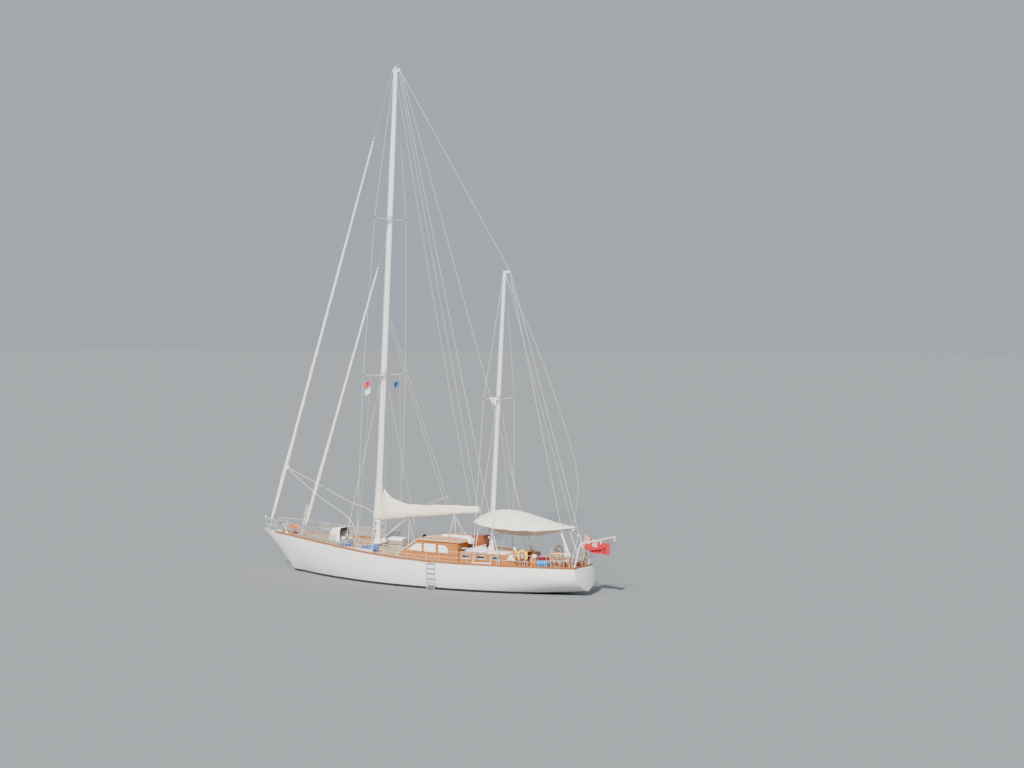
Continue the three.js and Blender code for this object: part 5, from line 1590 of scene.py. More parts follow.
@dataclass
class StandingRigging:
    """Wires, their bottlescrews and sleeves, and what hangs on them."""

    # foot and a point up the wire, port side
    screws: tuple[tuple[Point, Point], ...] = (
        ((2.5, 1.956, 1.70), (2.03, 1.87, 10.61)), ((3.38, 1.855, 1.71), (2.217, 0.15, 10.35)),
        ((1.44, 2.078, 1.69), (2.097, 0.15, 10.35)), ((-4.56, 1.916, 1.45), (-4.91, 1.45, 9.52)),
        ((-4.60, 1.909, 1.45), (-4.825, 0.115, 9.2)), ((-5.50, 1.769, 1.45), (-4.905, 0.115, 9.2)),
        ((-6.0, 1.66, 1.38), (1.06, 0.056, 26.22)), ((-9.48, 0.872, 1.38), (-5.562, 0.05, 15.79)))

    def build(self) -> None:
        """Makes every piece of the standing rigging."""
        for word in ("port", "starboard"):
            dress(f"main_shrouds_{word}", WIRE_STEEL)
            dress(f"mizzen_shrouds_{word}", WIRE_STEEL)
        dress("backstays", WIRE_STEEL)
        for side in Side:
            self.bottlescrews(side)
        self.sleeve()
        self.flags()

    def bottlescrews(self, side: Side) -> None:
        """The screws at the feet of the wires, each in a white sleeve."""
        shape, sleeves = Shape(), Shape()
        for foot, head in self.screws:
            a = Vector((foot[0], side.value * foot[1], foot[2]))
            b = Vector((head[0], side.value * head[1], head[2]))
            along = (b - a).normalized()
            shape.turned(tuple(a + along * 0.02), tuple(b), [
                (0, 0), (0, 0.02), (0.06, 0.02), (0.065, 0.011), (0.12, 0.011), (0.125, 0.02), (0.15, 0.022),
                (0.30, 0.022), (0.325, 0.02), (0.33, 0.011), (0.40, 0.011), (0.41, 0.015), (0.52, 0.013), (0.53, 0)],
                12)
            sleeves.tube([tuple(a + along * t) for t in (0.56, 1.5)], 0.013, 10)
        shape.made_into(f"bottlescrews_{side.word}", STEEL)
        sleeves.made_into(f"wire_sleeves_{side.word}", WHITE_PLASTIC)

    def sleeve(self) -> None:
        """The thick white sleeve on the port mizzen backstay, and the white ball above the pushpit."""
        shape = Shape()
        a, b = Vector((-9.505, 0.885, 1.98)), Vector((-8.985, 0.86, 3.09))
        line = [a.lerp(b, k / 12) for k in range(13)]
        sizes = [0.030 + 0.014 * math.sin(math.pi * k / 12) ** 0.4 + 0.002 * math.sin(k * 2.3) for k in range(13)]
        shape.tube(line, sizes, 16)
        shape.made_into("backstay_sleeve", WHITE_CLOTH, sharp=60)
        pod = Shape()
        pod.turned((-9.30, 0.89, 1.93), (-9.29, 0.89, 3.0), [(0, 0), (0.01, 0.07), (0.05, 0.095), (0.16, 0.095),
                                                             (0.21, 0.07), (0.22, 0)], 24)
        pod.made_into("stern_lamp_pod", WHITE_PLASTIC)

    def flags(self) -> None:
        """Small courtesy flags under the lower spreaders, on their halyards."""
        shape = Shape()
        for y, side in ((1.3, Side.PORT), (-1.3, Side.STARBOARD)):
            foot = LINES.inboard(2.45, side.value, 0.22, 0.05)
            shape.tube([(2.06, y, 10.57), tuple(foot)], 0.004, 6)
        shape.made_into("flag_halyards", WHITE_ROPE)
        rows = ((10.33, "red_flag", (0.70, 0.03, 0.04), 1.3), (9.96, "white_flag", (0.80, 0.80, 0.80), 1.3),
                (10.27, "blue_flag", (0.04, 0.14, 0.50), -1.3))
        for z, name, colour, y in rows:
            cloth = Canvas(f"{name}_bunting", colour=colour, soiled=tuple(c * 0.8 for c in colour), wrinkle=0.01)
            hoist = 2.075 + 0.033 * (10.57 - z) / 8.8

            def place(u: float, v: float) -> Point:
                droop = 0.16 * u * u + 0.02 * math.sin(u * 7 + z)
                along = 0.34 * u * (0.92 + 0.08 * v)
                return hoist + along, y + 0.05 * math.sin(u * 8 + v * 2) * u, z - 0.30 * v - droop

            flag = Shape().take(thickened(spread_grid(14, 8, place, (0.36, 0.30)), 0.0015)).made_into(name, cloth)


@dataclass
class FurledSail:
    """A headsail rolled on its stay, with its drum and swivel."""

    name: str
    foot: Point
    head: Point
    # distance up the stay and radius of the roll
    roll: tuple[tuple[float, float], ...]
    turns: float
    strip: Colour | None = None

    def build(self) -> None:
        """Makes the roll and its metalwork."""
        a, b = Vector(self.foot), Vector(self.head)
        along = (b - a).normalized()
        frames = frames_along([a, b])
        across, up = frames[0]
        low, high = self.roll[0][0], self.roll[-1][0]

        def place(u: float, v: float) -> Vector:
            at = blended(low, high, v)
            turn = math.tau * u
            radius = from_table(self.roll, at, 1)
            ridge = (turn - at * self.turns) % math.tau / math.tau
            spiral = 0.10 * ridge - 0.05 + 0.05 * math.exp(-((ridge - 0.97) / 0.03) ** 2)
            wave = 0.035 * noise.noise(Vector((at * 0.9, math.cos(turn) * 1.3, math.sin(turn) * 1.3)))
            return a + along * at + (across * math.cos(turn) + up * math.sin(turn)) * radius * (1 + spiral + wave)

        made = wrapped(48, 420, place, reach=(0.6, high))
        roll = Shape().take(made).made_into(f"{self.name}_roll", SAILCLOTH, sharp=50)
        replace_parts(roll, self.name)
        length = (b - a).length
        metal = Shape()
        metal.turned(tuple(a + along * 0.085), self.head, [
            (0, 0), (0, 0.075), (0.006, 0.095), (0.014, 0.095), (0.02, 0.05), (0.13, 0.05), (0.136, 0.095),
            (0.144, 0.095), (0.15, 0.032), (0.22, 0.028), (0.22, 0)], 28)
        metal.rod(tuple(a + along * 0.005), tuple(a + along * 0.10), 0.014)
        metal.rod(tuple(a + along * (high - 0.02)), tuple(a + along * (length - 0.01)), 0.010)
        metal.turned(tuple(a + along * (high + 0.05)), self.head,
                     [(0, 0), (0, 0.03), (0.02, 0.04), (0.12, 0.04), (0.14, 0.026), (0.15, 0)], 20)
        metal.made_into(f"{self.name}_furler", STEEL)
        line = Shape()
        for k in range(5):
            middle = a + along * (0.115 + 0.022 * k)
            ring = [middle + (across * math.cos(t) + up * math.sin(t)) * 0.056 for t in round_turn(20)]
            line.tube(ring, 0.006, 6)
        line.made_into(f"{self.name}_furling_turns", BLUE_ROPE)


@dataclass
class MainBoom:
    """Main boom with the furled sail in its cover, its vang, sheets, lifts and lazy jacks."""

    start: Point = (2.235, 0.0, 3.13)
    end: Point = (-3.74, 0.0, 3.83)
    # x, underside, top, half width
    cover: tuple[tuple[float, ...], ...] = (
        (-3.70, 3.735, 3.98, 0.075), (-3.55, 3.705, 4.02, 0.11), (-2.69, 3.605, 4.03, 0.150),
        (-1.26, 3.435, 3.99, 0.175), (-0.09, 3.295, 3.93, 0.190), (0.50, 3.225, 3.95, 0.200),
        (0.96, 3.170, 3.99, 0.205), (1.69, 3.085, 4.22, 0.215), (2.02, 3.055, 4.47, 0.195), (2.20, 3.10, 4.64, 0.155),
        (2.24, 3.20, 4.62, 0.130))

    def build(self) -> None:
        """Makes every piece on the main boom."""
        self.boom()
        self.covered_sail()
        self.mast_wrap()
        self.lacing()
        self.vang()
        self.sheets()
        self.lifts()

    def boom(self) -> None:
        """The boom with its end fittings."""
        a, b = Vector(self.start), Vector(self.end)
        length = (b - a).length
        shape = Shape().turned(self.start, self.end, [
            (0, 0), (0, 0.085), (0.02, 0.095), (length - 0.05, 0.080), (length - 0.01, 0.074), (length, 0.05),
            (length, 0)], 28)
        shape.rod((2.321, 0, 3.01), (2.309, 0, 3.24), 0.018)
        for z in (3.06, 3.19):
            shape.block((2.16, -0.024, z - 0.014), (2.325, 0.024, z + 0.014), 0.004)
        boom = shape.made_into("main_boom_smooth", MAST_PAINT, "main_boom")
        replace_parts(boom, "main_boom")
        bands = Shape()
        for share in (0.13, 0.30, 0.66, 0.73, 0.80, 0.985):
            at = a.lerp(b, share)
            size = blended(0.097, 0.082, share)
            bands.rod(tuple(at), tuple(a.lerp(b, share + 0.006)), size, sides=28)
            bands.block((at.x - 0.02, -0.018, at.z - size - 0.05), (at.x + 0.02, 0.018, at.z - size + 0.01), 0.006)
        bands.made_into("main_boom_bands", STEEL, "main_boom")

    def ring(self, x: float, turn: float) -> Point:
        """A point of the cover's surface round its section at x."""
        low, high, half = (from_table(self.cover, x, k) for k in (1, 2, 3))
        lift = (math.sin(turn) + 1) / 2
        z = low + (high - low) * lift
        crest = (1.15 - 0.62 * lift ** 1.5) * half
        folds = 0.012 * math.sin(x * 9 + lift * 5) + 0.018 * noise.noise(Vector((x * 2.6, lift * 4, math.cos(turn))))
        drape = 0.015 * math.sin(x * 5.3 + 1.2) * lift
        lump = 0.01 * noise.noise(Vector((x * 3, lift * 3, 4)))
        return x - RAKE * (z - BOOM_Z), (crest + folds) * math.cos(turn), z + drape + lump

    def covered_sail(self) -> None:
        """The cover, full of the stowed sail."""

        def place(u: float, v: float) -> Point:
            return self.ring(blended(2.24, -3.70, v), math.tau * u)

        made = wrapped(56, 150, place, reach=(0.9, 6.2))
        cover = Shape().take(made).made_into("main_cover_cloth", COVER_CLOTH, "main_boom", sharp=70)
        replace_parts(cover, "main_sail_cover")

    def mast_wrap(self) -> None:
        """The front of the cover, which wraps round the mast and laces ahead of it."""
        spar = MAIN_MAST
        shape = Shape()

        def place(u: float, v: float) -> Point:
            z = blended(3.12, 4.78 - 0.10 * math.cos(u * math.tau), v)
            flare = 0.045 + 0.05 * (1 - v) ** 2 + 0.012 * math.sin(v * 14) * (0.4 + 0.6 * abs(math.sin(math.pi * u)))
            x, y, _ = spar.face(z, 360 * u, flare)
            fold = 0.012 * noise.noise(Vector((u * 9, z * 2.2, 1.0)))
            return x + fold + (0.035 * (1 - v) if abs(u - 0.5) > 0.3 else 0), y * (1 + fold * 2), z

        made = spread_grid(48, 26, place, (1.4, 1.7))
        bmesh.ops.remove_doubles(made, verts=list(made.verts), dist=1e-5)
        shape.take(thickened(made, 0.004))
        wrap = shape.made_into("main_cover_collar", COVER_CLOTH, None, sharp=60)
        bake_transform(wrap)
        toggles = Shape()
        for k in range(7):
            x, y, z = spar.face(3.25 + 0.21 * k, 0, 0.085 if k < 3 else 0.062)
            toggles.ball((x, y, z), 0.016, (0.7, 1.6, 0.7))
        toggles.tube([spar.face(z, 0, 0.078 if z < 3.7 else 0.058) for z in (3.14, 3.5, 3.9, 4.3, 4.68)], 0.006, 6)
        toggles.made_into("cover_toggles", GALVANISED, ROOT)
        tie = Shape()
        tie.tube([spar.face(4.62, 360 * k / 24, 0.062) for k in range(25)], 0.008, 6)
        lashing = tie.made_into("cover_top_lashing", WHITE_ROPE, None)
        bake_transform(lashing)

    def lacing(self) -> None:
        """Seams, and the lacing with its hooks under the cover."""
        shape, hooks = Shape(), Shape()
        for x in (1.45, 0.55, -0.35, -1.25, -2.15, -3.05):
            ring = [Vector(self.ring(x, -math.pi / 2 + 0.5 + (math.tau - 1.0) * k / 30)) for k in range(31)]
            middle = sum(ring, Vector()) / len(ring)
            shape.tube([tuple(p + (p - middle).normalized() * 0.004) for p in ring], 0.004, 5)
        for k in range(19):
            x = 1.55 - 0.27 * k
            for side in Side:
                p = Vector(self.ring(x, -math.pi / 2 + side.value * 0.55))
                hooks.ball(tuple(p), 0.010, (1, 0.6, 1))
        zig = []
        for k in range(38):
            x = 1.55 - 0.135 * k
            zig.append(self.ring(x, -math.pi / 2 + (0.5 if k % 2 else -0.5)))
        hooks.tube([tuple(Vector(p) - Vector((0, 0, 0.006))) for p in zig], 0.004, 5)
        shape.made_into("cover_seams", COVER_CLOTH, "main_boom")
        hooks.made_into("cover_lacing", WHITE_ROPE, "main_boom")

    def vang(self) -> None:
        """The tubular vang under the boom, with its tackle and its lug."""
        foot, head = Vector((2.395, 0, 1.96)), Vector((0.70, 0, 3.215))
        span = (head - foot).length - 0.03
        shape = Shape().turned(tuple(foot), tuple(head), [
            (0, 0), (0, 0.026), (0.70, 0.028), (0.705, 0.046), (0.73, 0.050), (1.58, 0.050), (1.60, 0.046),
            (1.605, 0.030), (span, 0.030), (span, 0)], 24)
        shape.made_into("vang_tube", STEEL, "main_boom")
        tackle = Shape()
        for y in (-0.035, 0.035):
            tackle.tube([(2.30, y, 1.985), (1.85, y, 2.33)], 0.006, 6)
        tackle.made_into("vang_tackle", BLUE_ROPE, "main_boom")
        dress("boom_vang", STEEL)

    def sheets(self) -> None:
        """The main sheet: a tackle down to the deck ahead of the house and four parts down to its roof."""
        for name, high, low in (("fore", (0.55, 0.0, 3.22), ((0.42, 0.30, 1.80), (0.42, -0.30, 1.80))),
                                ("aft", (-2.22, 0.0, 3.52), ((-2.30, 0.62, 2.50), (-2.30, -0.62, 2.50),
                                                        (-2.62, 0.46, 2.51), (-2.62, -0.46, 2.51)))):
            shape, blocks = Shape(), Shape()
            for place in low:
                a = Vector(high)
                b = Vector(place)
                for shift in (-0.018, 0.018):
                    off = Vector((shift, 0, 0))
                    shape.tube([tuple(a.lerp(b, t) + off * (1 - 0.3 * t)) for t in (0.04, 0.3, 0.6, 0.93)], 0.007, 6)
                blocks.take(self.pulley(a.lerp(b, 0.03), 0.045))
                blocks.take(self.pulley(a.lerp(b, 0.95), 0.05))
            ropes = shape.made_into(f"main_sheet_{name}", WHITE_ROPE, None)
            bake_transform(ropes)
            metal = blocks.made_into(f"main_sheet_blocks_{name}", STEEL, None)
            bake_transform(metal)

    @staticmethod
    def pulley(centre: Vector, size: float) -> Made:
        """A small block: two cheeks round a sheave."""
        part = Shape()
        for y in (-0.014, 0.014):
            part.rod((centre.x, centre.y + y - 0.003, centre.z), (centre.x, centre.y + y + 0.003, centre.z), size,
                     sides=16)
        part.rod((centre.x, centre.y - 0.01, centre.z), (centre.x, centre.y + 0.01, centre.z), size * 0.75, sides=16)
        return part.bm

    def lifts(self) -> None:
        """Topping lift and lazy jacks, taut between boom and mast, and the slack spare lift."""
        line = Shape().tube([(1.16, 0.0, 26.05), (-3.66, 0.0, 3.93)], 0.006, 6)
        lift = line.made_into("main_topping_lift", WHITE_ROPE, None)
        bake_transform(lift)
        shape = Shape()
        fork = Vector((-1.65, 0, 4.42))
        for side in Side:
            y = side.value
            crown = (1.86, y * 0.12, 13.6)
            shape.tube([crown, (fork.x, y * 0.16, fork.z)], 0.005, 6)
            shape.tube([(fork.x, y * 0.16, fork.z), (-0.19, y * 0.20, 3.78)], 0.005, 6)
            shape.tube([(fork.x, y * 0.16, fork.z), (-2.05, y * 0.16, 3.85)], 0.005, 6)
            shape.ball((fork.x, y * 0.16, fork.z), 0.022, (1, 0.6, 1))
        jacks = shape.made_into("lazy_jacks", WHITE_ROPE, None)
        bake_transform(jacks)
        slack = sagging((1.257, 0.0, 25.6), (-3.28, 0.06, 4.00), 0.42, 40)
        loose_rope("slack_main_lift", slack, 0.006, "main_boom", WHITE_ROPE)


def loose_rope(name: str, path: Sequence[Vector], radius: float, body: str, finish: Finish,
               sides: int = 8) -> bpy.types.Object:
    """A free rope along a path.

    Args:
        name: the piece's name.
        path: the points that it follows.
        radius: its radius.
        body: the body that carries it.
        finish: what it is finished with.
        sides: number of sides.

    Returns:
        The rope.
    """
    rope = Shape().tube(path, radius, sides).made_into(name, finish, body)
    tuple(path[0])
    length_of(path)
    [tuple(p) for p in path]
    return rope


@dataclass
class MizzenBoom:
    """Mizzen boom, the stowed mizzen, and the awning over both."""

    start: Point = (-4.672, 0.0, 3.12)
    end: Point = (-9.23, 0.0, 3.17)
    cover: tuple[tuple[float, ...], ...] = (
        (-8.62, 3.245, 3.33, 0.04), (-8.45, 3.232, 3.39, 0.08), (-7.5, 3.215, 3.50, 0.14), (-6.3, 3.205, 3.63, 0.165),
        (-5.3, 3.205, 3.70, 0.16), (-4.80, 3.20, 3.67, 0.13))
    # x, ridge height, then half width and edge height to port and to starboard, where the edge is hauled down
    awning: tuple[tuple[float, ...], ...] = (
        (-9.30, 3.318, 0.05, 3.285, 0.05, 3.285), (-8.75, 3.378, 0.49, 3.245, 0.35, 3.185),
        (-8.10, 3.498, 0.91, 3.165, 0.75, 3.015), (-7.28, 3.698, 1.15, 3.125, 1.07, 2.795),
        (-6.13, 3.918, 1.23, 3.135, 1.23, 2.605), (-5.13, 3.948, 1.12, 3.155, 1.18, 2.565),
        (-4.48, 3.828, 0.92, 3.215, 1.03, 2.645), (-3.90, 3.598, 0.59, 3.275, 0.67, 2.905),
        (-3.39, 3.258, 0.05, 3.232, 0.05, 3.222))
    awning_length: float = 5.9

    def build(self) -> None:
        """Makes every piece on the mizzen boom."""
        self.boom()
        self.stowed_sail()
        self.awning_sheet()
        self.lines()

    def boom(self) -> None:
        """The boom with its end fitting."""
        length = (Vector(self.end) - Vector(self.start)).length
        shape = Shape().turned(self.start, self.end, [
            (0, 0), (0, 0.06), (0.03, 0.072), (length - 0.04, 0.060), (length, 0.04), (length, 0)], 24)
        shape.rod((-4.668, 0, 3.05), (-4.676, 0, 3.19), 0.018)
        boom = shape.made_into("mizzen_boom_smooth", MAST_PAINT, "mizzen_boom")
        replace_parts(boom, "mizzen_boom")
        bands = Shape()
        for x in (-5.4, -7.9, -9.12):
            bands.rod((x, 0, 3.128 - (x + 4.672) * 0.011), (x - 0.035, 0, 3.128 - (x + 4.707) * 0.011), 0.073,
                      sides=24)
            bands.block((x - 0.025, -0.012, 3.02), (x + 0.005, 0.012, 3.10), 0.005)
        bands.made_into("mizzen_boom_bands", STEEL, "mizzen_boom")

    def stowed_sail(self) -> None:
        """The stowed mizzen, bundled along the boom."""

        def place(u: float, v: float) -> Point:
            x = blended(-4.80, -8.60, v)
            low, high, half = (from_table(self.cover, x, k) for k in (1, 2, 3))
            turn = math.tau * u
            lift = (math.sin(turn) + 1) / 2
            z = low + (high - low) * lift
            ruck = 0.016 * noise.noise(Vector((x * 5, lift * 5, math.cos(turn) * 1.5)))
            return x - RAKE * (z - BOOM_Z), (half * (1.15 - 0.55 * lift) + ruck) * math.cos(turn), z + ruck * 0.5

        bundle = Shape().take(wrapped(36, 90, place)).made_into("mizzen_bundle", SAILCLOTH, "mizzen_boom", sharp=70)
        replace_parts(bundle, "mizzen_sail_cover")

    def sheet_point(self, x: float, across: float) -> Point:
        """A point of the awning: across runs from -1 on the starboard edge to 1 on the port edge."""
        column = 2 if across > 0 else 4
        ridge, half, edge = (from_table(self.awning, x, k) for k in (1, column, column + 1))
        share = abs(across)
        drop = (ridge - edge) * (0.45 * share + 0.55 * share ** 2.4)
        pulled = 0.014 * share ** 2 * math.sin(x * 6.0) * min(half, 1.0)
        ripple = 0.010 * noise.noise(Vector((x * 1.6, across * 2.2, 3.0))) * min(half * 2, 1.0)
        diagonal = 0.008 * math.sin((x * 3 + share * 5)) * share * min(half, 1.0)
        return x, across * half * (1 + 0.012 * math.sin(x * 7)), ridge - drop + pulled + ripple + diagonal

    def awning_sheet(self) -> None:
        """The awning: one curved sheet with hems, seams and eyelets."""

        def place(u: float, v: float) -> Point:
            return self.sheet_point(blended(-3.40, -9.29, v), 2 * u - 1)

        made = spread_grid(44, 110, place, (2.7, self.awning_length))
        made.normal_update()
        sheet = Shape().take(thickened(made, 0.004)).made_into("awning_cloth", AWNING_CLOTH, "mizzen_boom", sharp=60)
        flat = sum(face.calc_area() for face in self.measured(place).faces)
        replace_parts(sheet, "awning")
        hems, eyes = Shape(), Shape()
        for sign in (1, -1):
            line = [Vector(self.sheet_point(blended(-3.41, -9.28, k / 60), sign)) - Vector((0, 0, 0.004))
                    for k in range(61)]
            hems.tube(line, 0.009, 8)
            for k in range(1, 12):
                p = Vector(self.sheet_point(blended(-3.5, -9.25, k / 12), sign * 0.955))
                eyes.turned((p.x, p.y, p.z - 0.004), (p.x, p.y, p.z + 1),
                            [(0, 0.012), (0, 0.019), (0.011, 0.019), (0.011, 0.012), (0, 0.012)], 14)
        for x in (-4.35, -5.25, -6.15, -7.05, -7.95, -8.7):
            seam = [self.sheet_point(x, -1 + 2 * k / 40) for k in range(41)]
            hems.tube([(px, py, pz + 0.003) for px, py, pz in seam], 0.0035, 5)
        ridge = [self.sheet_point(blended(-3.41, -9.28, k / 60), 0.0) for k in range(61)]
        hems.tube([(px, py, pz + 0.004) for px, py, pz in ridge], 0.008, 6)
        hems.made_into("awning_hems", AWNING_CLOTH, "mizzen_boom")
        eyes.made_into("awning_eyelets", GALVANISED, "mizzen_boom")

    @staticmethod
    def measured(place: Callable[[float, float], Point]) -> Made:
        """The bare sheet, to measure its area."""
        made = spread_grid(44, 110, place)
        made.normal_update()
        return made

    def lines(self) -> None:
        """Taut awning guys, the mizzen sheet, and the slack topping lift with its belly aft."""
        guys = Shape()
        for x, foot in ((-4.48, (-4.30, 1.75, 1.98)), (-6.13, (-5.95, 1.60, 1.93)), (-7.65, (-7.34, 1.44, 1.93))):
            for side in Side:
                a = Vector(self.sheet_point(x, side.value))
                b = Vector((foot[0], side.value * foot[1], foot[2]))
                guys.tube([tuple(a), tuple(b)], 0.004, 6)
        guy = guys.made_into("awning_guys", WHITE_ROPE, None)
        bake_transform(guy)
        sheet = Shape()
        for y in (-0.03, 0.0, 0.03):
            sheet.tube([(-8.98, y, 3.08), (-9.60, y * 3, 1.52)], 0.006, 6)
        tackle = sheet.made_into("mizzen_sheet", WHITE_ROPE, None)
        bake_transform(tackle)
        belly = smooth_path([(-5.25, 0.05, 15.72), (-6.0, 0.05, 14.33), (-7.06, 0.04, 12.21), (-8.23, 0.04, 9.52),
                             (-9.0, 0.03, 7.4), (-9.37, 0.03, 6.06), (-9.45, 0.02, 4.9), (-9.28, 0.02, 3.9),
                             (-9.16, 0.0, 3.30)], 5)
        loose_rope("slack_mizzen_lift", belly, 0.006, "mizzen_boom", WHITE_ROPE)
        taut = Shape().tube([(-5.30, 0.0, 15.75), (-9.14, 0.0, 3.29)], 0.005, 6)
        taut.made_into("mizzen_topping_lift", WHITE_ROPE, "mizzen_boom")


@dataclass
class HeadsailSheets:
    """Sheets of the rolled genoa, led aft along the deck."""

    clew: Point = (8.555, 0.03, 5.54)

    def build(self) -> None:
        """Makes the sheets, the clew patch and the car tracks."""
        patch = Shape()
        patch.plate([(8.62, 0.03, 5.78), (8.40, 0.03, 5.60), (8.42, 0.03, 5.48), (8.60, 0.03, 5.35)], (0, 0.02, 0),
                    0.004)
        patch.turned((8.46, 0.02, 5.54), (8.46, 0.9, 5.54), [(0, 0.012), (0, 0.03), (0.035, 0.03), (0.035, 0.012),
                                                             (0, 0.012)], 18)
        patch.made_into("genoa_clew", SAILCLOTH)
        port = smooth_path([self.clew, (7.25, 0.55, 4.93), (5.25, 1.10, 4.01), (3.33, 1.55, 3.24), (2.86, 1.61, 2.58),
                            (2.87, 1.63, 2.12), (3.0, 1.64, 1.86)], 5)
        loose_rope("genoa_sheet_port", port, 0.012, ROOT, WHITE_ROPE)
        starboard = smooth_path([(8.555, -0.03, 5.50), (7.1, -0.62, 4.72), (5.35, -1.0, 3.84), (3.98, -1.40, 3.27),
                                 (3.22, -1.60, 2.45), (3.0, -1.64, 1.86)], 5)
        loose_rope("genoa_sheet_starboard", starboard, 0.012, ROOT, WHITE_ROPE)
        for side in Side:
            track = Shape()
            line = [LINES.inboard(x, side.value, 0.30, 0.012) for x in (4.4, 3.6, 2.8, 2.0, 1.2, 0.4)]
            for a, b in zip(line, line[1:]):
                track.rod(tuple(a), tuple(b), 0.014, sides=6)
            at = LINES.inboard(3.0, side.value, 0.30, 0.03)
            track.block((at.x - 0.06, at.y - 0.025, at.z), (at.x + 0.06, at.y + 0.025, at.z + 0.045), 0.01)
            track.turned((at.x, at.y - 0.02, at.z + 0.075), (at.x, at.y + 1, at.z + 0.075),
                         [(0, 0), (0, 0.04), (0.04, 0.04), (0.04, 0)], 18)
            track.made_into(f"sheet_track_{side.word}", STEEL)


BLUE_ROPE = Rope("blue_fleck_rope", colour=(0.55, 0.60, 0.66), dark=(0.20, 0.28, 0.42))
MAIN_MAST = Spar(
    "main_mast",
    ((1.5, 2.608, 0.165, 0.118), (12.0, 2.073, 0.165, 0.118), (21.0, 1.618, 0.150, 0.108),
     (26.3, 1.352, 0.105, 0.082)),
    ((10.55, 1.85, 0.06, 0.04, 0.042), (18.6, 1.38, 0.09, 0.03, 0.036)), foot_z=1.80, boom_z=4.8,
    winches=((2.55, 78), (2.55, 282), (2.95, 74), (2.95, 286)))
MIZZEN_MAST = Spar(
    "mizzen_mast",
    ((1.5, -4.420, 0.118, 0.088), (9.5, -4.882, 0.115, 0.086), (15.85, -5.248, 0.082, 0.066)),
    ((9.43, 1.43, 0.09, 0.03, 0.032),), foot_z=1.895, boom_z=3.75, winches=((2.55, 82), (2.45, 278)))
GENOA = FurledSail("furled_genoa", (9.82, 0, 2.098), (1.585, 0, 26.24), (
    (0.50, 0.03), (0.62, 0.050), (0.83, 0.083), (1.6, 0.100), (3.08, 0.115), (5.68, 0.092), (9.5, 0.086),
    (13.5, 0.075), (18.0, 0.058), (21.8, 0.046)), turns=2.1)
STAYSAIL = FurledSail("furled_staysail", (7.50, 0, 1.94), (2.01, 0, 17.56), (
    (0.55, 0.03), (0.68, 0.05), (0.87, 0.076), (1.6, 0.092), (3.12, 0.105), (5.72, 0.084), (9.2, 0.069), (12.5, 0.054),
    (14.9, 0.042)), turns=2.6)


def soft_from_cloth(name: str, made: Made, finish: Finish, body: str = ROOT, voxel: float = 0.014,
                    pressure: float = 4.0, cap: float = 0.03) -> bpy.types.Object:
    """Args:
        name: the piece's name.
        made: the closed form, a little smaller than the piece.
        finish: its cloth.
        body: the body that carries it.
        voxel: size of the cells that it is remeshed with.
        pressure: the pressure that fills it.
        cap: how far a point may move.

    Returns:
        The finished piece.
    """
    mesh = bpy.data.meshes.new(name)
    made.to_mesh(mesh)
    made.free()
    piece = bpy.data.objects.new(name, mesh)
    bpy.context.scene.collection.objects.link(piece)
    remesh = piece.modifiers.new("remesh", "REMESH")
    remesh.mode, remesh.voxel_size = "VOXEL", voxel
    settle(piece)
    before = [vert.co.copy() for vert in piece.data.vertices]
    cloth = piece.modifiers.new("cloth", "CLOTH")
    cloth.settings.quality = 4
    cloth.settings.mass = 0.3
    cloth.settings.tension_stiffness = cloth.settings.compression_stiffness = 6.0
    cloth.settings.shear_stiffness, cloth.settings.bending_stiffness = 3.0, 0.6
    cloth.settings.use_pressure = True
    cloth.settings.uniform_pressure_force = pressure
    cloth.settings.effector_weights.gravity = 0.0
    cloth.point_cache.frame_start, cloth.point_cache.frame_end = 1, 20
    for frame_number in range(1, 21):
        bpy.context.scene.frame_set(frame_number)
    settle(piece)
    for vert, start in zip(piece.data.vertices, before):
        moved = vert.co - start
        if moved.length > cap:
            vert.co = start + moved.normalized() * cap
    bpy.context.scene.frame_set(1)
    finer = piece.modifiers.new("finer", "SUBSURF")
    finer.levels = finer.render_levels = 1
    settle(piece)
    piece.data.materials.append(finish.material())
    piece.data.shade_smooth()
    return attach(piece, body)


def settle(piece: bpy.types.Object) -> None:
    """Applies a piece's modifiers to its mesh."""
    held = bpy.context.evaluated_depsgraph_get()
    mesh = bpy.data.meshes.new_from_object(piece.evaluated_get(held))
    piece.modifiers.clear()
    piece.data = mesh


def soft_block(low: Point, high: Point, round_by: float, seed: float, wrinkle: float = 0.008) -> Made:
    """A rounded box whose faces are a little uneven, ready to be stuffed."""
    made = rounded_box(Vector(low), Vector(high), round_by, 4)
    bmesh.ops.subdivide_edges(made, edges=[e for e in made.edges if e.calc_length() > 0.12], cuts=6,
                              use_grid_fill=True)
    for vert in made.verts:
        vert.co += Vector((1, 1, 0.6)) * wrinkle * noise.noise(vert.co * 6 + Vector((seed, 0, seed)))
    return made


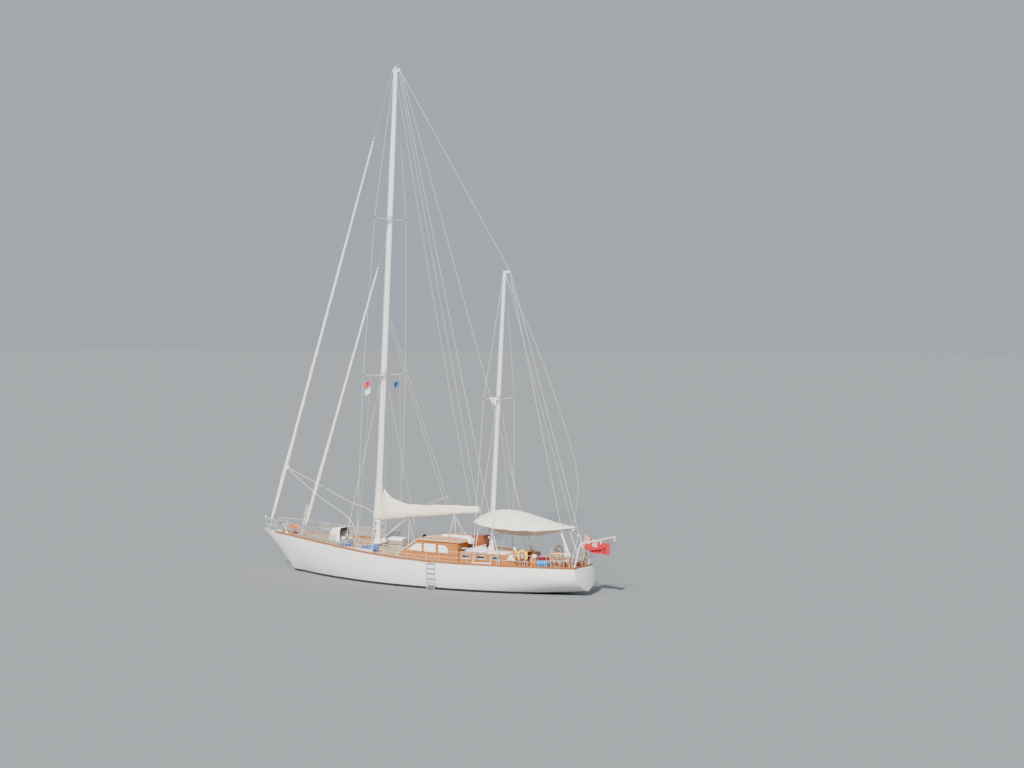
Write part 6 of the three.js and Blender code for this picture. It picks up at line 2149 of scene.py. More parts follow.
def lashed_coil(shape: Shape, centre: Point, size: float, axis: str = "y", turns: int = 5,
                radius: float = 0.008) -> None:
    """Adds a hank of rope hung up in round turns, with a lashing round its neck.

    Args:
        shape: the shape that it is added to.
        centre: the middle of its loops.
        size: half their height.
        axis: the axis that the loops turn round, x or y.
        turns: number of loops.
        radius: radius of the rope.
    """
    middle = Vector(centre)
    points = []
    for k in range(turns * 18 + 1):
        turn = math.tau * k / 18
        step = (k / 18 - turns / 2) * radius * 1.5
        across, up = math.sin(turn) * size * 0.42, math.cos(turn) * size * (1 + 0.06 * math.sin(k * 0.7))
        off = Vector((across, step, up)) if axis == "y" else Vector((step, across, up))
        points.append(tuple(middle + off))
    shape.tube(points, radius, 6)
    neck = middle + Vector((0, 0, size * 0.55))
    for k in range(3):
        ring = []
        for j in range(13):
            turn = math.tau * j / 12
            wide, deep = size * 0.34, turns * radius * 0.95
            a, b = math.cos(turn), math.sin(turn)
            level = 0.014 * (k - 1)
            off = Vector((a * wide, b * deep, level)) if axis == "y" else Vector((b * deep, a * wide, level))
            ring.append(tuple(neck + off))
        shape.tube(ring, radius, 6)


def flange(shape: Shape, foot: Point, up: Point = (0, 0, 1), size: float = 0.036) -> None:
    """Adds a round foot plate with its collar."""
    top = tuple(Vector(foot) + Vector(up))
    shape.turned(foot, top, [(-0.004, 0), (-0.004, size), (0.006, size), (0.009, size * 0.62), (0.035, size * 0.52),
                             (0.036, 0)], 16)


@dataclass
class BowGear:
    """Pulpit, stemhead fitting, windlass and chain, and the cloths by the pulpit."""

    rail: tuple[Point, ...] = ((8.05, 0.64, 2.68), (8.9, 0.47, 2.70), (9.7, 0.30, 2.71), (10.0, 0.13, 2.72),
                               (10.08, 0.0, 2.72))
    # x, foot's y and z, top's y
    legs: tuple[tuple[float, ...], ...] = ((8.06, 0.64, 1.93, 0.64), (8.95, 0.30, 1.97, 0.46),
                                           (9.60, 0.13, 2.02, 0.325))

    def build(self) -> None:
        """Makes every piece on the bow."""
        self.pulpit()
        self.stemhead()
        self.windlass()
        self.chain()
        self.cloths()

    def pulpit(self) -> None:
        """Bent rail, middle rail, legs and lamp."""
        shape = Shape()
        half = [Vector(p) for p in self.rail]
        around = [*half, *[Vector((p.x, -p.y, p.z)) for p in reversed(half[:-1])]]
        shape.tube(smooth_path(around, 7), 0.016, 14)
        lower = []
        for x, y, z, top in self.legs:
            lower.append((x, blended(y, top, 0.55), blended(z, 2.69, 0.52)))
        ring = [*lower, (9.93, 0.10, 2.42), *[(x, -y, z) for x, y, z in reversed([*lower, (9.93, 0.10, 2.42)])]]
        shape.tube(smooth_path(ring, 6), 0.011, 10)
        for side in Side:
            for x, y, z, top in self.legs:
                shape.rod((x, side.value * y, z - 0.04), (x, side.value * top, 2.694), 0.014, sides=14)
                flange(shape, (x, side.value * y, LINES.deck_z(x, y) + 0.004))
        shape.rod((9.98, 0.0, 2.06), (10.06, 0.0, 2.70), 0.012, sides=12)
        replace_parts(shape.made_into("pulpit_tubes", STEEL), "pulpit")
        lamp = Shape()
        lamp.block((10.02, -0.05, 2.735), (10.09, 0.05, 2.755), 0.005)
        lamp.turned((10.055, 0, 2.755), (10.055, 0, 3), [(0, 0), (0, 0.042), (0.05, 0.045), (0.065, 0.036), (0.07, 0)],
                    20)
        lamp.made_into("bow_lamp", WHITE_PLASTIC)

    def stemhead(self) -> None:
        """The plate over the stem with its cheeks, roller and pin."""
        shape = Shape()
        shape.plate([(9.50, -0.195, 2.0), (10.055, -0.060, 2.0), (10.055, 0.060, 2.0), (9.50, 0.195, 2.0)],
                    (0, 0, 0.088), 0.008)
        for y in (-0.062, 0.040):
            shape.plate([(9.76, y, 2.06), (10.09, y, 2.06), (10.115, y, 2.10), (10.105, y, 2.15), (10.02, y, 2.155),
                         (9.80, y, 2.10)],
                        (0, 0.022, 0), 0.004)
        shape.turned((10.08, -0.052, 2.112), (10.08, 1, 2.112), [
            (0, 0), (0, 0.040), (0.014, 0.040), (0.036, 0.022), (0.068, 0.022), (0.09, 0.040), (0.104, 0.040),
            (0.104, 0)], 22)
        shape.rod((10.08, -0.07, 2.112), (10.08, 0.07, 2.112), 0.009)
        shape.made_into("stemhead_fitting", STEEL)

    def windlass(self) -> None:
        """Cast windlass on its wooden pad, with a rope drum and a chain wheel."""
        deck = LINES.deck_z(7.98, 0.1)
        pad = Shape().block((7.78, -0.17, deck - 0.02), (8.18, 0.17, 2.06), 0.012)
        pad.made_into("windlass_pad", VARNISH)
        shape = Shape()
        shape.block((7.84, -0.12, 2.055), (8.14, 0.12, 2.17), 0.03, 4)
        shape.turned((7.99, 0, 2.13), (7.99, 1, 2.13), [(-0.13, 0), (-0.13, 0.09), (0.13, 0.09), (0.13, 0)], 30)
        for sign in (1, -1):
            shape.turned((7.99, sign * 0.14, 2.13), (7.99, sign, 2.13), [
                (0, 0), (0, 0.085), (0.015, 0.085), (0.03, 0.055), (0.10, 0.052), (0.128, 0.078), (0.145, 0.080),
                (0.15, 0.04), (0.156, 0)], 28)
        shape.rod((7.99, 0.0, 2.16), (7.99, 0.0, 2.205), 0.03)
        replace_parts(shape.made_into("windlass_casting", GALVANISED), "windlass")

    def chain(self) -> None:
        """Anchor chain from the windlass forward over the deck to the roller."""
        shape = Shape()
        path = smooth_path([(8.06, -0.20, 2.18), (8.25, -0.17, 2.10), (8.7, -0.10, 2.035), (9.2, -0.05, 2.055),
                            (9.6, -0.01, 2.105), (9.95, 0.0, 2.125), (10.08, 0.0, 2.165)], 9)
        total = length_of(path)
        count = int(total / 0.042)
        marks = [self.along(path, total * (k + 0.5) / count) for k in range(count)]
        for k, (at, way) in enumerate(marks):
            side = way.cross(Vector((0, 0, 1))).normalized()
            flat = side if k % 2 else side.cross(way).normalized()
            ring = [tuple(at + way * 0.028 * math.cos(t) + flat * 0.015 * math.sin(t)) for t in round_turn(10)]
            shape.tube(ring, 0.0055, 5)
        shape.block((9.28, -0.09, 2.02), (9.36, 0.05, 2.05), 0.006)
        shape.made_into("anchor_chain", GALVANISED)

    @staticmethod
    def along(path: Sequence[Vector], distance: float) -> tuple[Vector, Vector]:
        """A point at a distance along a line, and the line's direction there."""
        gone = 0.0
        for a, b in zip(path, path[1:]):
            step = (b - a).length
            if gone + step >= distance:
                return a.lerp(b, (distance - gone) / step), (b - a).normalized()
            gone += step
        return path[-1], (path[-1] - path[-2]).normalized()

    def cloths(self) -> None:
        """An orange cloth over the pulpit's middle rail and a white bag hung by the inner stay."""

        def drape(u: float, v: float) -> Point:
            x = blended(7.14, 7.92, u)
            fold = abs(2 * v - 1)
            rail_y = blended(0.735, 0.595, u)
            hang = (0.27 - 0.22 * u ** 1.4 + 0.025 * math.sin(u * 9)) * fold
            out = (0.016 + 0.05 * fold * abs(math.sin(u * 8 + v * 2))) * (1 if v < 0.5 else -1)
            return x, rail_y + out, 2.525 + 0.02 * (1 - fold) - hang

        made = thickened(spread_grid(36, 28, drape, (0.72, 0.5)), 0.003)
        cloth = Shape().take(made).made_into("orange_drape", ORANGE_CLOTH, sharp=70)
        along = [(8.68, 0.45, 2.515), (8.35, 0.52, 2.52), (7.6, 0.65, 2.525), (7.05, 0.80, 2.53)]
        rail = Shape().tube(along, 0.013, 12)
        rail.tube(smooth_path([(8.44, 0.50, 2.512), (8.30, 0.54, 2.30), (8.12, 0.585, 2.02)], 4), 0.015, 12)
        rail.made_into("port_hand_rail", STEEL)
        Shape().ball((8.70, 0.447, 2.515), 0.045, (1.3, 1, 1)).made_into("hand_rail_knob", BLACK_RUBBER)
        bag = soft_block((7.04, 0.42, 1.96), (7.26, 0.62, 2.30), 0.08, 3.0, 0.02)
        soft_from_cloth("white_stay_bag", bag, WHITE_CLOTH)
        ropes = Shape()
        for x, y, z, size in ((7.36, 0.09, 2.68, 0.16), (7.24, 0.10, 3.05, 0.20), (7.16, 0.09, 3.42, 0.15)):
            lashed_coil(ropes, (x, y, z), size, "y", 5, 0.009)
        ropes.made_into("staysail_sheet_hanks", WHITE_ROPE)


@dataclass
class GuardRails:
    """Stanchions and lifelines, the net at the bow, the pushpit and what hangs on them."""

    posts: tuple[float, ...] = (7.05, 5.50, 3.90, 2.60, 0.60, -0.90, -2.00, -2.74, -4.30, -5.90, -7.30, -8.38)
    inset: float = 0.092
    high: float = 0.598
    low: float = 0.305

    def foot(self, x: float, side: Side, up: float = 0.0) -> Vector:
        """A point in the plane of the lifelines, up above the deck's edge."""
        return Vector((x, side.value * (LINES.half(x) - self.inset), LINES.edge_z(x) + up))

    def build(self) -> None:
        """Makes every piece of the guard rails."""
        for side in Side:
            self.lines(side)
            self.net(side)
        self.pushpit()
        self.hung_things()

    def lines(self, side: Side) -> None:
        """Stanchions with their feet and caps, and both lifelines."""
        shape = Shape()
        for x in self.posts:
            base, top = self.foot(x, side), self.foot(x, side, 0.610)
            shape.turned(tuple(base), tuple(top), [
                (0, 0), (0, 0.034), (0.010, 0.034), (0.014, 0.021), (0.085, 0.019), (0.088, 0.0135), (0.592, 0.012),
                (0.602, 0.015), (0.612, 0.012), (0.616, 0)], 14)
        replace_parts(shape.made_into(f"stanchions_{side.word}", STEEL), f"lifelines_{side.word}")
        wires = Shape()
        for up, bow_z, stern_z in ((self.high, 2.67, 2.10), (self.low, 2.33, 1.76)):
            line = [(8.06, side.value * 0.64, bow_z), *[tuple(self.foot(x, side, up)) for x in self.posts],
                    (-8.56, side.value * 1.165, stern_z)]
            fine = [Vector(a).lerp(Vector(b), k / 4) - Vector((0, 0, 0.010 * math.sin(math.pi * k / 4)))
                    for a, b in zip(line, line[1:]) for k in range(4)]
            wires.tube([*fine, line[-1]], 0.005, 6)
        wires.made_into(f"lifeline_wires_{side.word}", WHITE_PLASTIC)
        screws = Shape()
        for x in (6.9, -8.2):
            for up in (self.high, self.low):
                a, b = self.foot(x, side, up), self.foot(x - 0.25, side, up)
                screws.turned(tuple(a), tuple(b), [(0, 0), (0, 0.009), (0.05, 0.012), (0.14, 0.012), (0.19, 0.007),
                                                   (0.19, 0)], 10)
        screws.made_into(f"lifeline_screws_{side.word}", STEEL)

    def net(self, side: Side) -> None:
        """The laced net between the lifeline and the rail, from the bow posts to the jugs."""
        shape = Shape()
        start, end = 7.05, 3.9 if side is Side.PORT else 2.6
        pitch, tall = 0.036, 0.50
        count = int((start - end) / pitch)
        for k in range(-9, count + 1):
            for lean in (1, -1):
                a_x = start - k * pitch
                low_x, high_x = (a_x, a_x - tall * 0.9) if lean > 0 else (a_x - tall * 0.9, a_x)
                t0 = self.inside(low_x, high_x, start, end)
                if not t0:
                    continue
                a_share, b_share = t0
                a = self.foot(blended(low_x, high_x, a_share), side, 0.10 + tall * a_share - 0.004)
                b = self.foot(blended(low_x, high_x, b_share), side, 0.10 + tall * b_share - 0.004)
                shape.rod(tuple(a), tuple(b), 0.0045, sides=3)
        for up in (0.10, 0.592):
            shape.tube([tuple(self.foot(blended(start, end, k / 12), side, up)) for k in range(13)], 0.006, 6)
        shape.made_into(f"bow_net_{side.word}", NET_CORD)

    @staticmethod
    def inside(low_x: float, high_x: float, start: float, end: float) -> tuple[float, float] | None:
        """The part of a slanting cord that lies between the net's two ends, as shares of it."""
        shares = [0.0, 1.0]
        for limit in (start, end):
            t = (limit - low_x) / (high_x - low_x)
            if 0 < t < 1:
                shares.append(t)
        kept = sorted(t for t in shares if end - 1e-6 <= blended(low_x, high_x, t) <= start + 1e-6)
        return (kept[0], kept[-1]) if len(kept) > 1 and kept[-1] - kept[0] > 0.02 else None

    def pushpit(self) -> None:
        """The stern rail with its legs."""
        shape = Shape()
        for z, radius in ((2.11, 0.016), (1.76, 0.011)):
            half = [(-8.56, 1.165, z), (-9.2, 0.975, z), (-9.52, 0.79, z), (-9.6, 0.60, z)]
            around = [*half, (-9.6, 0.2, z), (-9.6, -0.2, z), *[(x, -y, zz) for x, y, zz in reversed(half)]]
            shape.tube(smooth_path(around, 6), radius, 12)
        for side in Side:
            for x, y in ((-8.56, 1.165), (-9.2, 0.975), (-9.54, 0.76)):
                deck = LINES.deck_z(x, y)
                shape.rod((x, side.value * y, deck), (x, side.value * y, 2.11), 0.014, sides=14)
                flange(shape, (x, side.value * y, deck + 0.004))
        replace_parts(shape.made_into("pushpit_tubes", STEEL), "pushpit")

    def hung_things(self) -> None:
        """Fenders on the starboard lines, rope hanks on the pushpit, and the small things by the stern."""
        for name, x, finish, low in (("black_fender", 1.05, BLACK_RUBBER, 0.10),
                                     ("navy_fender", 0.05, BLUE_CLOTH, 0.06)):
            at = self.foot(x, Side.STARBOARD)
            shape = Shape().turned((at.x, at.y + 0.11, at.z + low), (at.x, at.y + 0.11, at.z + 2), [
                (0, 0), (0.004, 0.03), (0.03, 0.09), (0.09, 0.118), (0.42, 0.118), (0.49, 0.09), (0.52, 0.035),
                (0.56, 0.028), (0.56, 0)], 24)
            shape.made_into(name, finish)
            ends = [(at.x, at.y + 0.11, at.z + low + 0.55), self.foot(x, Side.STARBOARD, self.high)]
            Shape().tube(ends, 0.006, 6).made_into(f"{name}_lanyard", WHITE_ROPE)
        hanks = Shape()
        for x, y, z, size, axis in ((-8.78, 1.115, 1.90, 0.20, "y"), (-9.03, 1.045, 1.86, 0.23, "y"),
                                    (-9.37, 0.90, 1.88, 0.21, "y"), (-9.615, 0.42, 1.90, 0.20, "x"),
                                    (-9.615, -0.40, 1.88, 0.22, "x"), (-9.2, -0.99, 1.88, 0.2, "y"),
                                    (-8.80, -1.10, 1.90, 0.19, "y")):
            lashed_coil(hanks, (x, y, z), size, axis, 6, 0.010)
        hanks.made_into("pushpit_rope_hanks", ROPE)
        box = Shape().block((-9.02, 0.74, 1.84), (-8.70, 0.98, 2.12), 0.03, 3)
        box.block((-9.03, 0.73, 2.10), (-8.69, 0.99, 2.14), 0.012)
        box.made_into("orange_float_box", ORANGE_PLASTIC)
        stand = Shape()
        for x in (-8.98, -8.74):
            for y in (0.77, 0.95):
                stand.rod((x, y, LINES.deck_z(x, y)), (x, y, 1.85), 0.011)
        stand.made_into("float_box_stand", STEEL)
        pole = Shape().rod((-9.545, 0.78, 1.72), (-9.86, 0.76, 2.98), 0.010)
        pole.ball((-9.87, 0.76, 3.02), 0.06, (1, 1, 0.8))
        pole.made_into("aerial", WHITE_PLASTIC)
        locker = Shape().block((-9.50, -0.55, 1.36), (-9.12, 0.55, 1.62), 0.015)
        locker.block((-9.515, -0.57, 1.62), (-9.105, 0.57, 1.645), 0.008)
        locker.made_into("lazarette_locker", VARNISH_ATHWART)


@dataclass
class SternGear:
    """Davits, ensign and its staff, boarding ladder and lifebuoy."""

    # hoist to fly: x, low edge, high edge
    flag: tuple[tuple[float, ...], ...] = ((-11.20, 2.095, 2.672), (-10.9, 2.080, 2.655), (-10.46, 2.110, 2.700),
                                           (-10.1, 2.205, 2.86), (-9.822, 2.270, 2.985))

    ladder_x: tuple[float, float] = (-2.14, -2.60)
    ladder_z: tuple[float, ...] = (1.33, 1.085, 0.84, 0.595, 0.35, 0.105)
    buoy_at: Point = (-7.10, 1.37, 1.915)
    rack_x: tuple[float, float] = (-7.29, -6.91)

    def build(self) -> None:
        """Makes every piece of the stern gear."""
        for side in Side:
            self.davit(side)
        self.staff()
        self.ensign()
        self.ladder()
        self.lifebuoy()

    def davit(self, side: Side) -> None:
        """One davit with its strut, foot, block and falls."""
        y = side.value * 0.69
        shape = Shape()
        line = smooth_path([(-9.65, y, 1.49), (-9.78, y, 2.06), (-9.93, y, 2.53), (-10.06, y, 2.64), (-10.4, y, 2.72),
                            (-11.15, y, 2.90)], 6)
        shape.tube(line, 0.027, 18)
        shape.rod((-10.33, y, 2.703), (-10.86, y, 2.83), 0.038, 0.034, 18)
        shape.rod((-11.13, y, 2.895), (-11.168, y, 2.904), 0.031, sides=18)
        shape.block((-9.70, y - 0.06, 1.474), (-9.615, y + 0.06, 1.53), 0.008)
        shape.rod((-9.70, y, 1.60), (-9.86, y, 2.28), 0.012)
        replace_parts(shape.made_into(f"davit_{side.word}_tube", MAST_PAINT), f"davit_{side.word}")
        falls, blocks = Shape(), Shape()
        head = Vector((-11.08, y, 2.86))
        blocks.take(MainBoom.pulley(head - Vector((0, 0, 0.07)), 0.035))
        blocks.ball((-11.08, y, 2.70), 0.045, (1, 0.7, 1))
        blocks.take(MainBoom.pulley(Vector((-10.0, y, 2.52)), 0.032))
        falls.tube([(-11.08, y, 2.80), (-11.08, y, 2.72)], 0.006, 6)
        falls.tube([(-11.06, y, 2.86), (-10.4, y, 2.677), (-10.03, y, 2.56)], 0.006, 6)
        falls.tube([(-9.99, y + 0.01, 2.50), (-9.80, y + 0.034, 1.95)], 0.006, 6)
        lashed_coil(falls, (-9.80, y + side.value * 0.04, 1.86), 0.12, "y", 4, 0.007)
        blocks.made_into(f"davit_{side.word}_blocks", WHITE_PLASTIC)
        falls.made_into(f"davit_{side.word}_falls", WHITE_ROPE)

    def staff(self) -> None:
        """The varnished staff with its truck, halyard and shoe."""
        shape = Shape().turned((-9.668, 0, 1.50), (-9.80, 0, 3.06), [
            (0, 0), (0, 0.020), (0.10, 0.020), (0.11, 0.017), (1.50, 0.012), (1.51, 0.012), (1.525, 0.026),
            (1.545, 0.028), (1.56, 0.014), (1.565, 0)], 16)
        shape.block((-9.705, -0.045, 1.474), (-9.632, 0.045, 1.56), 0.008)
        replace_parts(shape.made_into("flagstaff_turned", VARNISH_UPRIGHT), "flagstaff")
        halyard = [(-9.812, 0.0, 3.01), (-9.845, 0.0, 2.70), (-9.79, 0.0, 2.37), (-9.70, 0.0, 1.72)]
        Shape().tube(halyard, 0.003, 6).made_into("ensign_halyard", WHITE_ROPE)

    def ensign(self) -> None:
        """The red ensign with its crossed canton, blown aft in folds."""

        def place(u: float, v: float) -> Point:
            x = blended(-9.826, -11.20, u)
            low, high = (from_table(self.flag, x, k) for k in (1, 2))
            swell = eased(min(u * 2.2, 1.0))
            ripple = 0.055 * math.sin(u * 8.2 + v * 0.9) + 0.022 * math.sin(u * 15 + 1.0 - v * 1.6)
            sag = 0.016 * math.sin(u * 11 + v * 2.6) * swell
            shrink = 0.02 * math.sin(u * 8.2) * swell
            return x - shrink - 0.10 * (v - 0.9) * (1 - u), ripple * swell, blended(low, high, v) + sag

        made = spread_grid(110, 48, place)
        flag = Shape().take(thickened(made, 0.0016)).made_into("ensign_cloth", ENSIGN, sharp=180)
        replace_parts(flag, "ensign")
        tape = Shape()
        for k in range(24):
            a, b = Vector(place(0.003, k / 24)), Vector(place(0.003, (k + 1) / 24))
            tape.tube([tuple(a), tuple(b)], 0.006, 6)
        tape.made_into("ensign_heading", WHITE_CLOTH)

    def ladder(self) -> None:
        """The ladder hooked over the port rail: bent rails, steps and feet."""
        rails = Shape()
        for x in self.ladder_x:
            line = smooth_path([(x, 2.375, 0.03), (x, 2.380, 0.8), (x, 2.386, 1.45), (x, 2.372, 1.545),
                                (x, 2.31, 1.556), (x, 2.272, 1.50)], 6)
            rails.tube(line, 0.016, 14)
            rails.ball((x, 2.375, 0.03), 0.021, (1, 1, 1.2))
        for z in self.ladder_z:
            rails.rod((self.ladder_x[0], 2.377, z), (self.ladder_x[1], 2.377, z), 0.013, sides=12)
        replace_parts(rails.made_into("ladder_tubes", STEEL), "boarding_ladder")
        steps = Shape()
        for z in self.ladder_z:
            steps.block((-2.585, 2.345, z + 0.008), (-2.155, 2.41, z + 0.024), 0.005)
        steps.made_into("ladder_treads", GREY_PAINT)
        lashings = Shape()
        for x in self.ladder_x:
            for k in range(3):
                lashings.tube([(x + 0.024 * math.cos(t), 2.36 + 0.05 * math.sin(t), 1.50 + 0.014 * k)
                               for t in round_turn(12)], 0.006, 6)
        lashings.made_into("ladder_lashings", ROPE)

    def lifebuoy(self) -> None:
        """The yellow horseshoe buoy with its straps, its rack and its lamp."""
        middle = Vector(self.buoy_at)
        arc = [math.radians(210 - 240 * k / 18) for k in range(19)]
        path = [middle + Vector((0.235 * math.cos(t), 0, 0.24 * math.sin(t))) for t in arc]
        first, last = path[0] + Vector((0.045, 0, -0.13)), path[-1] + Vector((-0.045, 0, -0.13))
        line = smooth_path((first, *path, last), 3)
        count = len(line)
        ends = [min(k, count - 1 - k) for k in range(count)]
        sizes = [0.077 * min(1.0, math.sqrt(max(0.02, e / 3.2))) * (1 - 0.035 * (1 if k % 9 == 4 else 0))
                 for k, e in enumerate(ends)]
        made = Shape().tube(line, sizes, 20).bm
        for vert in made.verts:
            vert.co.y = middle.y + (vert.co.y - middle.y) * 0.86
        buoy = Shape().take(made).made_into("lifebuoy_cover", BUOY_COVER, sharp=80)
        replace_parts(buoy, "lifebuoy")
        straps = Shape()
        for degrees in (200, 145, 90, 35, -20):
            t = math.radians(degrees)
            at = middle + Vector((0.235 * math.cos(t), 0, 0.24 * math.sin(t)))
            out = Vector((math.cos(t), 0, math.sin(t)))
            ring = [at + out * 0.0775 * math.cos(a) + Vector((0, 0.068 * math.sin(a), 0)) for a in round_turn(24)]
            straps.tube(ring, 0.008, 6)
        straps.made_into("lifebuoy_bands", WHITE_CLOTH)
        rack = Shape()
        for x in self.rack_x:
            rack.tube([(x, 1.30, 1.62), (x, 1.27, 1.70), (x, 1.27, 2.02)], 0.008, 8)
            rack.tube([(x, 1.30, 1.62), (x, 1.46, 1.62), (x, 1.47, 1.66)], 0.008, 8)
        rack.tube([(-7.29, 1.27, 2.02), (-6.91, 1.27, 2.02)], 0.008, 8)
        for x in self.rack_x:
            rack.rod((x, 1.27, LINES.deck_z(x, 1.27)), (x, 1.27, 1.72), 0.010)
        rack.made_into("lifebuoy_rack", STEEL)
        x, y, _ = self.buoy_at
        lamp = Shape().turned((x, y, 1.80), (x, y, 3), [
            (0, 0), (0, 0.045), (0.02, 0.055), (0.16, 0.055), (0.18, 0.03), (0.185, 0)], 20)
        lamp.made_into("lifebuoy_lamp", WHITE_PLASTIC)
        base = Shape().turned((x, y, 1.66), (x, y, 3), [
            (0, 0), (0, 0.04), (0.02, 0.062), (0.14, 0.062), (0.142, 0)], 20)
        base.made_into("lifebuoy_lamp_base", RED_PLASTIC)
        post = Shape().rod((x, y, LINES.deck_z(x, y)), (x, y, 1.67), 0.012)
        post.made_into("lifebuoy_lamp_post", STEEL)


@dataclass
class Cockpit:
    """Coaming caps, benches, sole, wheel, binnacle and winches."""

    centre: Point = (-8.33, 0.0, 1.93)
    radius: float = 0.43

    def build(self) -> None:
        """Makes every piece of the cockpit."""
        dress("cockpit_coaming", VARNISH)
        self.trim()
        self.benches()
        self.wheel()
        self.binnacle()
        for side in Side:
            self.winches(side)

    def trim(self) -> None:
        """Cap rail round the coaming, and the planked sole."""
        caps = Shape()
        for y in (-0.75, 0.75):
            caps.block((-9.02, y - 0.045, 1.655), (-6.84, y + 0.045, 1.682), 0.01)
        caps.block((-9.025, -0.79, 1.656), (-8.935, 0.79, 1.683), 0.01)
        caps.made_into("coaming_caps", RAIL_VARNISH)
        sole = Shape()
        for k in range(15):
            y = -0.705 + 0.0945 * k
            sole.block((-8.93, y, 0.852), (-6.93, y + 0.088, 0.876), 0.003)
        sole.made_into("cockpit_sole", ROOF_TEAK)

    def benches(self) -> None:
        """A slatted bench along each side of the cockpit, with its varnished front."""
        slats, fronts = Shape(), Shape()
        for side in Side:
            for k in range(5):
                y = side.value * (0.36 + 0.074 * k)
                slats.block((-8.02, y, 1.235), (-6.94, y + side.value * 0.064, 1.262), 0.006)
            y = side.value * 0.375
            fronts.block((-8.0, y, 0.876), (-6.94, y + side.value * 0.024, 1.234), 0.004)
            fronts.block((-8.0, y, 0.876), (-7.976, side.value * 0.715, 1.234), 0.004)
        slats.made_into("bench_slats", ROOF_TEAK)
        fronts.made_into("bench_fronts", VARNISH)

    def wheel(self) -> None:
        """The brown wooden wheel: rim in segments, turned spokes and a bronze hub."""
        centre = Vector(self.centre)
        shape = Shape()

        def rim(u: float, v: float) -> Vector:
            a, t = math.tau * v, math.tau * u
            out = self.radius + 0.028 * math.cos(t) * (1 - 0.15 * math.cos(t))
            return centre + Vector((0.015 * math.sin(t), out * math.cos(a), out * math.sin(a)))

        made = spread_grid(14, 96, rim, (0.1, 2.7))
        bmesh.ops.remove_doubles(made, verts=list(made.verts), dist=1e-6)
        bmesh.ops.recalc_face_normals(made, faces=list(made.faces))
        shape.take(made)
        for k in range(12):
            angle = (k + 0.5) * math.pi / 6
            way = Vector((0, math.cos(angle), math.sin(angle)))
            shape.turned(tuple(centre + way * 0.03), tuple(centre + way), [
                (0, 0), (0, 0.017), (0.06, 0.017), (0.08, 0.011), (0.12, 0.017), (0.19, 0.014), (0.25, 0.018),
                (0.27, 0.010), (0.30, 0.013), (0.385, 0.012), (0.385, 0)], 14)
        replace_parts(shape.made_into("wheel_wood", WHEEL_WOOD, "wheel"), "steering_wheel")
        hub = Shape().turned((-8.366, 0, 1.93), (-8.0, 0, 1.93), [
            (0, 0), (0.004, 0.03), (0.012, 0.045), (0.02, 0.052), (0.05, 0.052), (0.055, 0.04), (0.084, 0.03),
            (0.084, 0)], 26)
        hub.made_into("wheel_hub", BRONZE, "wheel")

    def binnacle(self) -> None:
        """The varnished pedestal, its compass dome, guard rail and engine lever."""
        shape = Shape()
        shape.block((-8.25, -0.09, 0.876), (-8.09, 0.09, 1.84), 0.015)
        shape.plate([(-8.272, -0.14, 1.80), (-8.06, -0.14, 1.80), (-8.06, -0.14, 2.01), (-8.18, -0.14, 2.06),
                     (-8.272, -0.14, 2.01)],
                    (0, 0.28, 0), 0.014)
        shape.block((-8.27, -0.12, 0.876), (-8.07, 0.12, 0.93), 0.012)
        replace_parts(shape.made_into("pedestal_wood", VARNISH_UPRIGHT), "steering_pedestal")
        ring = Shape().turned((-8.165, 0, 2.04), (-8.165, 0, 3),
                              [(0, 0), (0, 0.095), (0.012, 0.098), (0.028, 0.088), (0.03, 0.08)], 30)
        ring.made_into("compass_ring", BRONZE)
        dome = Shape().ball((-8.165, 0, 2.055), 0.082, (1, 1, 0.75))
        dome.made_into("compass_dome", GLASS)
        guard = Shape().tube(smooth_path([(-8.05, 0.13, 1.86), (-8.02, 0.13, 2.05), (-8.02, 0.09, 2.19),
                                          (-8.02, 0.0, 2.22), (-8.02, -0.09, 2.19), (-8.02, -0.13, 2.05),
                                          (-8.05, -0.13, 1.86)], 5), 0.011, 10)
        guard.made_into("binnacle_guard", STEEL)
        lever = Shape().rod((-8.16, -0.145, 1.90), (-8.22, -0.165, 2.05), 0.007)
        lever.ball((-8.22, -0.165, 2.055), 0.018)
        lever.made_into("engine_lever", BRONZE)

    def winches(self, side: Side) -> None:
        """Two sheet winches on wooden bases beside the coaming."""
        bases, drums = Shape(), Shape()
        for x, size in ((-7.35, 1.0), (-8.62, 0.85)):
            y = side.value * (0.90 if x > -8 else 0.87)
            deck = LINES.deck_z(x, abs(y))
            bases.turned((x, y, deck - 0.01), (x, y, 3), [(0, 0), (0, 0.115 * size), (0.03, 0.105 * size),
                                                          (0.24, 0.095 * size), (0.262, 0.10 * size), (0.262, 0)], 28)
            drums.turned((x, y, deck + 0.25), (x, y, 3), [
                (0, 0), (0, 0.095 * size), (0.018, 0.095 * size), (0.03, 0.07 * size), (0.10, 0.058 * size),
                (0.125, 0.072 * size), (0.145, 0.078 * size), (0.155, 0.05 * size), (0.162, 0.024 * size), (0.162, 0)],
                32)
        bases.made_into(f"winch_bases_{side.word}", VARNISH_UPRIGHT)
        drums.made_into(f"winch_drums_{side.word}", STEEL)


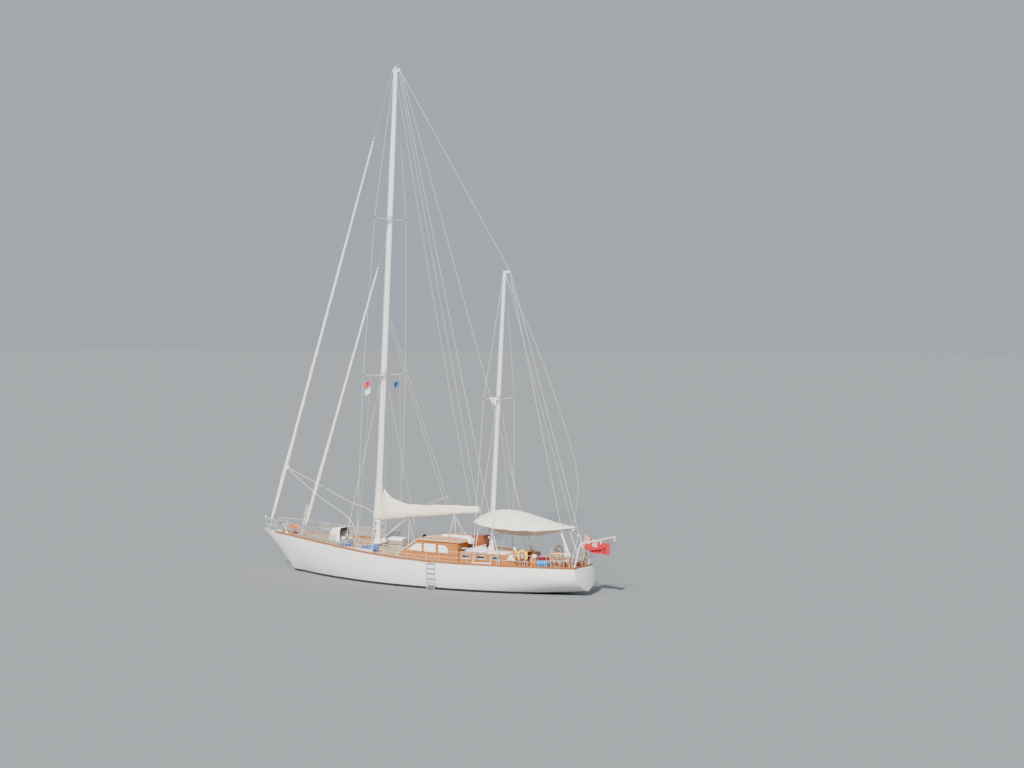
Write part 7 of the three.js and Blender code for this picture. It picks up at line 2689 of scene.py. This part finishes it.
@dataclass
class DeckStowage:
    """Hatches, hood, jugs, bags, cushions and covers about the deck."""

    jugs_at: tuple[tuple[float, float], ...] = ((3.80, 1.33), (3.54, 1.08))
    roll_ties: tuple[float, ...] = (-2.05, -2.55, -3.05)
    roll_y: float = 0.46

    def build(self) -> None:
        """Makes every piece stowed on deck."""
        self.coaming_boards()
        self.hood()
        self.fore_lid()
        self.skylight()
        self.jugs()
        self.bags()
        self.pads()
        self.roof_roll()
        self.heap()
        self.side_bags()
        self.mast_foot()

    def coaming_boards(self) -> None:
        """Varnished boards round the fore hatch and grey weathered boards round the skylight, with mahogany slats on
        its sides.
        """
        for name, low, high, finish in (("fore_hatch_boards", (4.78, -0.36), (5.34, 0.36), VARNISH_ATHWART),
                                        ("skylight_boards", (0.77, -0.34), (1.61, 0.34), GREY_TEAK)):
            top = 1.984 if low[0] > 3 else 2.079
            foot = LINES.deck_z((low[0] + high[0]) / 2, 0.36) - 0.03
            shape = Shape()
            shape.block((low[0] - 0.014, low[1] - 0.014, foot), (high[0] + 0.014, low[1] - 0.001, top), 0.004)
            shape.block((low[0] - 0.014, high[1] + 0.001, foot), (high[0] + 0.014, high[1] + 0.014, top), 0.004)
            shape.block((low[0] - 0.014, low[1], foot), (low[0] - 0.001, high[1], top), 0.004)
            shape.block((high[0] + 0.001, low[1], foot), (high[0] + 0.014, high[1], top), 0.004)
            shape.made_into(name, finish)
        bars = Shape()
        for side in Side:
            for k in range(7):
                x = 0.83 + 0.12 * k
                y = side.value * 0.356
                bars.block((x - 0.012, y, 1.86), (x + 0.012, y + side.value * 0.010, 2.06), 0.003)
            y = side.value * 0.355
            bars.block((0.77, y, 1.83), (1.61, y + side.value * 0.014, 1.862), 0.004)
        bars.made_into("skylight_slats", MAHOGANY)

    def hood(self) -> None:
        """The white folding hood over the fore hatch: cloth over two hoops, its mouth looking aft, with a dark lining
        and a dark screen inside it as painted shade.
        """

        def height(x: float) -> float:
            return from_table(((4.72, 2.515), (5.0, 2.505), (5.18, 2.49), (5.30, 2.42), (5.37, 2.28), (5.405, 2.08),
                               (5.418, 1.90)), x, 1)

        def place(u: float, v: float, inset: float = 0.0) -> Point:
            x = 4.722 + 0.696 * math.sin(v * math.pi / 2) ** 0.9 * (1 - inset * 0.1)
            foot = LINES.deck_z(x, 0.45) + 0.004
            tall = max(height(x) - foot - inset, 0.002)
            turn = math.pi * u
            y = math.copysign(abs(math.cos(turn)) ** 0.26, math.cos(turn)) * (0.448 - inset)
            z = foot + tall * abs(math.sin(turn)) ** 0.24
            dip = 0.012 * math.sin(math.pi * min(v * 1.6, 1.0)) * abs(math.sin(turn))
            slack = 0.010 * noise.noise(Vector((x * 5, y * 4, z * 4))) - dip
            return x, y * (1 + slack), z + slack

        made = spread_grid(60, 40, place, (2.1, 1.1))
        hood = Shape().take(thickened(made, 0.004)).made_into("hood_cloth", WHITE_CLOTH, sharp=75)
        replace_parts(hood, "fore_hood")
        # a dark lining inside the hood: painted shade for its unlit inside
        lining = Shape().take(spread_grid(40, 24, lambda u, v: place(u, v, 0.018), (2.1, 1.1)))
        inner = lining.made_into("hood_shade_lining", HOOD_SHADE_CLOTH, sharp=75)
        hoops = Shape()
        for v in (0.0, 0.28):
            hoops.tube([place(k / 24, v, 0.012) for k in range(25)], 0.010, 8)
        hoops.made_into("hood_hoops", STEEL)

        # a dark cloth screen across the mouth; its dark colour is also painted shade for the shaded opening
        def flap(u: float, v: float) -> Point:
            y = 0.43 * (2 * u - 1)
            foot = LINES.deck_z(4.76, 0.4) + 0.12
            top = 2.47 - 0.10 * abs(2 * u - 1) ** 5
            return 4.765 + 0.02 * math.sin(u * 14) * (1 - v) + 0.03 * v, y, blended(foot, top, v)

        made = thickened(spread_grid(30, 14, flap, (0.8, 0.4)), 0.003)
        screen = Shape().take(made).made_into("hood_screen", HOOD_SHADE_CLOTH, sharp=75)

    def fore_lid(self) -> None:
        """The fore hatch's lid: a rounded frame round a dark pane."""
        shape = Shape().block((4.762, -0.378, 1.995), (5.328, 0.378, 2.028), 0.012, 3)
        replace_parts(shape.made_into("fore_lid_frame", WHITE_PAINT, "fore_lid"), "fore_hatch_lid")
        pane = Shape().block((4.82, -0.32, 2.026), (5.27, 0.32, 2.034), 0.003)
        pane.made_into("fore_lid_pane", GLASS, "fore_lid")
        metal = Shape()
        for y in (-0.22, 0.22):
            metal.block((4.775, y - 0.03, 2.026), (4.81, y + 0.03, 2.036), 0.003)
            metal.block((5.285, y - 0.025, 2.026), (5.32, y + 0.025, 2.036), 0.003)
        metal.made_into("fore_lid_hinges", STEEL, "fore_lid")

    def skylight(self) -> None:
        """The white ridged lid of the skylight under a white cloth cover."""
        rows = ((-0.365, 2.090), (0.365, 2.090), (0.365, 2.132), (0.0, 2.192), (-0.365, 2.132))
        shape = Shape().plate([(0.745, y, z) for y, z in rows], (0.89, 0, 0), 0.010, 3)
        shape.rod((0.745, 0, 2.186), (1.635, 0, 2.186), 0.014)
        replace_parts(shape.made_into("skylight_lid_boards", WHITE_PAINT, "skylight_lid"), "skylight_lid")
        cover = Shape()

        def cloth(u: float, v: float) -> Point:
            x, y = blended(0.728, 1.652, v), 0.385 * (2 * u - 1)
            top = 2.196 - 0.160 * abs(y)
            drop = 0.075 * max(0.0, (abs(y) - 0.36) / 0.025)
            return x, y, top + 0.006 - drop + 0.006 * noise.noise(Vector((x * 6, y * 6, 2)))

        cover.take(thickened(spread_grid(34, 30, cloth, (0.9, 0.95)), 0.003))
        cover.made_into("skylight_cover", WHITE_CLOTH, "skylight_lid", sharp=70)

    def jugs(self) -> None:
        """Two water jugs, blue with white shoulders, lashed by the port lifelines."""
        bodies, tops = Shape(), Shape()
        for x, y in self.jugs_at:
            foot = LINES.deck_z(x, y)
            tall = 2.20 - foot
            bodies.turned((x, y, foot), (x, y, 3), [
                (0, 0), (0, 0.115), (0.012, 0.128), (0.03, 0.133), (0.10, 0.133), (0.105, 0.128), (0.115, 0.128),
                (0.12, 0.133), (tall * 0.62, 0.133), (tall * 0.64, 0.127), (tall * 0.66, 0.127), (tall * 0.68, 0.132),
                (tall * 0.74, 0.128), (tall * 0.76, 0)], 36)
            tops.turned((x, y, foot + tall * 0.755), (x, y, 3), [
                (0, 0), (0, 0.127), (0.03, 0.118), (0.07, 0.07), (0.075, 0.045), (0.095, 0.045), (0.096, 0.036),
                (0.118, 0.036), (0.12, 0)], 32)
            low, high = foot + tall * 0.80, foot + tall * 0.93
            handle = [(x - 0.075, y, low), (x - 0.06, y, high), (x + 0.06, y, high), (x + 0.075, y, low)]
            tops.tube(smooth_path(handle, 5), 0.011, 8)
        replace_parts(bodies.made_into("jug_bodies", JUG_BLUE), "jugs")
        tops.made_into("jug_tops", WHITE_PLASTIC)
        rope = Shape()
        for z in (1.93, 2.0):
            loop = [(3.80 + 0.142 * math.cos(t), 1.33 + 0.142 * math.sin(t), z)
                    for t in (math.pi * (k / 12 - 0.25) for k in range(13))]
            loop += [(3.54 + 0.142 * math.cos(t), 1.08 + 0.142 * math.sin(t), z)
                     for t in (math.pi * (k / 12 + 0.75) for k in range(13))]
            rope.tube([*loop, loop[0]], 0.006, 6)
        rope.tube([(3.86, 1.46, 1.96), tuple(GuardRails().foot(3.9, Side.PORT, 0.3))], 0.006, 6)
        rope.made_into("jug_lashing", WHITE_ROPE)

    def bags(self) -> None:
        """The dark blue and the bright blue bag on the side deck, with their drawstrings."""
        foot = LINES.deck_z(2.2, 1.5)
        fore = soft_block((2.06, 1.36, foot + 0.02), (2.49, 1.65, 1.85), 0.13, 5.0, 0.035)
        piece = soft_from_cloth("navy_bag", fore, BLUE_CLOTH)
        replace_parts(piece, "deck_bags")
        aft = soft_block((1.46, 1.31, foot + 0.02), (2.02, 1.67, 1.92), 0.16, 9.0, 0.045)
        piece = soft_from_cloth("blue_bag", aft, BRIGHT_BLUE_CLOTH)
        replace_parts(piece, "deck_bags")
        ties = Shape()
        lashed_coil(ties, (2.29, 1.50, 1.83), 0.07, "x", 3, 0.006)
        string = [(1.74, 1.50, 1.93), (1.70, 1.62, 1.86), (1.62, 1.70, 1.70), (1.60, 1.71, foot + 0.12)]
        ties.tube(smooth_path(string, 5), 0.006, 6)
        ties.made_into("bag_ties", WHITE_ROPE)

    def pads(self) -> None:
        """Two white cushions on the aft trunk and a triangular white bag aft of them."""
        for name, low, high, seed in (("fore_pad", (-4.89, 0.58, 1.895), (-4.32, 1.27, 1.985), 1.0),
                                      ("aft_pad", (-6.08, 0.54, 1.875), (-4.93, 1.23, 1.965), 4.0)):
            pad = soft_from_cloth(name, soft_block(low, high, 0.035, seed, 0.006), WHITE_CLOTH, cap=0.016)
            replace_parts(pad, "trunk_covers")
            ties = Shape()
            for x in (low[0] + 0.09, high[0] - 0.09):
                ties.tube([(x, y, high[2] + 0.017) for y in (low[1] - 0.02, (low[1] + high[1]) / 2, high[1] + 0.02)],
                          0.006, 6)
            ties.made_into(f"{name}_straps", WHITE_ROPE)
        made = bmesh.new()
        corners = [(-6.66, 1.22, 1.62), (-6.14, 1.22, 1.62), (-6.40, 1.22, 1.95)]
        face = made.faces.new([made.verts.new(c) for c in corners])
        drawn_out(made, [face], (0, 0.14, 0))
        bmesh.ops.recalc_face_normals(made, faces=list(made.faces))
        round_edges(made, list(made.edges), 0.03, 3)
        soft_from_cloth("corner_bag", made, WHITE_CLOTH, cap=0.02)

    def roof_roll(self) -> None:
        """The white rolled cover on the roof with its ties."""

        def place(u: float, v: float) -> Point:
            x = blended(-1.80, -3.28, v)
            turn = math.tau * u
            ends = min(1.0, math.sqrt(max(min(v, 1 - v), 0.0) * 26))
            tie = 1 - 0.16 * sum(math.exp(-((x - where) / 0.02) ** 2) for where in self.roll_ties)
            ridge = ((turn + 0.4) % math.tau) / math.tau
            lump = 0.07 * noise.noise(Vector((x * 5, math.cos(turn), math.sin(turn))))
            radius = 0.078 * ends * tie * (1 + 0.10 * (ridge - 0.5) + lump)
            sway = 0.02 * math.sin(x * 3.1)
            return x, self.roll_y + sway + radius * math.cos(turn), 2.440 + radius * (1.0 + math.sin(turn)) * 0.98

        roll = Shape().take(wrapped(30, 90, place, (0.5, 1.5))).made_into("roof_roll", WHITE_CLOTH, sharp=80)
        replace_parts(roll, "trunk_covers")
        ties = Shape()
        for x in self.roll_ties:
            y = self.roll_y + 0.02 * math.sin(x * 3.1)
            ties.tube([(x, y + 0.071 * math.cos(t), 2.516 + 0.075 * math.sin(t)) for t in round_turn(18)], 0.006, 6)
        ties.made_into("roof_roll_ties", WHITE_ROPE)

    def heap(self) -> None:
        """The white bundle that hangs over the roof's aft edge, and the sheets spread on the trunk below it."""
        low, high = 0.40, 0.80

        def crest(x: float) -> float:
            return from_table(((-3.765, 2.28), (-3.70, 2.46), (-3.56, 2.585), (-3.30, 2.61), (-3.09, 2.58)), x, 1)

        def place(u: float, v: float) -> Point:
            x = blended(-3.10, -3.765, v)
            turn = math.tau * u
            ends = min(1.0, math.sqrt(max(min(v, 1 - v), 0.0) * 14))
            base = 2.425 if x > -3.50 else 2.425 - 0.22 * eased((-3.50 - x) / 0.05)
            top = crest(x)
            middle, half = (base + top) / 2, max((top - base) / 2, 0.03)
            lump = 0.12 * noise.noise(Vector((x * 5.2, math.cos(turn) * 2.7, 2.0)))
            pleat = 0.06 * math.sin(11 * math.cos(turn) + x * 5)
            across = math.copysign(abs(math.cos(turn)) ** 0.6, math.cos(turn))
            y = (low + high) / 2 + across * (high - low) / 2 * (0.92 + lump) * ends
            up = math.copysign(abs(math.sin(turn)) ** 0.7, math.sin(turn))
            return x, y, middle + half * ends * up * (1 + (lump + pleat) * (0.5 if up > 0 else 0))

        heap = Shape().take(wrapped(52, 60, place, (1.2, 1.0))).made_into("roof_edge_bundle", WHITE_CLOTH, sharp=80)
        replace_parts(heap, "trunk_covers")

        def spread(u: float, v: float) -> Point:
            x, y = blended(-3.525, -4.585, v), blended(0.485, 1.275, u)
            edge = min(u, 1 - u, v, 1 - v) * 9
            crease = 0.012 * abs(noise.noise(Vector((x * 11, y * 9, 1.0))))
            swell = 0.030 * noise.noise(Vector((x * 3.4, y * 4.1, 5.0))) + crease
            hump = 0.17 * eased((1.16 - y) / 0.6) * eased((-3.80 - x) / 0.25) * eased((4.60 + x) / 0.15)
            top = 1.917 + 0.025 * (1 - y / 1.3) + hump
            return x, y + 0.02 * math.sin(x * 9), top + (0.022 + max(swell, -0.015)) * eased(min(edge, 1.0))

        made = thickened(spread_grid(44, 52, spread, (0.8, 1.1)), 0.004)
        sheet = Shape().take(made).made_into("trunk_sheet", WHITE_CLOTH, sharp=70)
        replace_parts(sheet, "trunk_covers")
        pole = Shape()
        pole.rod((-3.62, 1.12, 1.985), (-4.46, 0.62, 2.20), 0.014, sides=14)
        pole.ball((-4.48, 0.61, 2.205), 0.034)
        pole.made_into("boat_hook", WHITE_PLASTIC)
        box = Shape().block((-3.66, 1.02, 1.905), (-3.49, 1.26, 2.03), 0.012)
        box.made_into("deck_speaker", BLACK_RUBBER)
        Shape().block((-3.67, 1.01, 2.03), (-3.48, 1.27, 2.06), 0.010).made_into("deck_speaker_lid", WHITE_PLASTIC)

    def side_bags(self) -> None:
        """The bright blue roll by the cockpit with a crimson cloth and white bundles on it."""
        deck = LINES.deck_z(-8.0, 1.0)
        roll = soft_block((-8.38, 0.86, deck + 0.02), (-7.70, 1.12, 1.72), 0.11, 2.0, 0.02)
        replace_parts(soft_from_cloth("blue_roll", roll, SKY_BLUE_CLOTH), "side_stowage")
        top = soft_block((-8.36, 0.87, 1.755), (-7.76, 1.10, 1.885), 0.055, 7.0, 0.02)
        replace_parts(soft_from_cloth("crimson_bundle", top, CRIMSON_CLOTH, cap=0.02), "side_stowage")
        white = soft_block((-7.72, 0.98, 1.80), (-7.50, 1.16, 1.98), 0.06, 12.0, 0.02)
        soft_from_cloth("white_bundle", white, WHITE_CLOTH, cap=0.02)
        rest = Shape()
        rest.block((-7.74, 0.98, deck), (-7.50, 1.14, 1.795), 0.012)
        rest.made_into("bundle_box", VARNISH)
        ties = Shape()
        for x in (-8.22, -7.86):
            ties.tube([(x, 0.99 + 0.150 * math.cos(t), 1.575 + 0.175 * math.sin(t)) for t in round_turn(20)], 0.007, 6)
        ties.made_into("blue_roll_ties", WHITE_ROPE)

    def mast_foot(self) -> None:
        """White cloth gathered at the main mast's foot, hanks by the shrouds, and rope coiled down on deck."""
        x, _, z = MAIN_MAST.face(1.83, 180)
        heap = soft_block((x - 0.42, -0.12, z), (x - 0.14, 0.16, z + 0.25), 0.11, 21.0, 0.04)
        soft_from_cloth("mast_foot_bundle", heap, WHITE_CLOTH)
        ropes = Shape()
        for cx, cy, cz, size, axis in ((2.96, 1.78, 2.20, 0.20, "y"), (3.28, 1.72, 2.22, 0.22, "y"),
                                       (2.44, 1.80, 2.12, 0.18, "y")):
            lashed_coil(ropes, (cx, cy, cz), size, axis, 6, 0.009)
        for k in range(6):
            cx, cy = 2.75, 1.25
            size = 0.24 - 0.018 * k
            deck = LINES.deck_z(cx, cy)
            ropes.tube([(cx + size * math.cos(t), cy + size * 0.8 * math.sin(t), deck + 0.012 + 0.010 * k)
                        for t in round_turn(22)], 0.010, 6)
        ropes.made_into("rope_bundles", ROPE)
        coil = Shape()
        for k in range(4):
            size = 0.20 - 0.024 * k
            deck = LINES.deck_z(-3.1, 1.92)
            coil.tube([(-3.1 + size * math.cos(t), 1.92 + size * 0.7 * math.sin(t), deck + 0.014 + 0.008 * k)
                       for t in round_turn(22)], 0.010, 6)
        coil.made_into("side_deck_coil", BLUE_ROPE)


NET_CORD = Rope("net_cord", colour=(0.38, 0.34, 0.29), dark=(0.25, 0.22, 0.19))
WHEEL_WOOD = Varnish("wheel_wood", light=(0.20, 0.075, 0.022), dark=(0.10, 0.035, 0.012), grain=(6, 6, 6))
RED_PLASTIC = Paint("red_plastic", colour=(0.22, 0.02, 0.015), faded=(0.30, 0.05, 0.03), roughness=0.4)
# dark cloth used as painted shade inside the fore hood
HOOD_SHADE_CLOTH = Canvas("hood_shade_cloth", colour=(0.075, 0.068, 0.060), soiled=(0.12, 0.11, 0.095), wrinkle=0.01)
JUG_BLUE = Paint("jug_blue", colour=(0.055, 0.16, 0.46), faded=(0.13, 0.25, 0.52), roughness=0.4)
SKY_BLUE_CLOTH = Canvas("sky_blue_cloth", colour=(0.01, 0.22, 0.60), soiled=(0.01, 0.14, 0.40), wrinkle=0.012)


def main() -> None:
    """Builds the yacht's pieces in order and logs each as it is built."""
    logging.basicConfig(level=logging.INFO, format="%(name)s: %(message)s")
    builders = [Studio(), HullShell(), Deckhouse(), AftTrunk(), MAIN_MAST, MIZZEN_MAST, StandingRigging(), GENOA,
                STAYSAIL, MainBoom(), MizzenBoom(), HeadsailSheets(), BowGear(), GuardRails(), SternGear(), Cockpit(),
                DeckStowage()]
    for builder in builders:
        builder.build()
        LOG.info("built %s", type(builder).__name__)


if __name__ == "__main__":
    main()
